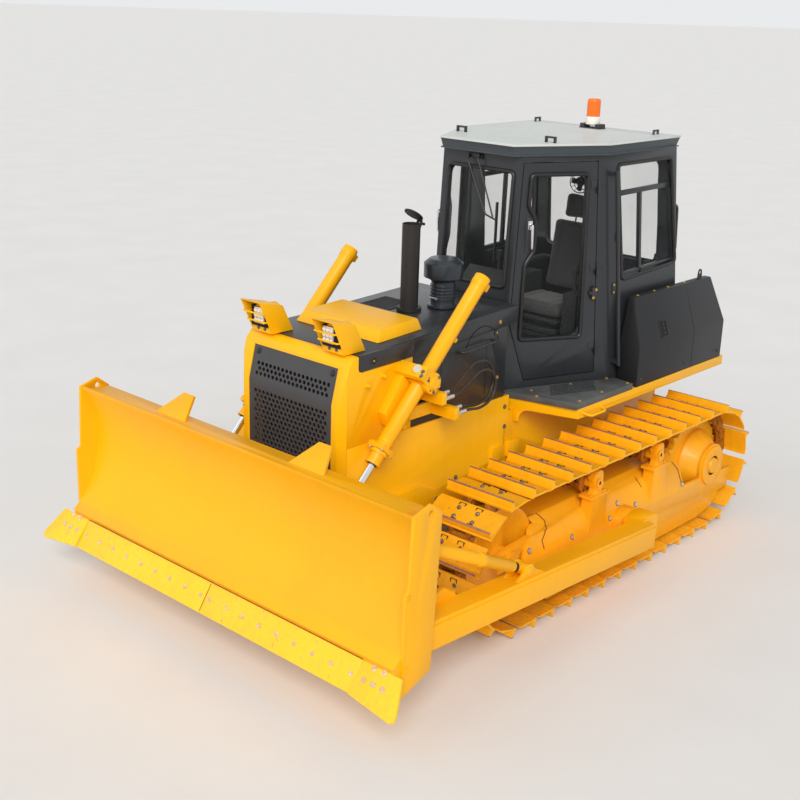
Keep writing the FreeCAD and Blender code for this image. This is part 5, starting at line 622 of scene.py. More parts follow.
class DOZER_OT_finishes(bpy.types.Operator):
    """Build every finish of the machine"""
    bl_idname = "dozer.finishes"
    bl_label = "Finishes"

    def execute(self, context):
        look = context.scene.dozer_finish
        yellow, dust, steel = tuple(look.yellow), tuple(look.dust), tuple(look.steel)
        build_weathering()
        build_wear()
        build_grain()
        build_weave()
        enamel("Yellow enamel", yellow, dust, 0.03, 0.06, 0.03, 0.42, coat=0.04)
        enamel("Blade enamel", rgb(255, 182, 0), dust, 0.03, 0.06, 0.03, 0.42, coat=0.04)
        enamel("Edge enamel", rgb(254, 208, 34), dust, 0.25, 0.4, 0.06, 0.40, wear=0.34,
               steel=rgb(186, 160, 104))
        # Running gear: the hull's yellow darkened towards orange as painted shade.
        enamel("Track enamel", tuple(look.shaded_track_yellow), dust, 0.12, 0.25, 0.05, 0.40, coat=0.08)
        enamel("Shoe enamel", rgb(252, 180, 12), rgb(206, 152, 84), 0.22, 0.4, 0.08, 0.42,
               wear=0.30, steel=steel, wear_scale=26.0)
        enamel("Worn tip", rgb(176, 122, 92), rgb(150, 116, 96), 0.4, 0.4, 0.12, 0.5, wear=0.45,
               steel=rgb(146, 132, 128), wear_scale=34.0)
        enamel("Chain enamel", rgb(176, 108, 20), rgb(70, 48, 34), 0.5, 0.6, 0.15, 0.5, wear=0.42,
               steel=rgb(48, 38, 32), wear_scale=22.0)
        enamel("Black enamel", tuple(look.black), rgb(120, 118, 114), 0.16, 0.15, 0.06, 0.36,
               coat=0.2)
        enamel("Box enamel", rgb(31, 32, 35), rgb(90, 88, 86), 0.06, 0.1, 0.05, 0.46)
        enamel("Grille enamel", rgb(66, 67, 70), rgb(96, 78, 60), 0.2, 0.5, 0.08, 0.42)
        # Roof: dark grey paint with a pale band over its top plate, a painted sky reflection.
        enamel("Roof enamel", rgb(62, 69, 75), rgb(190, 190, 184), 0.25, 0.0, 0.05, 0.62,
               coat=0.2, band=(rgb(206, 211, 209), 2.8798, 2.8962))
        enamel("Exhaust enamel", rgb(38, 36, 36), rgb(96, 84, 74), 0.25, 0.2, 0.10, 0.50)
        enamel("Cleaner enamel", rgb(40, 46, 54), rgb(96, 96, 96), 0.2, 0.1, 0.06, 0.34,
               coat=0.25)
        enamel("Bolt steel", rgb(88, 74, 66), rgb(140, 104, 74), 0.3, 0.2, 0.10, 0.4, wear=0.5,
               steel=rgb(140, 134, 128), wear_scale=90.0)
        enamel("Pale bolt", rgb(214, 176, 118), rgb(176, 132, 84), 0.25, 0.1, 0.06, 0.36,
               wear=0.45, steel=rgb(222, 214, 206), wear_scale=70.0)
        enamel("Shiny bolt", rgb(190, 188, 180), rgb(170, 150, 120), 0.2, 0.1, 0.06, 0.3, wear=0.6,
               steel=rgb(210, 210, 208), wear_scale=60.0)
        enamel("Red mark", rgb(196, 30, 18), dust, 0.1, 0.1, 0.1, 0.5)
        grained("Hose rubber", rgb(44, 38, 32), 260.0, 0.2, 0.42)
        grained("Seal rubber", rgb(27, 27, 28), 300.0, 0.1, 0.42)
        grained("Cab plastic", rgb(46, 46, 48), 380.0, 0.1, 0.6)
        grained("Tread rubber", rgb(84, 86, 86), 110.0, 0.28, 0.62, bump=0.5)
        grained("Engine casting", rgb(70, 68, 66), 90.0, 0.2, 0.7)
        grained("Radiator core", rgb(58, 44, 36), 420.0, 0.3, 0.7)
        # Near-black painted shade standing in for the dark inside of slots, recesses, seams and grooves.
        grained("Dark opening", rgb(12, 12, 12), 90.0, 0.1, 0.9)
        grained("Joint shade", rgb(128, 74, 14), 90.0, 0.1, 0.8)
        grained("Chrome", rgb(225, 226, 230), 40.0, 0.02, 0.10, bump=0.02, metallic=1.0)
        grained("Silver fitting", rgb(206, 206, 202), 80.0, 0.08, 0.26, bump=0.1, metallic=0.85)
        grained("Brass bolt", rgb(206, 170, 96), 120.0, 0.1, 0.35, metallic=0.7)
        cloth("Seat cloth", rgb(70, 69, 70))
        clear("Window glass", tuple(look.glass), 0.07)
        clear("Lamp glass", rgb(240, 240, 240), 0.35)
        clear("Beacon lens", rgb(255, 118, 6), 0.94, rough=0.10)
        clear("White lens", rgb(242, 238, 230), 0.97, rough=0.25)
        return {"FINISHED"}


def smooth_edges():
    """Modifier tree that joins a node's loose triangles and shades them smooth by angle."""
    tree = bpy.data.node_groups.new("Joined and smooth", "GeometryNodeTree")
    tree.interface.new_socket("Geometry", in_out="INPUT", socket_type="NodeSocketGeometry")
    tree.interface.new_socket("Geometry", in_out="OUTPUT", socket_type="NodeSocketGeometry")
    g = Graph(tree)
    merged = g.add("GeometryNodeMergeByDistance",
                   {"Geometry": g.add("NodeGroupInput").outputs[0], "Distance": 1e-5})
    whole = g.add("GeometryNodeSetShadeSmooth", {"Geometry": merged.outputs[0],
                                                 "Shade Smooth": True}, domain="FACE")
    angle = g.add("GeometryNodeInputMeshEdgeAngle")
    flat = g.add("FunctionNodeCompare", {0: angle.outputs[0], 1: math.radians(32)},
                 operation="LESS_THAN", data_type="FLOAT")
    edges = g.add("GeometryNodeSetShadeSmooth", {"Geometry": whole.outputs[0],
                                                 "Shade Smooth": flat.outputs[0]}, domain="EDGE")
    out = g.add("NodeGroupOutput")
    tree.links.new(edges.outputs[0], out.inputs[0])
    return tree


# CAD node, its finish, and the width of its rounded edges
NODE_LOOKS = (
    ("main_frame", "Yellow enamel", 0.006), ("drawbar", "Yellow enamel", 0.006),
    ("engine_block", "Engine casting", 0.0), ("radiator_guard", "Yellow enamel", 0.008),
    ("hood", "Black enamel", 0.012), ("hood_cover", "Yellow enamel", 0.010),
    ("hood_side_panels", "Black enamel", 0.004), ("exhaust", "Exhaust enamel", 0.0),
    ("rain_cap", "Exhaust enamel", 0.0), ("air_cleaner", "Cleaner enamel", 0.004),
    ("headlamps", "Yellow enamel", 0.003), ("cab", "Black enamel", 0.006),
    ("door_", "Black enamel", 0.004), ("cab_roof", "Roof enamel", 0.008),
    ("rear_tank", "Black enamel", 0.012), ("track_frame_", "Track enamel", 0.005),
    ("idler_", "Track enamel", 0.003), ("rollers_", "Chain enamel", 0.003),
    ("final_drive_", "Track enamel", 0.003), ("fender_", "Yellow enamel", 0.004),
    ("tread_plate_", "Tread rubber", 0.004), ("side_box_", "Box enamel", 0.012),
    ("cylinder_yoke_", "Yellow enamel", 0.006), ("hose_fittings_", "Yellow enamel", 0.003),
    ("blade", "Blade enamel", 0.005), ("cutting_edges", "Edge enamel", 0.003),
    ("push_arm_", "Blade enamel", 0.007), ("screw_brace", "Blade enamel", 0.003),
    ("tilt_cylinder", "Blade enamel", 0.003), ("lift_cylinder_", "Blade enamel", 0.003),
    ("lift_rod_", "Chrome", 0.002), ("cab_windows", "Window glass", 0.0),
    ("door_glass_", "Window glass", 0.0), ("operator_consoles", "Cab plastic", 0.012),
    ("track_", "Shoe enamel", 0.0), ("radiator_grille", "Grille enamel", 0.0),
    ("grab_rails_", "Black enamel", 0.0),
)


class DOZER_OT_nodes(bpy.types.Operator):
    """Give every CAD piece its finish and rounded edges"""
    bl_idname = "dozer.nodes"
    bl_label = "CAD pieces"

    def execute(self, context):
        tree = smooth_edges()
        for stem, material, width in NODE_LOOKS:
            names = [stem + side for side, _ in SIDES] if stem.endswith("_") else [stem]
            for name in names:
                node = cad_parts[name]
                node.data.materials.clear()
                node.data.materials.append(bpy.data.materials[material])
                if width:
                    node.modifiers.new("Join", "WELD").merge_threshold = 1e-5
                    flat = node.modifiers.new("Flat faces", "DECIMATE")
                    flat.decimate_type = "DISSOLVE"
                    flat.angle_limit = math.radians(1)
                    bevel = node.modifiers.new("Rounded edges", "BEVEL")
                    bevel.width = width
                    bevel.segments = 2
                    bevel.limit_method = "ANGLE"
                    bevel.angle_limit = math.radians(38)
                    bevel.use_clamp_overlap = True
                    bevel.miter_outer = "MITER_ARC"
                smooth = node.modifiers.new("Smooth", "NODES")
                smooth.node_group = tree
        return {"FINISHED"}


# Hoses: the same points as the route in the source, in millimetres, left side
HOSES = (
    ((862, 600, 1488), (790, 600, 1488), (716, 602, 1530), (640, 602, 1588), (552, 594, 1624),
     (450, 582, 1616), (368, 572, 1570), (322, 566, 1492), (330, 566, 1404), (396, 572, 1346),
     (482, 580, 1326), (572, 590, 1336), (656, 600, 1366), (737, 600, 1366)),
    ((862, 640, 1470), (790, 640, 1470), (722, 644, 1500), (652, 650, 1546), (566, 642, 1578),
     (476, 630, 1572), (398, 618, 1530), (356, 612, 1456), (374, 612, 1374), (446, 618, 1330),
     (546, 626, 1322), (640, 640, 1346), (737, 640, 1346)),
)
HOSE_DIAMETER = 0.018


class DOZER_OT_hoses(bpy.types.Operator):
    """Add the hydraulic hoses that loop beside the hood"""
    bl_idname = "dozer.hoses"
    bl_label = "Hoses"

    def execute(self, context):
        for side, way in SIDES:
            for index, points in enumerate(HOSES):
                name = "hose_%s_%d" % (side, index + 1)
                curve = bpy.data.curves.new(name, "CURVE")
                curve.dimensions = "3D"
                curve.bevel_depth = HOSE_DIAMETER / 2
                curve.bevel_resolution = 4
                curve.resolution_u = 10
                spline = curve.splines.new("NURBS")
                spline.points.add(len(points) - 1)
                for point, (x, y, z) in zip(spline.points, points):
                    point.co = (x / 1000, way * y / 1000, z / 1000, 1)
                spline.order_u = 3
                spline.use_endpoint_u = True
                curve.materials.append(bpy.data.materials["Hose rubber"])
                piece = bpy.data.objects.new(name, curve)
                context.scene.collection.objects.link(piece)
                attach(piece, "root")
                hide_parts("lift_hoses_" + side)
                x, y, z = points[0]
        return {"FINISHED"}


def chain_places(track):
    """Middle, direction along the chain and direction outwards of every link, in the X-Z plane."""
    base = track.idler_x - track.sprocket_x
    radius, height = track.radius, track.axle_z
    total = 2 * base + math.tau * radius

    def pin(way):
        way %= total
        if way < base:
            return Vector((track.sprocket_x + way, 0, height + radius))
        if way < base + math.pi * radius:
            turn = (way - base) / radius
            return Vector((track.idler_x + radius * math.sin(turn), 0,
                           height + radius * math.cos(turn)))
        if way < 2 * base + math.pi * radius:
            return Vector((track.idler_x - (way - base - math.pi * radius), 0, height - radius))
        turn = (way - 2 * base - math.pi * radius) / radius
        return Vector((track.sprocket_x - radius * math.sin(turn), 0,
                       height - radius * math.cos(turn)))

    pins = [pin(total * index / track.shoes) for index in range(track.shoes)]
    for start, end in zip(pins, pins[1:] + pins[:1]):
        along = (end - start).normalized()
        yield start, along, Vector((-along.z, 0, along.x)), (end - start).length


def shoe_mesh(bm, track, pitch):
    """One shoe with X along the chain, Y across and Z outwards from the pin line."""
    half, plate = track.width / 2, track.plate
    low, tip = plate - 0.014, plate + track.grouser
    outline = ((0.004, low - 0.010), (0.016, low - 0.002), (0.040, low), (0.165, low),
               (0.182, low - 0.004), (0.194, low - 0.004), (0.194, plate - 0.004),
               (0.184, plate - 0.001), (0.176, tip - 0.002), (0.174, tip), (0.164, tip),
               (0.162, tip - 0.002), (0.156, plate + 0.006), (0.146, plate), (0.046, plate),
               (0.034, plate - 0.004), (0.014, plate - 0.011), (0.004, low - 0.002))
    scale = pitch / 0.198
    turn = Matrix(((1, 0, 0, 0), (0, 0, -1, half), (0, 1, 0, 0), (0, 0, 0, 1)))
    add_plate(bm, [(x * scale, z) for x, z in outline], track.width, turn)


def shoe_marks(bm, track, pitch, matrix):
    """Dark notches over the links and short slots beside the shoe bolts, in near-black painted shade."""
    scale, plate = pitch / 0.198, track.plate
    for middle in (-0.065, 0.065):
        for y in (middle - 0.024, middle + 0.021):
            add_box(bm, (0.020 * scale, y, plate - 0.010), (0.043 * scale, y + 0.003, plate + 0.0006),
                    matrix)
        add_box(bm, (0.018 * scale, middle - 0.024, plate - 0.010),
                (0.021 * scale, middle + 0.024, plate - 0.006), matrix)
        add_box(bm, (0.138 * scale, middle - 0.022, plate - 0.002),
                (0.143 * scale, middle + 0.022, plate + 0.0006), matrix)


class DOZER_OT_tracks(bpy.types.Operator):
    """Add the track shoes, links, pins and shoe bolts"""
    bl_idname = "dozer.tracks"
    bl_label = "Tracks"

    def execute(self, context):
        track = context.scene.dozer_track
        bolts = context.scene.dozer_bolts
        for side, way in SIDES:
            middle = way * track.gauge / 2
            shoes, links, heads = bmesh.new(), bmesh.new(), bmesh.new()
            marks, tips = bmesh.new(), bmesh.new()
            for start, along, out, pitch in chain_places(track):
                matrix = Matrix((along, Vector((0, 1, 0)), out)).transposed().to_4x4()
                matrix.translation = start + Vector((0, middle, 0))
                one = bmesh.new()
                shoe_mesh(one, track, pitch)
                bmesh.ops.transform(one, matrix=matrix, verts=one.verts)
                holder = bpy.data.meshes.new("shoe")
                one.to_mesh(holder)
                one.free()
                shoes.from_mesh(holder)
                bpy.data.meshes.remove(holder)
                self.link(links, matrix, track.plate - 0.014)
                shoe_marks(marks, track, pitch, matrix)
                scale, tip = pitch / 0.198, track.plate + track.grouser
                add_box(tips, (0.1622 * scale, -track.width / 2 - 0.0006, tip - 0.005),
                        (0.1762 * scale, track.width / 2 + 0.0006, tip + 0.001), matrix)
                for x in (0.060, 0.124):
                    for y in (-0.072, 0.072):
                        place = matrix @ Vector((x, y, track.plate - 0.001))
                        add_dome(heads, place, out, bolts.large, 0.7)
            for part in (shoes, links):
                bmesh.ops.recalc_face_normals(part, faces=part.faces)
            finish_piece("track_shoes_" + side, shoes, "Shoe enamel",
                         replaces=("track_" + side,))
            finish_piece("track_links_" + side, links, "Chain enamel")
            finish_piece("shoe_bolts_" + side, heads, "Bolt steel", smooth=20)
            finish_piece("shoe_slots_" + side, marks, "Dark opening", smooth=0)
            finish_piece("grouser_tips_" + side, tips, "Worn tip", smooth=0)
        return {"FINISHED"}

    def link(self, bm, matrix, top):
        """Pair of side links with their bosses, nut windows and pin."""
        outline = [(-0.012, -0.020), (0.025, -0.022), (0.175, -0.022), (0.205, -0.016),
                   (0.214, 0.002), (0.205, 0.020), (0.185, top), (0.012, top), (-0.014, 0.018)]
        for y in (-0.065, 0.065):
            turn = Matrix(((1, 0, 0, 0), (0, 0, -1, y + 0.014), (0, 1, 0, 0), (0, 0, 0, 1)))
            add_plate(bm, outline, 0.028, matrix @ turn)
            for x in (0.066, 0.126):
                for edge in (y - 0.0145, y + 0.0125):
                    add_box(bm, (x - 0.014, edge, -0.002), (x + 0.014, edge + 0.002, 0.030),
                            matrix)
        for x, reach, radius in ((0.0, 0.088, 0.020), (0.0, 0.060, 0.031)):
            add_rod(bm, matrix @ Vector((x, -reach, 0)), matrix @ Vector((x, reach, 0)), radius,
                    sides=14)


# Door window, distance from the wall's front corner and height; side window, X and height
DOOR_WINDOW = ((0.161, 2.695), (0.595, 2.690), (0.610, 1.570), (0.128, 1.583), (0.139, 2.098),
               (0.205, 2.190), (0.210, 2.398), (0.148, 2.490))
SIDE_WINDOW = ((-0.885, 2.736), (-1.562, 2.740), (-1.680, 1.972), (-0.985, 1.934))


class DOZER_OT_windows(bpy.types.Operator):
    """Add the window seals, sliding frames and wiper"""
    bl_idname = "dozer.windows"
    bl_label = "Window seals"

    def execute(self, context):
        fixed = bmesh.new()
        for half, wall in ((0.278, FRONT_WALL), (0.5, REAR_WALL)):
            corners = ((-half, 1.94), (half, 1.94), (half, 2.71), (-half, 2.71))
            add_loop(fixed, [wall.facing((0, y, z), (1, 0, 0), 0.003) for y, z in corners], 0.014)
        sides = bmesh.new()
        add_loop(sides, [self.side(x, z, 0.003) for x, z in SIDE_WINDOW], 0.014)
        mirrored(sides)
        finish_piece("window_seals", fixed, "Seal rubber")
        finish_piece("side_window_seals", sides, "Seal rubber")
        frames = bmesh.new()
        for start, end, width in (((-0.905, 2.535), (-1.592, 2.548), 0.034),
                                  ((-1.199, 2.530), (-1.232, 1.955), 0.030),
                                  ((-0.918, 2.500), (-0.990, 1.968), 0.022),
                                  ((-0.988, 1.962), (-1.668, 1.996), 0.026),
                                  ((-1.596, 2.520), (-1.664, 2.000), 0.020)):
            add_bar(frames, SIDE_WALL, self.side(*start), self.side(*end), width, -0.034, -0.008)
        add_bar(frames, SIDE_WALL, self.side(-0.905, 2.27), self.side(-0.905, 2.215), 0.022, -0.01,
                0.014)
        mirrored(frames)
        finish_piece("sliding_frames", frames, "Black enamel")
        self.wiper()
        for side, way in SIDES:
            seal = bmesh.new()
            add_loop(seal, [DOOR_WALL.place(a, z, 0.003) for a, z in DOOR_WINDOW], 0.014, 0.06)
            to_side(seal, way)
            finish_piece("door_seal_" + side, seal, "Seal rubber", "door_" + side)
        return {"FINISHED"}

    def side(self, x, z, depth=0.0):
        return SIDE_WALL.facing((x, 0.6, z), (0, 1, 0), depth)

    def wiper(self):
        def spot(y, z, depth):
            return FRONT_WALL.facing((0, y, z), (1, 0, 0), depth)

        bm = bmesh.new()
        for y, z, far_y, far_z in ((-0.101, 2.779, 0.092, 2.405), (-0.012, 2.787, 0.152, 2.398)):
            add_rod(bm, spot(y, z, -0.002), spot(y, z, 0.028), 0.016, 0.012)
            add_tube(bm, [spot(y, z, 0.02), spot(y + 0.01, z - 0.03, 0.034),
                          spot(far_y, far_z, 0.026)], 0.0055)
        add_box(bm, (-0.12, 2.765, 0.0), (0.01, 2.80, 0.012), self.front_matrix(), 0.003)
        add_tube(bm, [spot(0.088, 2.41, 0.026), spot(0.172, 2.385, 0.024)], 0.006)
        add_bar(bm, FRONT_WALL, spot(0.170, 2.50, 0), spot(0.188, 2.10, 0), 0.012, 0.004, 0.024)
        finish_piece("wiper", bm, "Seal rubber")

    def front_matrix(self):
        """Frame on the front wall whose X is the machine's Y and whose Y is the height."""
        low, high = (FRONT_WALL.facing((0, 0, z), (1, 0, 0)) for z in (0, 1))
        matrix = Matrix((Vector((0, 1, 0)), (high - low), FRONT_WALL.out)).transposed().to_4x4()
        matrix.translation = low
        return matrix


class DOZER_OT_doors(bpy.types.Operator):
    """Add the door handles, latches and hinge bolts"""
    bl_idname = "dozer.doors"
    bl_label = "Door fittings"

    def execute(self, context):
        for side, way in SIDES:
            lever, base, bolts = bmesh.new(), bmesh.new(), bmesh.new()
            add_box(lever, (0.148, DOOR_WALL.up(2.335), 0.001), (0.182, DOOR_WALL.up(2.395), 0.012),
                    DOOR_WALL.matrix, 0.004)
            add_tube(lever, [DOOR_WALL.place(0.165, 2.368, 0.008), DOOR_WALL.place(0.165, 2.368, 0.042),
                             DOOR_WALL.place(0.170, 2.215, 0.036),
                             DOOR_WALL.place(0.170, 2.205, 0.014)], 0.0095, 0.02)
            add_box(base, (0.138, DOOR_WALL.up(2.18), -0.001), (0.186, DOOR_WALL.up(2.415), 0.004),
                    DOOR_WALL.matrix, 0.002)
            add_box(base, (0.672, DOOR_WALL.up(1.83), -0.001), (0.712, DOOR_WALL.up(1.915), 0.030),
                    DOOR_WALL.matrix, 0.004)
            add_box(base, (0.655, DOOR_WALL.up(1.862), -0.001), (0.676, DOOR_WALL.up(1.888), 0.024),
                    DOOR_WALL.matrix, 0.003)
            for a, z in ((0.682, 1.845), (0.702, 1.900)):
                add_bolt(bolts, DOOR_WALL.place(a, z, 0.030), DOOR_WALL.out, 0.007)
            for a, z in ((0.165, 2.382), (0.165, 2.346)):
                add_dome(bolts, DOOR_WALL.place(a, z, 0.012), DOOR_WALL.out, 0.004)
            for bm, name, finish in ((lever, "door_handle_", "Chrome"),
                                     (base, "door_latch_", "Cab plastic"),
                                     (bolts, "door_bolts_", "Brass bolt")):
                to_side(bm, way)
                finish_piece(name + side, bm, finish, "door_" + side)
        plate, brass = bmesh.new(), bmesh.new()
        add_bar(plate, SIDE_WALL, SIDE_WALL.facing((-0.870, 0.6, 1.885), (0, 1, 0)),
                SIDE_WALL.facing((-0.952, 0.6, 1.885), (0, 1, 0)), 0.082, -0.001, 0.008)
        for x, z in ((-0.885, 1.912), (-0.885, 1.858), (-0.935, 1.912), (-0.935, 1.858)):
            add_bolt(brass, SIDE_WALL.facing((x, 0.6, z), (0, 1, 0), 0.008), SIDE_WALL.out, 0.0075)
        bolts_on(brass, "side_box_left", [(x, 0.727, 2.0) for x in (-1.08, -1.30, -1.49, -1.72)],
                 (0, 0, -1), 0.009)
        for bm, name, finish in ((plate, "door_stop_plates", "Black enamel"),
                                 (brass, "cab_side_bolts", "Brass bolt")):
            mirrored(bm)
            finish_piece(name, bm, finish)
        return {"FINISHED"}


class DOZER_OT_roof(bpy.types.Operator):
    """Add the beacon and the front lifting lugs of the roof"""
    bl_idname = "dozer.roof"
    bl_label = "Roof fittings"

    def execute(self, context):
        x, foot = -1.437, 2.895
        bracket, base, lens = bmesh.new(), bmesh.new(), bmesh.new()
        add_box(bracket, (x - 0.042, -0.088, foot), (x + 0.042, 0.088, foot + 0.008), None, 0.002)
        for y in (-0.066, 0.066):
            add_box(bracket, (x - 0.040, y - 0.020, foot + 0.007), (x + 0.040, y + 0.020, foot + 0.034),
                    None, 0.004)
        add_box(bracket, (x - 0.032, -0.07, foot + 0.024), (x + 0.032, 0.07, foot + 0.032), None,
                0.002)
        add_lathe(base, (x, 0, foot + 0.030), (0, 0, 1),
                  ((0, 0), (0.052, 0), (0.054, 0.006), (0.054, 0.048), (0.050, 0.056), (0, 0.056)))
        profile = [(0, 0), (0.047, 0), (0.050, 0.004)]
        for step in range(8):
            profile += [(0.050, 0.010 + step * 0.012), (0.0485, 0.016 + step * 0.012)]
        profile += [(0.049, 0.108), (0.046, 0.120), (0.038, 0.127), (0, 0.129)]
        add_lathe(lens, (x, 0, foot + 0.086), (0, 0, 1), profile)
        finish_piece("beacon_bracket", bracket, "Cab plastic", replaces=("beacon",))
        finish_piece("beacon_base", base, "White lens")
        finish_piece("beacon_lens", lens, "Beacon lens")
        lugs = bmesh.new()
        for y in (0.345, 0.415):
            add_box(lugs, (-0.400, y - 0.007, foot - 0.002), (-0.380, y + 0.007, 2.932), None, 0.002)
        add_box(lugs, (-0.402, 0.339, 2.924), (-0.378, 0.421, 2.936), None, 0.002)
        mirrored(lugs)
        finish_piece("roof_lugs", lugs, "Black enamel")
        return {"FINISHED"}


class DOZER_OT_lamps(bpy.types.Operator):
    """Add the lamp recesses, lamps and guard rods"""
    bl_idname = "dozer.lamps"
    bl_label = "Headlamps"

    def execute(self, context):
        recess, lamp, cells, rods, heads = (bmesh.new() for _ in range(5))
        # Painted shade: a near-black block for the recess behind each lamp.
        add_box(recess, (1.455, 0.2405, 1.8475), (1.549, 0.3795, 1.972), None, 0.004)
        add_box(lamp, (1.546, 0.252, 1.868), (1.560, 0.344, 1.970), None, 0.006)
        for row in range(3):
            for column in range(3):
                y, z = 0.269 + column * 0.029, 1.888 + row * 0.031
                add_lathe(cells, (1.5595, y, z), (1, 0, 0),
                          ((0, 0.0), (0.0125, 0), (0.0125, 0.004), (0.009, 0.0075), (0, 0.009)), 16)
        add_box(rods, (1.515, 0.2275, 1.808), (1.527, 0.3925, 1.852), None, 0.003)
        for x, z in ((1.592, 1.944), (1.562, 1.886)):
            add_tube(rods, [(x - 0.012, 0.224, z), (x + 0.012, 0.232, z), (x + 0.012, 0.388, z),
                            (x - 0.012, 0.396, z)], 0.0055, 0.012)
        for y in (0.280, 0.338):
            add_bolt(heads, (1.527, y, 1.831), (1, 0, 0), 0.0085)
        for bm, name, finish in ((recess, "lamp_recesses", "Dark opening"),
                                 (lamp, "lamp_bodies", "Silver fitting"),
                                 (cells, "lamp_cells", "White lens"),
                                 (rods, "lamp_guards", "Yellow enamel"),
                                 (heads, "lamp_bolts", "Bolt steel")):
            mirrored(bm)
            finish_piece(name, bm, finish)
        return {"FINISHED"}


class DOZER_OT_front(bpy.types.Operator):
    """Add the radiator core, grille plugs, hood edge and hood fittings"""
    bl_idname = "dozer.front"
    bl_label = "Radiator and hood"

    def execute(self, context):
        core = bmesh.new()
        add_box(core, (1.440, -0.375, 0.80), (1.470, 0.375, 1.70), None, 0.003)
        for index in range(46):
            y = -0.36 + index * 0.016
            add_box(core, (1.469, y - 0.0015, 0.81), (1.478, y + 0.0015, 1.69))
        finish_piece("radiator_core", core, "Radiator core")
        plugs = bmesh.new()
        for y in (-0.322, 0.322):
            place, normal = landing("radiator_grille", (2.0, y, 1.69), (-1, 0, 0))
            add_dome(plugs, place, normal, 0.021, 0.4)
        finish_piece("grille_plugs", plugs, "Seal rubber")
        edge, dark, brass = bmesh.new(), bmesh.new(), bmesh.new()
        outline = ((1.456, 1.806), (1.456, 1.722), (1.449, 1.708), (1.434, 1.703), (1.12, 1.708),
                   (0.98, 1.714), (0.98, 1.812))
        back = Matrix(((1, 0, 0, 0), (0, 0, 1, 0.440), (0, 1, 0, 0), (0, 0, 0, 1)))
        add_plate(edge, outline, 0.017, back, 0.005)
        bmesh.ops.recalc_face_normals(edge, faces=edge.faces)
        add_ring(edge, (1.336, 0.4565, 1.755), (0, 1, 0), 0.020, 0.032, 0.003)
        # Painted shade: near-black disc in the ring's hole behind the bolt.
        add_rod(dark, (1.336, 0.455, 1.755), (1.336, 0.4585, 1.755), 0.020)
        add_bolt(brass, (1.336, 0.458, 1.755), (0, 1, 0), 0.006)
        # Round groove, seams, latch and bolts of the side panel; the groove and seams are near-black painted
        # shade.
        arc = [(0.297 + 0.175 * math.cos(math.radians(a)), 0.4405, 1.603 + 0.175 * math.sin(math.radians(a)))
               for a in range(20, 161, 10)]
        add_tube(dark, arc, 0.003, 0.005)
        for low, high in (((0.2485, 0.4395, 1.31), (0.2515, 0.4412, 1.672)),
                          ((0.700, 0.4395, 1.31), (0.703, 0.4412, 1.735))):
            add_box(dark, low, high)
        add_ring(edge, (0.155, 0.4395, 1.712), (0, 1, 0), 0.012, 0.021, 0.006)
        add_bolt(brass, (0.155, 0.441, 1.712), (0, 1, 0), 0.008, washer=False)
        bolts_on(brass, "hood", [(0.122, 0.6, 1.777)], (0, -1, 0), 0.010)
        bolts_on(brass, "hood_side_panels", [(0.122, 0.6, 1.40), (0.80, 0.6, 1.66)], (0, -1, 0), 0.009)
        for bm, name, finish in ((edge, "hood_edges", "Black enamel"),
                                 (dark, "panel_seams", "Dark opening"),
                                 (brass, "panel_bolts", "Brass bolt")):
            mirrored(bm)
            finish_piece(name, bm, finish)
        self.mesh_panel()
        self.cleaner()
        return {"FINISHED"}

    def mesh_panel(self):
        """Slatted vent in the hood's top, right of the exhaust."""
        slats = bmesh.new()
        low, normal = landing("hood", (0.40, -0.22, 2.3), (0, 0, -1))
        far, normal = landing("hood", (0.62, -0.22, 2.3), (0, 0, -1))
        along = (far - low).normalized()
        matrix = frame_matrix(low, normal, along)
        for y in (-0.115, 0.115):
            add_box(slats, (-0.01, y - 0.008, -0.001), (0.24, y + 0.008, 0.006), matrix, 0.002)
        for x in (-0.008, 0.236):
            add_box(slats, (x - 0.006, -0.12, -0.001), (x + 0.006, 0.12, 0.006), matrix, 0.002)
        for index in range(22):
            x = 0.005 + index * 0.0106
            add_box(slats, (x, -0.11, -0.001), (x + 0.004, 0.11, 0.004), matrix)
        finish_piece("hood_vent", slats, "Cab plastic")

    def cleaner(self):
        """Clamp on the air cleaner's neck, with its bolt."""
        band, bolt = bmesh.new(), bmesh.new()
        add_ring(band, (0.313, 0.100, 1.908), (0, 0, 1), 0.078, 0.0835, 0.014, 40)
        add_tube(bolt, [(0.395, 0.060, 1.915), (0.400, 0.125, 1.915)], 0.006, 0.01)
        add_bolt(bolt, (0.400, 0.120, 1.915), (0, 1, 0), 0.008)
        finish_piece("cleaner_clamp", band, "Cab plastic")
        finish_piece("clamp_bolt", bolt, "Silver fitting")


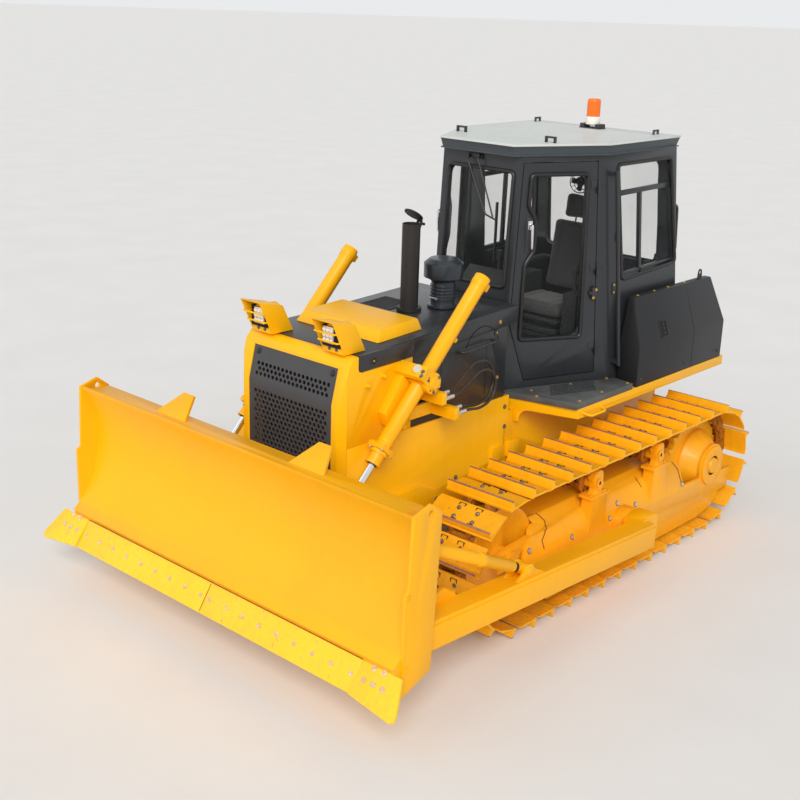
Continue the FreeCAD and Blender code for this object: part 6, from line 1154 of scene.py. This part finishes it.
class DOZER_OT_cylinders(bpy.types.Operator):
    """Add the bolts, rings and fittings of the lift cylinders"""
    bl_idname = "dozer.cylinders"
    bl_label = "Lift cylinders"

    def execute(self, context):
        along = Vector((1.805 - 1.031, 0, 0.807 - 1.6)).normalized()
        across = Vector((0, 1, 0))
        matrix = Matrix((along, across, along.cross(across))).transposed().to_4x4()
        matrix.translation = (1.031, 0.57, 1.6)

        def at(x, y, z):
            return matrix @ Vector((x, y, z))

        for side, way in SIDES:
            rings, silver, dark = bmesh.new(), bmesh.new(), bmesh.new()
            for x, outer in ((-0.735, 0.0535), (-0.700, 0.050), (0.440, 0.0495)):
                add_ring(rings, at(x, 0, 0), along, 0.046, outer, 0.010, 40)
            add_ring(rings, at(0.588, 0, 0), along, 0.030, 0.0475, 0.013, 40)
            add_ring(rings, at(0.512, 0, 0), along, 0.044, 0.054, 0.020, 40)
            add_ring(dark, at(0.600, 0, 0), along, 0.0235, 0.031, 0.004)
            for y in (-0.047, 0.047):
                for z in (-0.047, 0.047):
                    add_bolt(silver, at(0.51, y, z), along, 0.0105)
                    add_bolt(rings, at(0.48, y, z), -along, 0.010, washer=False)
            for x in (-0.340, 0.294):
                for y in (-0.009, 0.009):
                    add_bolt(silver, at(x, y, -0.0765), (-0.7156, 0, -0.6985), 0.006)
            for z in (-0.030, 0.030):
                add_bolt(silver, at(0.040, 0.0535, z), across, 0.009)
            for bm, name, finish in ((rings, "cylinder_rings_", "Yellow enamel"),
                                     (silver, "cylinder_bolts_", "Pale bolt"),
                                     (dark, "rod_wiper_", "Seal rubber")):
                to_side(bm, way)
                finish_piece(name + side, bm, finish, "lift_cylinder_" + side)
        yoke, silver, red, steel = (bmesh.new() for _ in range(4))
        outer = 0.57 + 0.0935
        add_lathe(yoke, (1.031, outer - 0.001, 1.6), (0, 1, 0),
                  ((0, 0), (0.044, 0), (0.044, 0.007), (0.036, 0.011), (0.034, 0.018),
                   (0, 0.018)), 8)
        for turn in range(6):
            angle = math.radians(30 + turn * 60)
            spot = Vector((1.031 + 0.056 * math.cos(angle), outer, 1.6 + 0.056 * math.sin(angle)))
            add_bolt(yoke if turn % 2 else steel, spot, (0, 1, 0), 0.008)
        for spot in ((1.074, 1.645), (1.060, 1.560), (0.992, 1.560)):
            add_box(red, (spot[0] - 0.005, outer - 0.001, spot[1] - 0.005),
                    (spot[0] + 0.005, outer + 0.0015, spot[1] + 0.005), None, 0.001)
        add_lathe(yoke, (1.113, 0.604, 1.690), (0.7156, 0.35, 0.6985),
                  ((0, -0.02), (0.034, -0.02), (0.034, 0.006), (0.029, 0.011), (0, 0.011)), 24)
        add_rod(silver, Vector((1.113, 0.604, 1.690)) + Vector((0.68, 0.333, 0.664)) * 0.010,
                Vector((1.113, 0.604, 1.690)) + Vector((0.68, 0.333, 0.664)) * 0.013, 0.023)
        bolts_on(steel, "cylinder_yoke_left",
                 [(1.55, 0.650, 2.11), (1.57, 0.655, 2.09)], (-0.7156, 0, -0.6985), 0.010)
        # Hose ferrules
        for x, y, z in ((0.904, 0.600, 1.488), (0.904, 0.640, 1.470), (0.778, 0.600, 1.366),
                        (0.778, 0.640, 1.346)):
            add_rod(silver, (x - 0.086, y, z), (x - 0.030, y, z), 0.0142, sides=24)
            add_rod(silver, (x - 0.031, y, z), (x - 0.012, y, z), 0.0165, sides=6)
            add_ring(silver, (x - 0.088, y, z), (1, 0, 0), 0.0095, 0.0142, 0.004, 24)
        for bm, name, finish in ((yoke, "yoke_caps", "Yellow enamel"),
                                 (silver, "hose_ferrules", "Silver fitting"),
                                 (red, "bolt_marks", "Red mark"),
                                 (steel, "yoke_bolts", "Bolt steel")):
            mirrored(bm)
            finish_piece(name, bm, finish)
        return {"FINISHED"}


class DOZER_OT_blade(bpy.types.Operator):
    """Add the bolts, joints and small plates of the blade and its arms"""
    bl_idname = "dozer.blade"
    bl_label = "Blade fittings"

    def execute(self, context):
        pale, shade, plates, dark = (bmesh.new() for _ in range(4))
        edge = Vector((0.837, 0, 0.5476))
        for y in (0.040, 0.188, 0.335, 0.480, 0.625, 0.770, 0.915, 1.062, 1.210):
            spot = Vector((2.255, y, 0.381))
            bolts_on(pale, "cutting_edges", [spot + edge * 0.2], -edge, 0.0145, "disc")
        for x, y, z in ((2.212, 1.340, 0.450), (2.212, 1.408, 0.450), (2.262, 1.310, 0.390),
                        (2.262, 1.378, 0.390), (2.262, 1.443, 0.390)):
            bolts_on(pale, "cutting_edges", [Vector((x, y, z)) + edge * 0.2], -edge, 0.017, "disc")
        mirrored(pale)
        finish_piece("edge_bolts", pale, "Pale bolt", "blade")
        top, normal = landing("cutting_edges", Vector((2.206, 0.003, 0.450)) + edge * 0.2, -edge)
        low, normal = landing("cutting_edges", Vector((2.300, 0.003, 0.312)) + edge * 0.2, -edge)
        add_tube(shade, [top, low], 0.0022)
        add_tube(shade, [(2.2035, -1.245, 0.4625), (2.2035, 1.245, 0.4625)], 0.0032)
        finish_piece("edge_joints", shade, "Joint shade", "blade")
        for low, high in (((2.096, 1.452, 0.862), (2.130, 1.4775, 0.880)),
                          ((2.098, 1.452, 0.428), (2.122, 1.4775, 0.462))):
            add_box(plates, low, high, None, 0.004)
        add_tube(plates, [(2.105, 1.4692, 0.862), (2.078, 1.4692, 0.80), (1.929, 1.4692, 0.523)],
                 0.0022)
        # Plate with a boss between each arm and the blade's beam
        add_box(plates, (1.470, 1.165, 0.590), (1.760, 1.262, 0.606), None, 0.003)
        add_ring(plates, (1.567, 1.214, 0.605), (0, 0, 1), 0.018, 0.036, 0.010)
        # Painted shade: near-black disc in the boss's hole.
        add_rod(dark, (1.567, 1.214, 0.603), (1.567, 1.214, 0.609), 0.019)
        mirrored(plates)
        mirrored(dark)
        brace = (Vector((1.890, 1.345, 1.045)) - Vector((0.961, 1.345, 0.602))).normalized()
        foot = Vector((0.961, 1.345, 0.602))
        add_rod(dark, foot + brace * 0.082, foot + brace * 0.119, 0.030, sides=28)
        for turn in range(5):
            add_ring(dark, foot + brace * (0.084 + turn * 0.007), brace, 0.028, 0.0325, 0.003, 28)
        finish_piece("blade_lugs", plates, "Blade enamel", "blade")
        finish_piece("brace_thread_and_boss_shade", dark, "Seal rubber", "blade")
        return {"FINISHED"}


class DOZER_OT_undercarriage(bpy.types.Operator):
    """Add the bolts, seams and rings of the track frames"""
    bl_idname = "dozer.undercarriage"
    bl_label = "Track frame fittings"

    def execute(self, context):
        silver, washers, yellow, seams, dark = (bmesh.new() for _ in range(5))
        slope, rise = Vector((0, 0.95, 0.33)), Vector((0, 0.14, 0.14))
        for x, y, z in ((0.109, 1.120, 0.461), (-0.333, 1.121, 0.459), (-0.657, 1.118, 0.466),
                        (-1.278, 1.125, 0.447), (-0.450, 1.097, 0.529), (0.560, 1.10, 0.50)):
            place, normal = landing("track_frame_left", Vector((x, y, z)) + slope * 0.2, -slope)
            add_rod(washers, place - normal * 0.001, place + normal * 0.002, 0.019)
            add_bolt(silver, place + normal * 0.001, normal, 0.0115)
        for x in (-0.165, -0.930):
            for dx in (-0.078, 0.078):
                bolts_on(yellow, "track_frame_left", [(x + dx, 1.112, 0.78)], (0, 0, -1), 0.011)
            for y, z in ((1.070, 0.800), (1.100, 0.790)):
                bolts_on(yellow, "track_frame_left", [(x + 0.25, y, z)], (-1, 0, 0), 0.011)
            add_ring(yellow, (x + 0.014, 1.129, 0.771), (0, 1, 0), 0.014, 0.031, 0.006)
            # Painted shade: near-black disc in the ring's hole and near-black rings in the grooves.
            add_rod(dark, (x + 0.014, 1.128, 0.771), (x + 0.014, 1.132, 0.771), 0.015)
            add_ring(dark, (x, 0.975, 0.764), (0, 1, 0), 0.070, 0.0782, 0.014)
            add_ring(dark, (x, 0.875, 0.764), (0, 1, 0), 0.070, 0.0782, 0.014)
        seams_at = (((0.345, 0.950, 0.653), (0.322, 0.989, 0.642), (0.305, 1.031, 0.608),
                     (0.345, 1.063, 0.571), (0.420, 1.099, 0.530), (0.414, 1.123, 0.459)),
                    ((-1.254, 1.036, 0.602), (-1.264, 1.103, 0.514), (-1.271, 1.124, 0.455)),
                    ((-0.772, 1.026, 0.611), (-0.762, 1.095, 0.533)))
        for route in seams_at:
            spots = []
            for start, end in zip(route, route[1:]):
                for step in range(5):
                    spot = Vector(start).lerp(Vector(end), step / 5)
                    place, normal = landing("track_frame_left", spot + rise, -rise)
                    spots.append(place + normal * 0.001)
            add_tube(seams, spots, 0.0036, 0.002)
        hub = (-1.692, 1.3, 0.488)
        place, normal = landing("final_drive_left", (hub[0] + 0.075, hub[1], hub[2]), (0, -1, 0))
        # Painted shade: near-black ring in the groove round the hub.
        add_ring(dark, (hub[0] + 0.004, place.y - 0.001, hub[2]), (0, 1, 0), 0.060, 0.077, 0.003, 40)
        bolts_on(yellow, "final_drive_left", [(-1.692 + 0.11 * math.cos(math.radians(a)), 1.3,
                                               0.488 + 0.11 * math.sin(math.radians(a)))
                                              for a in (18, 90, 162, 234, 306)], (0, -1, 0), 0.010)
        for bm, name, finish in ((silver, "frame_bolts", "Shiny bolt"),
                                 (washers, "frame_washers", "Seal rubber"),
                                 (yellow, "pillar_bolts", "Track enamel"),
                                 (seams, "cover_seams", "Joint shade"),
                                 (dark, "dark_grooves", "Dark opening")):
            mirrored(bm)
            finish_piece(name, bm, finish)
        return {"FINISHED"}


class DOZER_OT_platform(bpy.types.Operator):
    """Add the tread's ribs and bolts, the box latch and the hull's bolts"""
    bl_idname = "dozer.platform"
    bl_label = "Steps and boxes"

    def execute(self, context):
        ribs, brass = bmesh.new(), bmesh.new()
        first, across, along = Vector((-0.235, 0.640)), Vector((-0.150, -0.115)), Vector((-0.32, 0.13))
        turn = math.atan2(along.y, along.x)
        for row in range(17):
            for column in range(5):
                middle = first + along * (row / 16) + across * (column / 4) + along * 0.01 * (column % 2)
                matrix = Matrix.Translation((middle.x, middle.y, 1.2445)) @ Matrix.Rotation(
                    turn + math.radians(90), 4, "Z")
                add_box(ribs, (-0.014, -0.0035, 0), (0.014, 0.0035, 0.0045), matrix, 0.0015)
        bolts_on(brass, "tread_plate_left", [(x, y, 1.4) for x, y in (
            (-0.214, 0.483), (-0.137, 0.586), (-0.532, 0.584), (-0.547, 0.835), (-0.856, 0.843),
            (-0.264, 0.846), (-0.842, 0.679))], (0, 0, -1), 0.0105)
        mirrored(ribs)
        mirrored(brass)
        finish_piece("tread_ribs", ribs, "Cleaner enamel")
        finish_piece("tread_bolts", brass, "Brass bolt")
        box = Wall((-0.937, 0.870, 1.49), (-2.137, 0.870, 1.49), (-0.937, 0.754, 1.82), (0, 1, 0.3))
        frame_bm, dark, rivets = bmesh.new(), bmesh.new(), bmesh.new()
        low, high = box.up(1.512), box.up(1.622)
        for start, end in (((0.302, low), (0.390, low)), ((0.302, high), (0.390, high)),
                           ((0.302, low), (0.302, high)), ((0.390, low), (0.390, high))):
            add_bar(frame_bm, box, box.matrix @ Vector((*start, 0)), box.matrix @ Vector((*end, 0)),
                    0.008, -0.001, 0.004)
        # Painted shade: near-black inside the latch frame and along the lid seams.
        add_box(dark, (0.306, low + 0.004, -0.001), (0.386, high - 0.004, 0.0012), box.matrix)
        for share in (0.22, 0.5, 0.78):
            middle = low + (high - low) * share
            add_box(frame_bm, (0.334, middle - 0.009, 0.001), (0.358, middle + 0.009, 0.005),
                    box.matrix, 0.002)
        add_box(dark, (0.751, 0.002, -0.001), (0.754, box.up(1.815), 0.0008), box.matrix)
        add_box(dark, (-1.691, 0.8695, 1.215), (-1.688, 0.8708, 1.488))
        for x in (-1.592, -0.988, -2.09):
            add_dome(rivets, (x, 0.870, 1.252), (0, 1, 0), 0.013, 0.4)
        for bm, name, finish in ((frame_bm, "box_latches", "Box enamel"),
                                 (dark, "box_seams", "Dark opening"),
                                 (rivets, "box_rivets", "Cab plastic")):
            mirrored(bm)
            finish_piece(name, bm, finish)
        steel, seam = bmesh.new(), bmesh.new()
        bolts_on(steel, "main_frame", [(x, 0.7, z) for x, z in (
            (0.033, 1.176), (0.024, 1.033), (0.522, 0.799), (0.743, 0.718), (1.120, 0.775))],
            (0, -1, 0), 0.0125)
        add_box(seam, (0.0185, 0.4495, 0.835), (0.0215, 0.4506, 1.030))
        mirrored(steel)
        mirrored(seam)
        finish_piece("hull_bolts", steel, "Bolt steel")
        finish_piece("hull_seam", seam, "Joint shade")
        self.tank()
        return {"FINISHED"}

    def tank(self):
        """Filler cap, tail lamps and hand hold of the rear tank."""
        cap, lamps, rail = bmesh.new(), bmesh.new(), bmesh.new()
        add_lathe(cap, (-1.93, 0.36, 1.6895), (0, 0, 1),
                  ((0, 0), (0.060, 0), (0.060, 0.020), (0.050, 0.024), (0.050, 0.046),
                   (0.044, 0.052), (0, 0.052)), 24)
        for y in (-0.52, 0.52):
            add_box(cap, (-2.150, y - 0.065, 1.44), (-2.136, y + 0.065, 1.52), None, 0.004)
            add_box(lamps, (-2.158, y - 0.052, 1.452), (-2.148, y + 0.052, 1.508), None, 0.005)
        add_tube(rail, [(-2.130, -0.18, 1.40), (-2.185, -0.18, 1.40), (-2.185, 0.18, 1.40),
                        (-2.130, 0.18, 1.40)], 0.011, 0.03)
        finish_piece("tank_cap", cap, "Black enamel")
        finish_piece("tail_lamps", lamps, "Red mark")
        finish_piece("tank_rail", rail, "Black enamel")


class DOZER_OT_seat(bpy.types.Operator):
    """Add the padded driver's seat"""
    bl_idname = "dozer.seat"
    bl_label = "Seat"

    def execute(self, context):
        lean = frame_matrix((-1.300, 0, 1.700), (-0.168, 0, 1), (1, 0, 0))
        self.pad("seat_cushion", (-1.235, -0.235, 1.592), (-0.835, 0.235, 1.676), None, 0.035)
        self.pad("seat_back", (-0.038, -0.225, 0.0), (0.036, 0.225, 0.520), lean, 0.034)
        self.pad("head_rest", (-0.034, -0.150, 0.536), (0.034, 0.150, 0.715), lean, 0.030)
        base = bmesh.new()
        for index in range(5):
            grow = 0.012 * (index % 2)
            add_box(base, (-1.24 - grow, -0.17 - grow, 1.29 + index * 0.05),
                    (-0.90 + grow, 0.17 + grow, 1.338 + index * 0.05), None, 0.010)
        add_box(base, (-1.29, -0.20, 1.240), (-0.87, 0.20, 1.292), None, 0.008)
        add_box(base, (-1.27, -0.215, 1.536), (-0.85, 0.215, 1.566), None, 0.010)
        for y in (-0.240, 0.240):
            add_tube(base, [(-1.34, y, 1.90), (-1.26, y, 1.92), (-0.98, y, 1.91)], 0.024, 0.04, 5)
        for y in (-0.05, 0.05):
            add_rod(base, lean @ Vector((0, y, 0.50)), lean @ Vector((0, y, 0.58)), 0.006)
        finish_piece("seat_base", base, "Cab plastic", replaces=("seat",))
        self.fan()
        return {"FINISHED"}

    def fan(self):
        """Round fan that hangs from the cab's ceiling."""
        bm = bmesh.new()
        middle, ahead = Vector((-0.97, 0.25, 2.57)), Vector((0.75, 0.55, -0.10)).normalized()
        for offset, radius in ((0.0, 0.078), (0.030, 0.074), (0.036, 0.048), (0.038, 0.022)):
            add_ring(bm, middle + ahead * offset, ahead, radius - 0.004, radius, 0.004, 28)
        add_lathe(bm, middle - ahead * 0.040, ahead,
                  ((0, 0), (0.024, 0), (0.030, 0.010), (0.030, 0.036), (0.014, 0.052), (0, 0.054)), 20)
        frame_here = frame_matrix(middle, ahead)
        for turn in range(12):
            spin = frame_here @ Matrix.Rotation(math.radians(turn * 30), 4, "Z")
            add_box(bm, (0.012, -0.0012, 0.036), (0.075, 0.0012, 0.0384), spin)
            if turn % 3 == 0:
                blade = spin @ Matrix.Rotation(math.radians(32), 4, "X")
                add_box(bm, (0.010, -0.019, -0.001), (0.064, 0.019, 0.001), blade)
        add_rod(bm, middle + Vector((0, 0, 0.07)), (middle.x, middle.y, 2.822), 0.009)
        add_rod(bm, (middle.x, middle.y, 2.800), (middle.x, middle.y, 2.822), 0.030)
        finish_piece("cab_fan", bm, "Cab plastic")

    def pad(self, name, low, high, matrix, bevel):
        """Cushion that a cloth simulation swells from a block with rounded edges."""
        bm = bmesh.new()
        add_box(bm, low, high, matrix, bevel)
        bmesh.ops.subdivide_edges(bm, edges=bm.edges, cuts=2, use_grid_fill=True)
        mesh = bpy.data.meshes.new(name)
        bm.to_mesh(mesh)
        bm.free()
        piece = bpy.data.objects.new(name, mesh)
        bpy.context.scene.collection.objects.link(piece)
        voxels = piece.modifiers.new("Even mesh", "REMESH")
        voxels.mode = "VOXEL"
        voxels.voxel_size = 0.0085
        self.keep(piece)
        start = [vert.co.copy() for vert in piece.data.vertices]
        cloth_settings = piece.modifiers.new("Filling", "CLOTH").settings
        cloth_settings.use_pressure = True
        cloth_settings.uniform_pressure_force = 4
        cloth_settings.effector_weights.gravity = 0
        for step in range(1, 16):
            bpy.context.scene.frame_set(step)
        self.keep(piece)
        bpy.context.scene.frame_set(1)
        for vert, place in zip(piece.data.vertices, start):
            move = vert.co - place
            if move.length > 0.010:
                vert.co = place + move.normalized() * 0.010
        piece.data.shade_smooth()
        self.seams(piece, low, high, matrix)
        piece.data.materials.clear()
        piece.data.materials.append(bpy.data.materials["Seat cloth"])
        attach(piece, "root")
        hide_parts("seat")

    def seams(self, piece, low, high, matrix):
        """Sewn channels pressed into the pad beside its middle panel."""
        middle = (Vector(low) + Vector(high)) / 2
        inverse = matrix.inverted() if matrix is not None else Matrix.Identity(4)
        forward = matrix.to_3x3() @ Vector((1, 0, 0)) if matrix is not None else Vector((0, 0, 1))
        half = (high[1] - low[1]) / 2
        for vert in piece.data.vertices:
            spot = inverse @ vert.co - middle
            face = spot.x if matrix is not None else spot.z
            if face < 0.01:
                continue
            for line in (-half * 0.56, half * 0.56):
                near = 1 - min(1.0, abs(spot.y - line) / 0.016)
                vert.co -= forward * 0.006 * near * near * (3 - 2 * near)

    def keep(self, piece):
        """Apply the modifiers of a piece."""
        graph = bpy.context.evaluated_depsgraph_get()
        mesh = bpy.data.meshes.new_from_object(piece.evaluated_get(graph))
        piece.modifiers.clear()
        old, piece.data = piece.data, mesh
        bpy.data.meshes.remove(old)


class DOZER_OT_stage(bpy.types.Operator):
    """Add the floor, the soft light and the camera of the photograph's view"""
    bl_idname = "dozer.stage"
    bl_label = "Stage"

    def execute(self, context):
        scene = context.scene
        bm = bmesh.new()
        bmesh.ops.create_grid(bm, x_segments=1, y_segments=1, size=400)
        mesh = bpy.data.meshes.new("floor")
        bm.to_mesh(mesh)
        bm.free()
        g, shader, links = new_material("Pale floor")
        place = g.add("ShaderNodeTexCoord").outputs["Object"]
        tone = g.ramp(g.noise(place, 1.2, 3.0), 0.3, 0.7, 0.84, 0.87)
        grey = g.add("ShaderNodeCombineColor", {"Red": tone, "Green": tone, "Blue": tone})
        links.new(grey.outputs[0], shader.inputs["Base Color"])
        shader.inputs["Roughness"].default_value = 0.8
        shader.inputs["Specular IOR Level"].default_value = 0.2
        mesh.materials.append(bpy.data.materials["Pale floor"])
        floor = bpy.data.objects.new("floor", mesh)
        scene.collection.objects.link(floor)
        self.light(scene)
        self.camera(scene)
        scene.view_settings.view_transform = "Standard"
        return {"FINISHED"}

    def light(self, scene):
        world = bpy.data.worlds.new("Soft sky")
        scene.world = world
        world.use_nodes = True
        g = Graph(world.node_tree)
        back = world.node_tree.nodes["Background"]
        seen = g.add("ShaderNodeLightPath")
        mask = g.maths("MAXIMUM", seen.outputs["Is Camera Ray"], seen.outputs["Is Glossy Ray"])
        mask = g.maths("MAXIMUM", mask, seen.outputs["Is Transmission Ray"])
        world.node_tree.links.new(g.ramp(mask, 0.0, 1.0, 0.42, 0.84), back.inputs["Strength"])
        back.inputs["Color"].default_value = (0.97, 0.985, 1.0, 1)
        for name, energy, angle, place in (("Key", 2.25, 30, (1.6, 1.4, 1.4)),
                                           ("Fill", 0.55, 70, (1.4, -1.0, 1.0))):
            lamp = bpy.data.lights.new(name, "SUN")
            lamp.energy = energy
            lamp.angle = math.radians(angle)
            lamp.color = (1.0, 0.97, 0.92)
            holder = bpy.data.objects.new(name, lamp)
            holder.rotation_euler = Vector(place).to_track_quat("Z", "Y").to_euler()
            scene.collection.objects.link(holder)

    def camera(self, scene):
        """Camera found from the machine's own lines in the photograph."""
        azimuth, height, roll = (math.radians(a) for a in (41.9064, 18.2557, 1.8408))
        back = Vector((math.cos(azimuth) * math.cos(height), math.sin(azimuth) * math.cos(height),
                       math.sin(height)))
        right = (-back).cross(Vector((0, 0, 1))).normalized()
        up = right.cross(-back)
        turned_right = right * math.cos(roll) + up * math.sin(roll)
        turned_up = up * math.cos(roll) - right * math.sin(roll)
        matrix = Matrix((turned_right, turned_up, back)).transposed().to_4x4()
        matrix.translation = (6.399, 5.2156, 3.8111)
        camera = bpy.data.cameras.new("Camera")
        camera.sensor_width = 36
        camera.lens = 1239.302 / 800 * 36
        camera.clip_end = 200
        holder = bpy.data.objects.new("Camera", camera)
        holder.matrix_world = matrix
        scene.collection.objects.link(holder)
        scene.camera = holder


class DOZER_PT_looks(bpy.types.Panel):
    """Sizes, colours and steps of the bulldozer"""
    bl_label = "Bulldozer"
    bl_idname = "DOZER_PT_looks"
    bl_space_type = "VIEW_3D"
    bl_region_type = "UI"
    bl_category = "Bulldozer"

    def draw(self, context):
        for group in (context.scene.dozer_finish, context.scene.dozer_track,
                      context.scene.dozer_bolts):
            for key in group.__annotations__:
                self.layout.prop(group, key)
        for operator in OPERATORS:
            self.layout.operator(operator.bl_idname)


GROUPS = (("dozer_finish", DOZER_PG_finish), ("dozer_track", DOZER_PG_track),
          ("dozer_bolts", DOZER_PG_bolts))
OPERATORS = (DOZER_OT_finishes, DOZER_OT_stage, DOZER_OT_hoses, DOZER_OT_nodes, DOZER_OT_tracks,
             DOZER_OT_windows, DOZER_OT_doors, DOZER_OT_roof, DOZER_OT_lamps, DOZER_OT_front,
             DOZER_OT_cylinders, DOZER_OT_blade, DOZER_OT_undercarriage, DOZER_OT_platform,
             DOZER_OT_seat)


def register():
    for name, group in GROUPS:
        bpy.utils.register_class(group)
        setattr(bpy.types.Scene, name, PointerProperty(type=group))
    for item in OPERATORS + (DOZER_PT_looks,):
        bpy.utils.register_class(item)


def unregister():
    for item in (DOZER_PT_looks,) + OPERATORS[::-1]:
        bpy.utils.unregister_class(item)
    for name, group in GROUPS[::-1]:
        delattr(bpy.types.Scene, name)
        bpy.utils.unregister_class(group)


def main():
    register()
    for operator in OPERATORS:
        family, name = operator.bl_idname.split(".")
        getattr(getattr(bpy.ops, family), name)()


if __name__ == "__main__":
    main()
